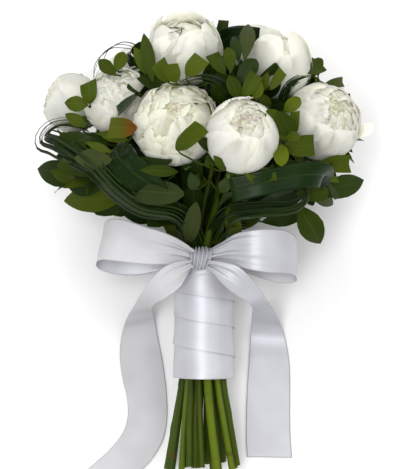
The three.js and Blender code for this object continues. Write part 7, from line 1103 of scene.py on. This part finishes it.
def inner_leaves():
    """Leaves deep between the stems, which make the heart of the bunch dark; the deeper ones are painted darker as
    shade.
    """
    rng = rng_of("inner leaves")
    sprigs = [s for s in DATA["stems"] if s["kind"] == "sprig"]
    ends = [np.array(s["path"][-1]) for s in sprigs]
    made = {}
    blooms = [(np.array(b["c"]), b["r"]) for b in DATA["blooms"]]
    for _ in range(560):
        y = rng.uniform(22, 165)
        half = np.interp(y, [15, 40, 70, 110, 150, 175], [16, 58, 92, 104, 90, 60])
        a = rng.uniform(0, 2 * math.pi)
        k = math.sqrt(rng.uniform(0.02, 1))
        x, z = math.cos(a) * half * k, math.sin(a) * half * k * 0.78
        b = np.array([x, y, z])
        out = unit(np.array([x, rng.uniform(10, 60), z]) + rng.normal(0, 12, 3))
        t = b + out * rng.uniform(26, 46)
        if t[2] < table_z(t[1]) + 3 or b[2] < table_z(b[1]) + 3:
            continue
        if any(np.linalg.norm(q - c) < r + 2 for c, r in blooms for q in (b, (b + t) / 2, t)):
            continue
        n = unit(np.cross(np.cross(out, [x, 0, z + 0.1]), out) + rng.normal(0, 0.3, 3))
        i = int(np.argmin([np.linalg.norm(b - e) for e in ends]))
        # dark: painted shade, more for leaves nearer the middle of the bunch.
        made.setdefault(i, []).append(dict(b=b, m=(b + t) / 2 + n * 2, t=t, n=n, w=rng.uniform(14, 22), tip=str(rng.choice(["p", "r"])), k=str(rng.choice(["D", "D", "M"])), dark=float(np.clip(1.1 - 0.9 * k, 0.2, 1.0))))
    return made


INNER = inner_leaves()


def make_strap(s):
    rng = rng_of(s["name"])
    p = Piece()
    pts = np.array(s["pts"], float)
    n = 84
    path = spline(pts, n)
    k0 = 3 if len(pts) > 5 else 3
    t = unit(np.gradient(path, axis=0))
    centre = np.array([0, 60.0, 0])
    W = np.zeros(n)
    seg = np.concatenate([[0], np.cumsum(np.linalg.norm(np.diff(path, axis=0), axis=1))])
    stations = [int(np.argmin(np.linalg.norm(path - q, axis=1))) for q in pts]
    a, b = seg[stations[2]], seg[stations[4]]
    W = s["w"] * (0.12 + 0.88 * smooth(seg, a, b + 12))
    if s.get("tip") == "taper":
        W = W * np.interp(seg / seg[-1], [0, 0.8, 0.95, 1], [1, 1, 0.7, 0.35])
    nu = 11
    P = np.zeros((nu, n, 3))
    side = None
    for k in range(n):
        out = np.array([0, 0, 1.0]) if s["face"] else unit(path[k] - centre) if k > stations[3] else unit(np.array([path[k][0], 0, path[k][2] + 0.01]))
        h = np.cross(t[k], out)
        if np.linalg.norm(h) < 0.25 and side is not None:
            h = side - t[k] * np.dot(side, t[k])
        h = unit(h)
        if side is not None:
            if np.dot(h, side) < 0:
                h = -h
            h = unit(side * 0.8 + h * 0.2)
            h = unit(h - t[k] * np.dot(h, t[k]))
        side = h
        nn = np.cross(h, t[k])
        for i, u in enumerate(np.linspace(-1, 1, nu)):
            fold = 0.14 * abs(u) + 0.015 * math.sin(seg[k] * 0.13 + u * 2)
            P[i, k] = path[k] + h * u * W[k] / 2 * 0.99 + nn * fold * W[k] / 2
    p.grid(P, 0, 0.0, rng.random())
    ob = p.object(s["name"] + ".blade", [STRAP, STRAP_UNDER], [s["name"]], "strap_leaves")
    thicken(ob, 0.5, 1)


def thicken(ob, mm, back=0, offset=0.0):
    m = ob.modifiers.new("thickness", "SOLIDIFY")
    m.thickness = mm / 1000
    m.offset = offset
    m.material_offset = back
    m.material_offset_rim = 0
    m.use_even_offset = False
    return m


def blade_strand(p, c, r, own, L):
    """One narrow keeled blade along c."""
    n = len(c)
    t = unit(np.gradient(c, axis=0))
    P = np.zeros((4, n, 3))
    for i in range(n):
        out = unit(c[i] - np.array([0, 70.0, 0]))
        h = unit(np.cross(t[i], out))
        nn = np.cross(h, t[i])
        for q, (x, y) in enumerate(((-1, 0.15), (0, -0.35), (1, 0.15), (0, 0.45))):
            P[q, i] = c[i] + h * x * r[i] * 1.25 + nn * y * r[i]
    U = np.repeat(np.array([0.0, 0.5, 1.0, 0.5])[:, None], n, 1)
    V = np.repeat(L[None, :], 4, 0)
    p.grid(P, 0, 0.0, own, wrap=True, uv=(U, V))


GRASS_FAN = {  # strands, and how far they fan out (mm) along the way
    "grass_loop_01": (17, [2.0, 3.0, 7.5, 9.5, 8.5, 8.5, 13.0, 13.5, 6.0]),
    "grass_loop_02": (15, [2.0, 3.0, 7.0, 10.0, 10.5, 9.0, 8.0, 5.0, 3.0]),
    "grass_loop_03": (12, [2.0, 3.0, 4.0, 5.0, 6.5, 6.5, 6.0, 5.0, 2.5]),
    "grass_loop_04": (11, [2.0, 3.0, 4.0, 5.0, 6.0, 6.0, 6.0, 5.0, 3.0]),
}


def make_grass(s):
    rng = rng_of(s["name"])
    p = Piece()
    n = 72
    path = spline(np.array(s["pts"], float), n)
    t = unit(np.gradient(path, axis=0))
    L = np.linspace(0, 1, n)
    strands, fan = GRASS_FAN[s["name"]]
    spread = np.interp(L, np.linspace(0, 1, len(fan)), fan)
    side = np.cross(t, np.array([0.05, 0.05, 1.0]))
    for i in range(1, n):  # keep the fan turning smoothly through the bend
        w = unit(side[i])
        side[i] = unit(side[i - 1] * 0.75 + (w if np.dot(w, side[i - 1]) > 0 else -w) * 0.25)
    for k in range(strands):
        rank = (k + 0.5) / strands * 2 - 1 + rng.normal(0, 0.08)
        deep = rng.normal(0, 0.30)
        cross = rng.normal(0, 0.35)
        ph = rng.uniform(0, 6.28)
        off = side * ((rank * (1 - 0.5 * L) + cross * L + 0.14 * np.sin(5 * L + ph)) * spread)[:, None]
        off[:, 2] += (deep + 0.2 * np.sin(7 * L + ph)) * spread
        off += np.cumsum(rng.normal(0, 0.05, (n, 3)), 0) * 0.5
        c = path + off
        end = rng.uniform(0.86, 1.0)
        c = np.stack([np.interp(L * end, L, c[:, q]) for q in range(3)], 1)
        r = rng.uniform(0.95, 1.45) * np.interp(L, [0, 0.1, 0.85, 1], [0.8, 1, 0.9, 0.25])
        blade_strand(p, c, r, rng.random(), L)
    for way in EXTRA_GRASS.get(s["name"], []):
        base = np.array([from_image(*q) for q in way])
        for k in range(3):
            q = base + rng.normal(0, 1, base.shape) * np.linspace(0.3, 2.6, len(base))[:, None] * np.array([1, 1, 0.6])
            blade_strand(p, spline(q, n), rng.uniform(0.85, 1.25) * np.interp(L, [0, 0.1, 0.85, 1], [0.8, 1, 0.9, 0.25]), rng.random(), L)
    p.object(s["name"] + ".blades", [GRASS], [s["name"]], "grass")


EXTRA_GRASS = {
    "grass_loop_03": [
        [(203, 232, 2), (176, 150, -6), (152, 80, -6), (141, 52, 2), (124, 45, 8), (107, 52, 10), (97, 66, 8), (91, 84, 0)],
        [(203, 232, 2), (182, 150, -6), (158, 84, -6), (147, 50, 20), (158, 31, 48), (172, 27, 62), (181, 29, 66), (172, 33, 70)],
    ],
}


# ------------------------------------------------------------------ ribbon
def strip_grid(edges, nv, nu):
    e = np.array(edges, float)  # stations, 2, 3
    both = np.concatenate([e[:, 0], e[:, 1]], 1)
    mid = (e[:, 0] + e[:, 1]) / 2
    q = spline(np.concatenate([mid, both], 1), nv)[:, 3:]
    A, B = q[:, :3], q[:, 3:]
    u = np.linspace(0, 1, nu)[:, None, None]
    return A[None] * (1 - u) + B[None] * u  # nu, nv, 3


def normals(P):
    du = np.gradient(P, axis=0)
    dv = np.gradient(P, axis=1)
    return unit(np.cross(dv, du))


def finish_ribbon(P, name, cad, thickness=0.35, offset=0.0, front=True):
    p = Piece()
    p.grid(P, 0, 0.0, rng_of(name).random())
    ob = p.object(name, [SATIN, SATIN_BACK], [cad], "satin_ribbon", lift=0.45)
    thicken(ob, thickness, 1 if front else 0, offset)
    return ob


def pleats(P, ends, amp, waves, reach, phase=0.0):
    """Gathers next to the knot: waves across the ribbon that fade away from the given ends."""
    N = normals(P)
    nu, nv = P.shape[:2]
    mid = P[nu // 2]
    s = np.concatenate([[0], np.cumsum(np.linalg.norm(np.diff(mid, axis=0), axis=1))])
    u = np.linspace(0, 1, nu)[:, None]
    w = np.zeros(nv)
    if "start" in ends:
        w = np.maximum(w, np.exp(-((s / reach) ** 1.6)))
    if "end" in ends:
        w = np.maximum(w, np.exp(-(((s[-1] - s) / reach) ** 1.6)))
    d = np.sin(u * waves * 2 * math.pi + phase) * w[None, :] * amp
    return P + N * d[..., None]


KNOT_FOLD = 1.5  # half the depth of the knot's folds


def make_ribbons():
    R = DATA["ribbons"]
    for side, ph in (("left", 0.4), ("right", 2.2)):
        P = strip_grid(R["bow_loop_" + side], 150, 33)
        P = pleats(P, ("start", "end"), 2.7, 2.2, 24, ph)
        P = pleats(P, ("start",), 0.8, 5.0, 34, ph * 2)
        P = pleats(P, ("start", "end"), 0.55, 1.3, 75, ph * 3 + 0.6)
        finish_ribbon(P, "bow_" + side, "bow_loop_" + side)
    for side, ph in (("left", 1.0), ("right", 2.8)):
        P = strip_grid(R["ribbon_tail_" + side], 190, 33)
        P = pleats(P, ("start",), 2.4, 1.8, 22, ph)
        P = pleats(P, ("start",), 0.6, 5.0, 24, ph)
        finish_ribbon(P, "tail_" + side, "ribbon_tail_" + side)
    # the knot: the ribbon's full width drawn together into folds over the middle of the bow
    nu, nv = 97, 72
    c = np.array([-3.4, 0.0, RB + 8.0])
    P = np.zeros((nu, nv, 3))
    kw = [wobble(rng_of("knot", q), 3) for q in range(4)]
    for i, u in enumerate(np.linspace(-1, 1, nu)):
        for j, v in enumerate(np.linspace(0, 1, nv)):
            a = math.radians(-62 + 300 * v)  # from underneath, over the front, to the top and round the back
            round_ = math.sqrt(max(1 - (abs(u) * 0.80) ** 2.4, 0))
            ry, rz = 9.6 * (0.45 + 0.55 * round_), 9.2 * (0.35 + 0.65 * round_)
            pinch = 0.75 + 0.25 * smooth(-math.cos(a), -1.0, 0.6)  # creases are sharper at the top
            fold = pinch * KNOT_FOLD * math.sin(u * 17.5 + 1.2 * kw[0](v * 1.3) + 0.5 * kw[1](u * 1.5)) + 0.35 * kw[2](u * 0.8 + v * 1.4)
            half = 9.8 * (0.80 + 0.20 * math.sin(a)) * (1 + 0.05 * kw[3](v * 2))
            P[i, j] = c + np.array([u * half + 1.2 * kw[3](v * 1.5 + 0.4), -math.cos(a) * (ry + fold), math.sin(a) * (rz + fold)])
    finish_ribbon(P, "knot", "bow_knot", 0.3)
    # the wrap: one ribbon wound up the stems, each turn over the last
    turns, w = 4.75, 40.0
    nv, nu = 440, 23
    P = np.zeros((nu, nv, 3))
    wb = wobble(rng_of("wrap"), 3)
    for j in range(nv):
        s = turns * j / (nv - 1)
        rise = np.interp(s, [0, 0.70, 1.22, 1.47, 1.72, 2.22, 2.72, 3.22, 3.72, 4.47, 4.8], [0, 0.6, 18.5, 26, 32.5, 45.5, 58.0, 69.5, 80.5, 95, 99])
        ang = math.radians(-168) + 2 * math.pi * s
        for i in range(nu):
            k = i / (nu - 1)
            y = -110.0 + rise + w * k
            y = y if y < 4 else 4 + 2.6 * (1 - math.exp(-(y - 4) / 2.6))
            r0 = np.interp(y, [-112, -60, -20, 0, 8], [RB * 1.073 + 0.9, RB * 1.035 + 1.0, RB * 1.01 + 1.0, RB + 1.4, RB + 1.7])
            crease = 0.5 * smooth(y, -30, 0) * math.sin(0.9 * y + 2.0 * math.sin(ang) + 3 * wb(ang * 0.5))
            r = r0 + 0.10 * s + 1.15 * (1 - k) ** 1.3 + 0.38 * wb(2.2 * k + 1.7 * s) + 0.22 * math.sin(7 * k + ang * 2 + 3 * s) + crease
            P[i, j] = [-math.sin(ang) * r, y, math.cos(ang) * r]
    p = Piece()
    p.grid(P, 0, 0.0, 0.3)
    ob = p.object("wrap", [SATIN, SATIN_BACK], ["ribbon_wrap"], "satin_ribbon")
    # the tape that binds the stems, under the ribbon
    p = Piece()
    prof = [(-8, 0.55), (-7.6, 1.1), (-5, 1.2), (-2, 1.2), (-1.2, 1.1), (-0.9, 0.55)]
    G = np.zeros((48, len(prof), 3))
    for i in range(48):
        a = 2 * math.pi * i / 48
        for j, (y, r) in enumerate(prof):
            G[i, j] = [math.cos(a) * (RB + r - 0.4), y, math.sin(a) * (RB + r - 0.4)]
    p.grid(G, 0, 0.0, 0.4, wrap=True)
    p.object("tape", [TAPE], ["binding_tie"], "binding_tape")


for bloom in DATA["blooms"]:
    make_bloom(bloom)
k = 0
for stem in DATA["stems"]:
    if stem["kind"] == "peony":
        make_peony_stem(stem, [b for b in DATA["blooms"] if b["name"] == stem["name"]][0])
    else:
        make_sprig(k, stem)
        k += 1
for strap in DATA["straps"]:
    make_strap(strap)
for g in DATA["grass"]:
    make_grass(g)
make_ribbons()

# ------------------------------------------------------------------ surface, light and camera
me = bpy.data.meshes.new("surface")
S = 6.0
me.from_pydata([(-S, -S, 0), (S, -S, 0), (S, S, 0), (-S, S, 0)], [], [(0, 1, 2, 3)])
floor = bpy.data.objects.new("surface", me)
bpy.context.scene.collection.objects.link(floor)
fm, nt = new_material("pale_surface")
N = Nodes(nt)
grain = N.noise(N.coords(), 900.0, 2.0)
N.out(principled(N, N.mix(grain, (0.93, 0.93, 0.93), (0.95, 0.95, 0.95)), 0.8, None, **{"Specular IOR Level": 0.1}))
me.materials.append(fm)

world = bpy.data.worlds.new("studio")
bpy.context.scene.world = world
world.use_nodes = True
world.node_tree.nodes["Background"].inputs[0].default_value = (1.0, 1.0, 1.0, 1)
world.node_tree.nodes["Background"].inputs[1].default_value = 0.62

target = Vector(to_row([0, 40, 30]))


def area(name, at, size, power, size_y=None, colour=(1, 1, 1)):
    l = bpy.data.lights.new(name, "AREA")
    l.energy = power
    l.shape = "RECTANGLE"
    l.size = size
    l.size_y = size_y or size
    l.color = colour
    o = bpy.data.objects.new(name, l)
    o.location = Vector(to_row(at))
    d = target - o.location
    o.rotation_euler = d.to_track_quat("-Z", "Y").to_euler()
    bpy.context.scene.collection.objects.link(o)
    return o


area("key", (-260, -60, 1660), 0.45, 14.5, 0.85)
area("fill", (900, 300, 1300), 1.2, 5.0)
area("top", (-300, 1500, 900), 1.0, 10.0)

cam_data = bpy.data.cameras.new("camera")
cam_data.sensor_fit = "AUTO"
cam_data.sensor_width = 36
cam_data.lens = 36 * (CAM[2] / SCALE) / 469
cam_data.clip_start, cam_data.clip_end = 0.05, 20
cam = bpy.data.objects.new("camera", cam_data)
bpy.context.scene.collection.objects.link(cam)
o = Vector(to_row(CAM))
x = Vector(to_row([CAM[0] + 1000, CAM[1], CAM[2]])) - o
y = Vector(to_row([CAM[0], CAM[1] + 1000, CAM[2]])) - o
z = Vector(to_row([CAM[0], CAM[1], CAM[2] + 1000])) - o
cam.matrix_world = Matrix(((x.x, y.x, z.x, o.x), (x.y, y.y, z.y, o.y), (x.z, y.z, z.z, o.z), (0, 0, 0, 1)))
bpy.context.scene.camera = cam
bpy.context.scene.view_settings.view_transform = "Standard"
bpy.context.scene.view_settings.look = "None"
bpy.context.scene.view_settings.exposure = 0.0
